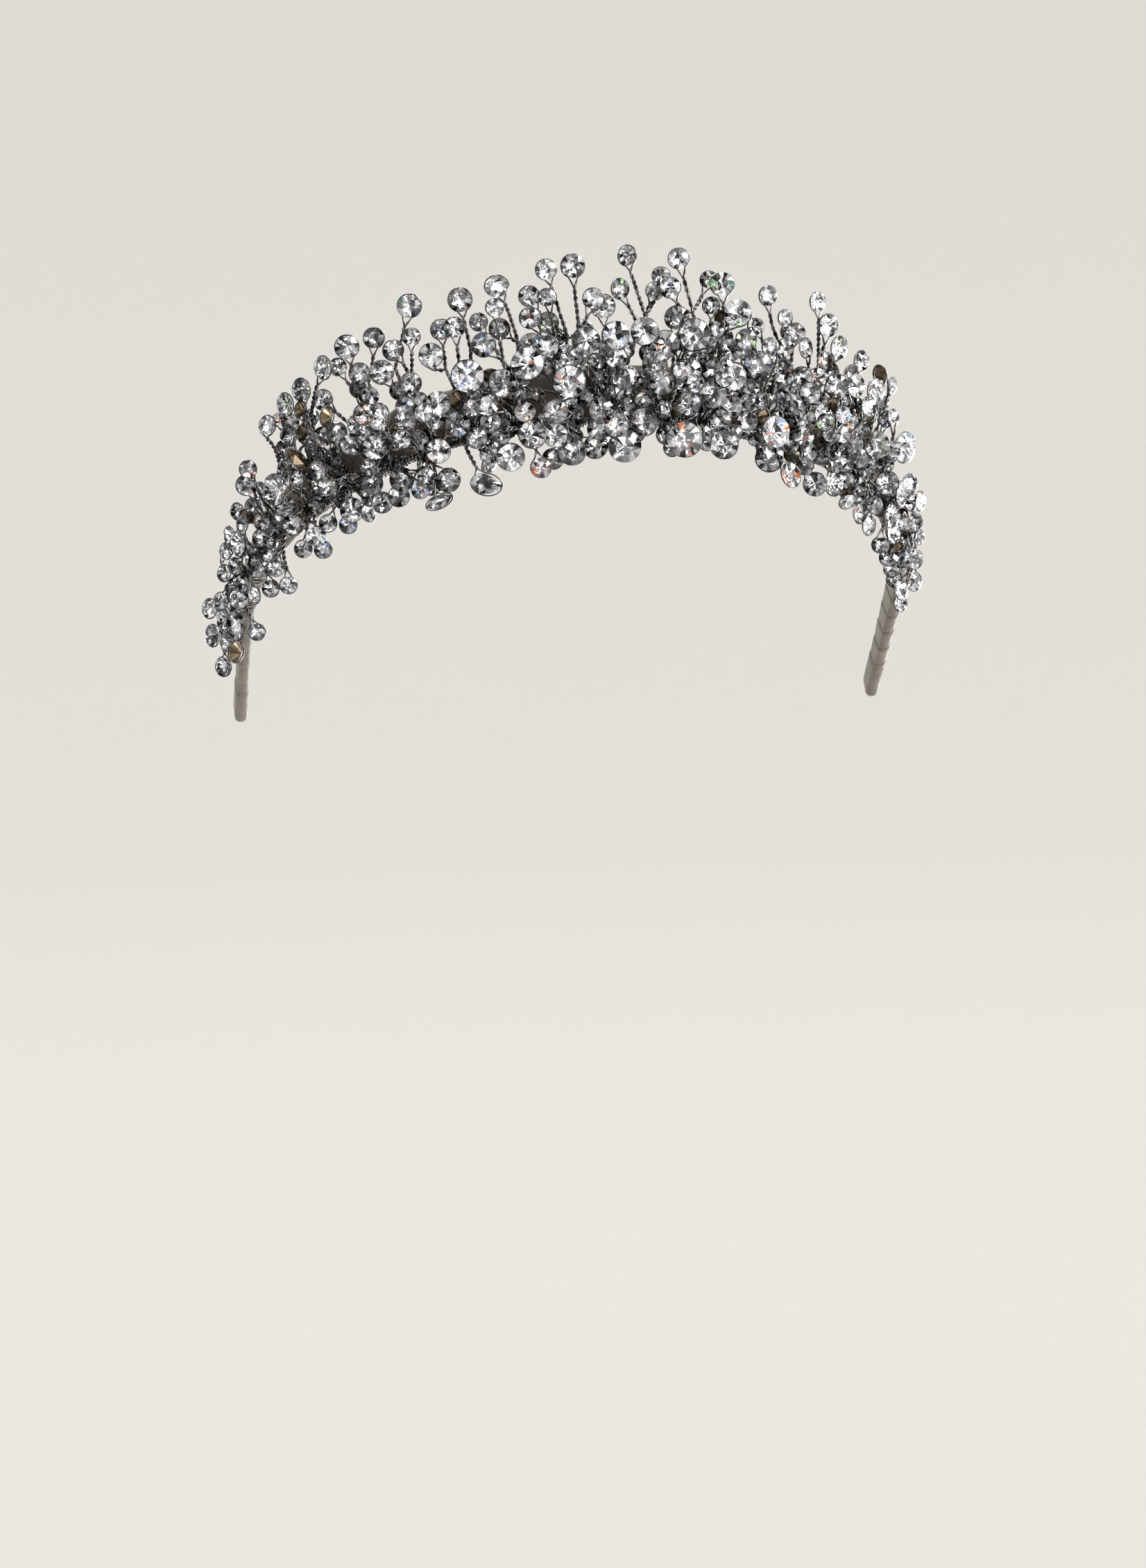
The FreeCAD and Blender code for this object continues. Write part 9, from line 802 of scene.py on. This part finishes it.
def crystal(g, row):
    """Clear stone with a table and a crown of facets, mirrored wedges behind carrying painted reflection tones,
    and lacquer over the mirror.
    """
    kind, length, width = row[1], row[2], row[3]
    c = np.array(row[4:7], float)
    zd = unit(np.array(row[7:10], float))
    xd = np.array(row[10:13], float)
    xd = unit(xd - zd * zd.dot(xd))
    yd = np.cross(zd, xd)
    n = 12 if width < 5.0 else 16
    half = n // 2
    rim = outline(kind, length, width, n)
    tw = rng.uniform(0, 2 * math.pi) if kind == "r" else 0.0
    keel = 0.0 if kind == "r" else 0.5 * (length - width) * 0.85

    def ring(scale, z, pts=rim, jitter=0.0):
        v = np.zeros((len(pts), 3))
        v[:, :2] = pts * scale
        v[:, 2] = z
        if jitter:
            v[:, 2] += rng.uniform(-jitter, jitter, len(pts))
        return v

    def back(base, flip, mid=None):
        """Index lists of the wedges from the girdle to the point or keel, cut in two where mid is given."""
        lists = []
        if mid is not None:
            for j in range(n):
                j1 = (j + 1) % n
                lists.append([base + j, base + j1, mid + j1])
                lists.append([base + j, mid + j1, mid + j])
            base = mid
        if keel == 0.0:
            for j in range(n):
                lists.append([base + j, base + (j + 1) % n, flip])
        else:
            for j in range(n):
                j1 = (j + 1) % n
                x = 0.5 * (rim[j][0] + rim[j1][0])
                lists.append([base + j, base + j1, flip if x > 0 else flip + 1])
            for j in (n // 4, 3 * n // 4):
                lists.append([base + j, flip, flip + 1])
        return lists

    deep, shell_deep = 0.335 * width, 0.395 * width
    table = ring(0.52, 0.165 * width, rim[::2])
    top = ring(0.998, 0.008 * width, jitter=0.004 * width)
    bottom = ring(0.996, -0.006 * width, jitter=0.004 * width)
    tip = np.array([[keel, 0, -deep], [-keel, 0, -deep]] if keel else [[0.02 * width * rng.normal(), 0.02 * width * rng.normal(), -deep]])
    cut = 0.56
    inner = ring(0.996 * (1 - cut), -0.006 * width - (deep - 0.006 * width) * cut, jitter=0.010 * width)
    if keel:
        inner[:, 0] += np.clip(rim[:, 0] / (length / 2) * 3, -1, 1) * keel * cut
    verts = np.concatenate([table, top, bottom, inner, tip])
    T, G, Bt, Md, A = 0, half, half + n, half + 2 * n, half + 3 * n
    faces, mats, painted_tones = [], [], []

    def f(idx, mat, painted_tone=(1, 1, 1)):
        faces.append(idx)
        mats.append(mat)
        painted_tones.append(painted_tone)

    f(list(range(T, T + half)), 0)
    for k in range(half):
        k1 = (k + 1) % half
        g0, g1, g2 = G + 2 * k, G + 2 * k + 1, G + (2 * k + 2) % n
        f([T + k, g1, T + k1], 0)
        f([T + k, g0, g1], 0)
        f([T + k1, g1, g2], 0)
    for j in range(n):
        j1 = (j + 1) % n
        f([G + j, Bt + j, Bt + j1, G + j1], 0)
    # painted reflection tones for the mirrored wedges
    painted_reflections = [painted_facet_reflection() for _ in range(2 * n + 4)]
    for i, w in enumerate(back(Bt, A, Md)):
        # the two halves of an outer facet mostly share their painted reflection tone
        painted_reflection = painted_reflections[i // 2] if i < 2 * n and rng.random() < 0.85 else painted_reflections[min(len(painted_reflections) - 1, n + (i - 2 * n) // 2)] if i >= 2 * n and rng.random() < 0.55 else painted_facet_reflection()
        f(w, 1 if rng.random() < 0.7 else 3, painted_reflection)
    base = len(verts)
    tip2 = np.array([[keel, 0, -shell_deep], [-keel, 0, -shell_deep]] if keel else [[0, 0, -shell_deep]])
    verts = np.concatenate([verts, ring(0.985, -0.018 * width), tip2])
    for w in back(base, base + n):
        f(w, 2)
    ca, sa = math.cos(tw), math.sin(tw)
    rot = np.array([[ca, -sa, 0], [sa, ca, 0], [0, 0, 1]])
    local = verts @ rot.T if kind == "r" else verts
    world = c + local[:, :1] * xd + local[:, 1:2] * yd + local[:, 2:3] * zd
    # orient each face away from the middle of the stone
    middle = c - zd * 0.08 * width
    out = []
    for idx in faces:
        p = world[idx]
        nrm = np.cross(p[1] - p[0], p[2] - p[0])
        out.append(idx if nrm.dot(p.mean(0) - middle) > 0 else idx[::-1])
    g.add(world, out, mats, painted_tones)


def stone_frame(row):
    c = np.array(row[4:7], float)
    zd = unit(np.array(row[7:10], float))
    xd = np.array(row[10:13], float)
    xd = unit(xd - zd * zd.dot(xd))
    return c, xd, np.cross(zd, xd), zd


def rim_point(row, a, extra):
    """Point on the hoop at angle a about the stone's long axis."""
    c, xd, yd, zd = stone_frame(row)
    ca, sa = math.cos(a), math.sin(a)
    r = 1 / math.hypot(ca / (row[2] / 2), sa / (row[3] / 2)) + extra
    return c + xd * (r * ca) + yd * (r * sa) - zd * 0.072 * row[3]


STRAND = 0.26


def wire_of(g, row):
    """Two strands: each goes half way round the girdle, meets the other below it, and twists down the stem."""
    c, xd, yd, zd = stone_frame(row)
    p0, pm, p1 = (np.array(row[k:k + 3], float) for k in (13, 16, 19))
    v = p0 - c
    a0 = math.atan2(v.dot(yd), v.dot(xd))
    path = arc_points(p0, pm, p1)
    seg = np.concatenate([[0], np.cumsum(np.linalg.norm(np.diff(path, axis=0), axis=1))])
    start = min(1.3, seg[-1] * 0.25)
    keep = seg >= start
    first = np.array([[np.interp(start, seg, path[:, k]) for k in range(3)]])
    path = np.concatenate([first, path[keep]])
    if len(path) < 3:
        path = np.concatenate([path, path[-1:] + (path[-1:] - path[:1]) * 0.5 + 1e-3])
    pitch = rng.uniform(2.4, 3.3)
    phase = rng.uniform(0, 2 * math.pi)
    spread = math.radians(24)
    for k in (0, 1):
        sgn = 1 if k == 0 else -1
        angles = a0 + sgn * np.linspace(math.pi, spread, 20)
        hoop = np.array([rim_point(row, a, 0.0) for a in angles])
        helix = strand_path(path, STRAND * 0.95, pitch, phase + math.pi * k)
        # the leg bends in from the girdle to the twist
        leg = np.array([hoop[-1] * (1 - t) + helix[0] * t for t in (0.35, 0.7)])
        line = np.concatenate([hoop, leg, helix])
        size = np.full(len(line), STRAND)
        size[:len(hoop)] = 0.175
        size[len(hoop)] = 0.19
        tube(g, line, size, 6)


# ------------------------------------------------------------------ sprays
for spray in range(1, len(STATIONS) + 1):
    gs, gw = Gather(), Gather()
    for row in STONES:
        if row[0] == spray:
            crystal(gs, row)
            wire_of(gw, row)
    for row in TRUNKS:
        if row[0] == spray:
            path = arc_points(row[2:5], row[5:8], row[8:11])
            for k in range(3):
                tube(gw, strand_path(path, 0.27, 4.2, 2 * math.pi * k / 3), 0.215, 6)
    stones = gs.make("spray_%02d_stones" % spray, [glass, foil, lacquer, soft_foil])
    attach(stones, "root")
    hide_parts("spray_%02d_crystals" % spray)
    wires = gw.make("spray_%02d_twisted_wire" % spray, [wire_mat], attribute=False)
    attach(wires, "root")
    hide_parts("spray_%02d_wires" % spray)

# ------------------------------------------------------------------ frame wire and its coil
g = Gather()
first, last = STATIONS[0] - 7.0, STATIONS[-1] + 7.0
ss = np.linspace(first, last, 240)
tube(g, np.array([on_crown(s, 0.0, FRAME_Q) for s in ss]), 0.68, 12)
ob = g.make("frame_wire_round", [wire_mat], attribute=False)
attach(ob, "root")
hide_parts("frame_wire")

def band_height(s):
    k = min(1.0, max(0.0, (abs(s) / END - 0.25) / 0.75))
    return BAND_H + (BAND_END_H - BAND_H) * k


def band_outline(s, n=36, inset=0.0):
    """Rounded section of the band at station s, evenly spaced round its edge."""
    h, t = band_height(s) - 2 * inset, BAND_T - 2 * inset
    r = min(h, t) * 0.42
    pts = []
    for cx, cy, a0 in ((h - r, t / 2 - r, 0), (r, t / 2 - r, 90), (r, -t / 2 + r, 180), (h - r, -t / 2 + r, 270)):
        for k in range(7):
            a = math.radians(a0 + 90 * k / 6)
            pts.append((cx + r * math.cos(a), cy + r * math.sin(a)))
    pts = np.array(pts)
    loop = np.concatenate([pts, pts[:1]])
    seg = np.concatenate([[0], np.cumsum(np.linalg.norm(np.diff(loop, axis=0), axis=1))])
    at = np.linspace(0, seg[-1], n, endpoint=False)
    return np.stack([np.interp(at, seg, loop[:, k]) for k in (0, 1)], 1), seg[-1]


g = Gather()
pts, s, ph = [], first + 1.0, 0.0
per_turn = 14
while s < last - 1.0:
    near = min(abs(s - x) for x in STATIONS)
    tight = near < 3.4
    pitch = 0.43 if tight else 0.85
    ds = pitch / per_turn
    s += ds
    ph += 2 * math.pi / per_turn
    wob = 0.08 * math.sin(ph * 0.37) + 0.06 * math.sin(ph * 0.093 + 1.0)
    r = (1.40 if tight else 1.08) + wob
    pos, up, front, tan = station(s)
    pts.append(pos + front * (FRAME_Q + r * math.cos(ph)) + up * (r * math.sin(ph)))
tube(g, np.array(pts), 0.185, 5)


def hull(points):
    """Convex hull of a small set of points, anticlockwise."""
    p = sorted((float(x), float(y)) for x, y in points)
    half = []
    for seq in (p, p[::-1]):
        line = []
        for q in seq:
            while len(line) > 1 and (line[-1][0] - line[-2][0]) * (q[1] - line[-2][1]) - (line[-1][1] - line[-2][1]) * (q[0] - line[-2][0]) <= 0:
                line.pop()
            line.append(q)
        half.append(line[:-1])
    return np.array(half[0] + half[1])


def lashing_loop(s, n=56):
    """Loop drawn tight round the band and the bound frame wire, evenly spaced."""
    sec, per = band_outline(s, 60, -0.20)
    ring = [(1.0 + 1.72 * math.cos(a), FRAME_Q + 1.72 * math.sin(a)) for a in np.linspace(0, 2 * math.pi, 24, endpoint=False)]
    loop = hull(list(sec) + ring)
    loop = np.concatenate([loop, loop[:1]])
    seg = np.concatenate([[0], np.cumsum(np.linalg.norm(np.diff(loop, axis=0), axis=1))])
    at = np.linspace(0, seg[-1], n, endpoint=False)
    return np.stack([np.interp(at, seg, loop[:, k]) for k in (0, 1)], 1)


LOOPS = {}
# the same wire lashes the frame to the band beside each spray
for k, b in enumerate(STATIONS):
    turns_here = 3 if k % 3 else 4
    n = 56
    s0 = b + rng.uniform(-2.6, -1.4)
    drift = rng.uniform(0.75, 1.3)
    skew = rng.uniform(-1.3, 1.3)
    start = int(rng.integers(0, n))
    line = []
    for i in range(turns_here * n + 1):
        j = (start + i) % n
        s = s0 + drift * i / n + skew * math.sin(2 * math.pi * j / n) * (0.8 + 0.2 * math.sin(i * 0.05))
        key = round(s * 2) / 2
        if key not in LOOPS:
            LOOPS[key] = lashing_loop(key, n)
        x, y = LOOPS[key][j]
        pos, up, front, tan = station(s)
        line.append(pos + up * (-1.0 + x) + front * y)
    tube(g, np.array(line), 0.15, 5)
ob = g.make("binding_coil_wire", [coil_mat], attribute=False)
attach(ob, "root")
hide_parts("binding_coils")

# ------------------------------------------------------------------ ribbon wound round the headband
RIB_W, RIB_STEP, RIB_N = 10.5, 6.8, 36
g = Gather()
turns = round((2 * END - RIB_W) / RIB_STEP)
RIB_STEP = (2 * END - RIB_W) / turns
rows_v, rows_uv, run = [], [], 0.0
ACROSS = 9
prev = None
total = turns * RIB_N
for i in range(total + 1):
    turn = i / RIB_N
    s0 = -END + turn * RIB_STEP
    line, uvs = [], []
    for j in range(ACROSS):
        w = j / (ACROSS - 1)
        s = s0 + w * RIB_W
        s = max(-END, min(END, s))
        sec, per = band_outline(s, RIB_N, 0.32)
        x, y = sec[i % RIB_N]
        nx, ny = sec[(i + 1) % RIB_N] - sec[(i - 1) % RIB_N]
        nrm = np.array([ny, -nx]) / max(1e-9, math.hypot(nx, ny))
        lift = 0.06 + 0.26 * (1 - w) + 0.03 * math.sin(i * 0.31 + j) * (1 if w < 0.9 else 0)
        pos, up, front, tan = station(s)
        p = pos + up * (-1.0 + 0.32 + x + nrm[0] * lift) + front * (y + nrm[1] * lift)
        line.append(p)
    mid = line[ACROSS // 2]
    if prev is not None:
        run += float(np.linalg.norm(mid - prev))
    prev = mid
    rows_v.append(line)
    rows_uv.append([(run * MM, j / (ACROSS - 1) * RIB_W * MM) for j in range(ACROSS)])
verts = np.array(rows_v).reshape(-1, 3)
uvs = [u for r in rows_uv for u in r]
faces = []
for i in range(total):
    for j in range(ACROSS - 1):
        a = i * ACROSS + j
        faces.append([a, a + 1, a + 1 + ACROSS, a + ACROSS])
g.add(verts, faces, 0, smooth=True, uvs=uvs)
# the ribbon's last length is folded over each tip
for sign in (-1, 1):
    rows_v, rows_uv = [], []
    at = [(END - 12.0 + 1.1 * k, 1.0) for k in range(11)] + [(END - 0.45 + 0.42 * math.sin(t), math.cos(t)) for t in (0.35, 0.75, 1.1, 1.35, 1.5)]
    for i, (s, shrink) in enumerate(at):
        sec, per = band_outline(min(s, END), RIB_N, 0.32)
        cen = sec.mean(0)
        pos, up, front, tan = station(sign * s)
        line, uvs = [], []
        for j in range(RIB_N + 1):
            x, y = sec[j % RIB_N]
            nx, ny = sec[(j + 1) % RIB_N] - sec[(j - 1) % RIB_N]
            nrm = np.array([ny, -nx]) / max(1e-9, math.hypot(nx, ny))
            lift = (0.30 if i == 0 else 0.40) + 0.035 * math.sin(j * 1.7 + i * 0.6) * shrink
            x, y = cen + (np.array([x, y]) + nrm * lift - cen) * shrink
            line.append(pos + up * (-1.0 + 0.32 + x) + front * y)
            uvs.append((j / RIB_N * per * MM, s * MM))
        rows_v.append(line)
        rows_uv += uvs
    w = RIB_N + 1
    faces = [[i * w + j, i * w + j + 1, (i + 1) * w + j + 1, (i + 1) * w + j] for i in range(len(at) - 1) for j in range(RIB_N)]
    g.add(np.array(rows_v).reshape(-1, 3), faces, 0, smooth=True, uvs=rows_uv)
ribbon = g.make("headband_ribbon", [ribbon_mat], attribute=False)
solid = ribbon.modifiers.new("thickness", "SOLIDIFY")
solid.thickness = 0.00012
solid.offset = 0.0
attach(ribbon, "root")
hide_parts("headband_ribbon_wrap")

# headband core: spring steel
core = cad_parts["headband_core"]
core.data.materials.clear()
core.data.materials.append(steel_mat)

# ------------------------------------------------------------------ stage, light and camera
# a round sweep: flat floor that curves up into a wall
prof = [(0.0, 0.0)] + [(1.7 + 1.3 * math.sin(a), 1.3 * (1 - math.cos(a))) for a in np.linspace(0, math.pi / 2, 13)] + [(3.0, 1.45)]
SEG = 96
fv, ff = [(0.0, 0.0, -0.24)], []
for r, z in prof[1:]:
    for k in range(SEG):
        a = 2 * math.pi * k / SEG
        fv.append((r * math.cos(a), r * math.sin(a), -0.24 + z))
for k in range(SEG):
    ff.append((0, 1 + k, 1 + (k + 1) % SEG))
for i in range(len(prof) - 2):
    for k in range(SEG):
        k1 = (k + 1) % SEG
        ff.append((1 + i * SEG + k, 1 + (i + 1) * SEG + k, 1 + (i + 1) * SEG + k1, 1 + i * SEG + k1))
floor_me = bpy.data.meshes.new("floor")
floor_me.from_pydata(fv, [], ff)
floor_me.polygons.foreach_set("use_smooth", [True] * len(ff))
floor = bpy.data.objects.new("floor", floor_me)
bpy.context.scene.collection.objects.link(floor)
floor.visible_glossy = False
floor.visible_transmission = False
floor_mat, nt, b = principled("pale_floor", (0.80, 0.79, 0.77), 0.0, 0.9)
b.inputs["Specular IOR Level"].default_value = 0.0
floor_me.materials.append(floor_mat)

world = bpy.data.worlds.new("studio")
bpy.context.scene.world = world
world.use_nodes = True
nt = world.node_tree
nt.nodes.clear()
out = node(nt, "ShaderNodeOutputWorld")
pale = node(nt, "ShaderNodeBackground")
pale.inputs["Color"].default_value = (0.80, 0.785, 0.76, 1)
pale.inputs["Strength"].default_value = 1.21
world.cycles.sampling_method = "NONE"
room = node(nt, "ShaderNodeBackground")
room.inputs["Strength"].default_value = 1.95
lp = node(nt, "ShaderNodeLightPath")
even = node(nt, "ShaderNodeMath", operation="MAXIMUM")
nt.links.new(lp.outputs["Is Camera Ray"], even.inputs[0])
nt.links.new(lp.outputs["Is Diffuse Ray"], even.inputs[1])
mixs = node(nt, "ShaderNodeMixShader")
nt.links.new(even.outputs["Value"], mixs.inputs[0])
nt.links.new(room.outputs["Background"], mixs.inputs[1])
nt.links.new(pale.outputs["Background"], mixs.inputs[2])
nt.links.new(mixs.outputs["Shader"], out.inputs["Surface"])
tc = node(nt, "ShaderNodeTexCoord")
vor = node(nt, "ShaderNodeTexVoronoi")
vor.inputs["Scale"].default_value = 4.2
nt.links.new(tc.outputs["Generated"], vor.inputs["Vector"])
sepc = node(nt, "ShaderNodeSeparateColor")
nt.links.new(vor.outputs["Color"], sepc.inputs["Color"])
ramp = node(nt, "ShaderNodeValToRGB")
ramp.color_ramp.interpolation = "CONSTANT"
cr = ramp.color_ramp
cr.elements[0].position, cr.elements[0].color = 0.0, (0.03, 0.027, 0.025, 1)
cr.elements[1].position, cr.elements[1].color = 0.20, (0.32, 0.31, 0.31, 1)
for pos, col in ((0.40, (0.80, 0.79, 0.79, 1)), (0.68, (1.9, 1.9, 1.94, 1)), (0.90, (9.0, 9.0, 9.2, 1)), (0.945, (0.08, 0.07, 0.065, 1))):
    e = cr.elements.new(pos)
    e.color = col
nt.links.new(sepc.outputs["Red"], ramp.inputs["Fac"])
# the window side is brighter than the far side of the room
side = node(nt, "ShaderNodeVectorMath", operation="DOT_PRODUCT")
side.inputs[1].default_value = (0.82, -0.28, 0.35)
nt.links.new(tc.outputs["Generated"], side.inputs[0])
span = node(nt, "ShaderNodeMapRange")
for key, val in (("From Min", -0.85), ("From Max", 0.85), ("To Min", 0.07), ("To Max", 2.1)):
    span.inputs[key].default_value = val
nt.links.new(side.outputs["Value"], span.inputs["Value"])
scl = node(nt, "ShaderNodeVectorMath", operation="SCALE")
nt.links.new(ramp.outputs["Color"], scl.inputs[0])
nt.links.new(span.outputs["Result"], scl.inputs["Scale"])
nt.links.new(scl.outputs["Vector"], room.inputs["Color"])


def area(name, loc, size, energy, colour=(1, 1, 1), target=(0, -0.05, 0.03)):
    light = bpy.data.lights.new(name, "AREA")
    light.shape = "RECTANGLE"
    light.size, light.size_y = size
    light.energy = energy
    light.color = colour
    o = bpy.data.objects.new(name, light)
    bpy.context.scene.collection.objects.link(o)
    o.location = loc
    o.rotation_mode = "QUATERNION"
    o.rotation_quaternion = (Vector(target) - Vector(loc)).to_track_quat("-Z", "Y")
    return o


key_lamp = area("key_window", (2.0, -1.7, 1.5), (1.0, 1.3), 80, (1.0, 0.985, 0.96))
# the sweep behind the key lamp stays as even as the rest of the studio
skips = bpy.data.collections.new("key_window_skips")
skips.objects.link(floor)
key_lamp.light_linking.receiver_collection = skips
skips.collection_objects[0].light_linking.link_state = "EXCLUDE"
area("fill_left", (-2.1, -1.4, 1.0), (0.9, 0.9), 1, (0.96, 0.98, 1.0))
area("top_soft", (0.1, 0.3, 2.2), (1.4, 1.4), 8)

scene = bpy.context.scene
scene.view_settings.view_transform = "Standard"
scene.view_settings.look = "None"
scene.cycles.max_bounces = 20
scene.cycles.glossy_bounces = 12
scene.cycles.transmission_bounces = 14

cam = bpy.data.cameras.new("camera")
cam.sensor_fit = "AUTO"
cam.sensor_width = 36.0
cam.lens = 36.0 * 6400.0 / 2261.0
camera = bpy.data.objects.new("camera", cam)
scene.collection.objects.link(camera)
camera.matrix_world = Matrix(((0.988761, 0.042789, -0.143249, -0.154386), (-0.146500, 0.086215, -0.985446, -1.050272), (-0.029816, 0.995357, 0.091515, 0.056311), (0.000000, 0.000000, 0.000000, 1.000000)))
cam.clip_start, cam.clip_end = 0.02, 50.0
scene.camera = camera
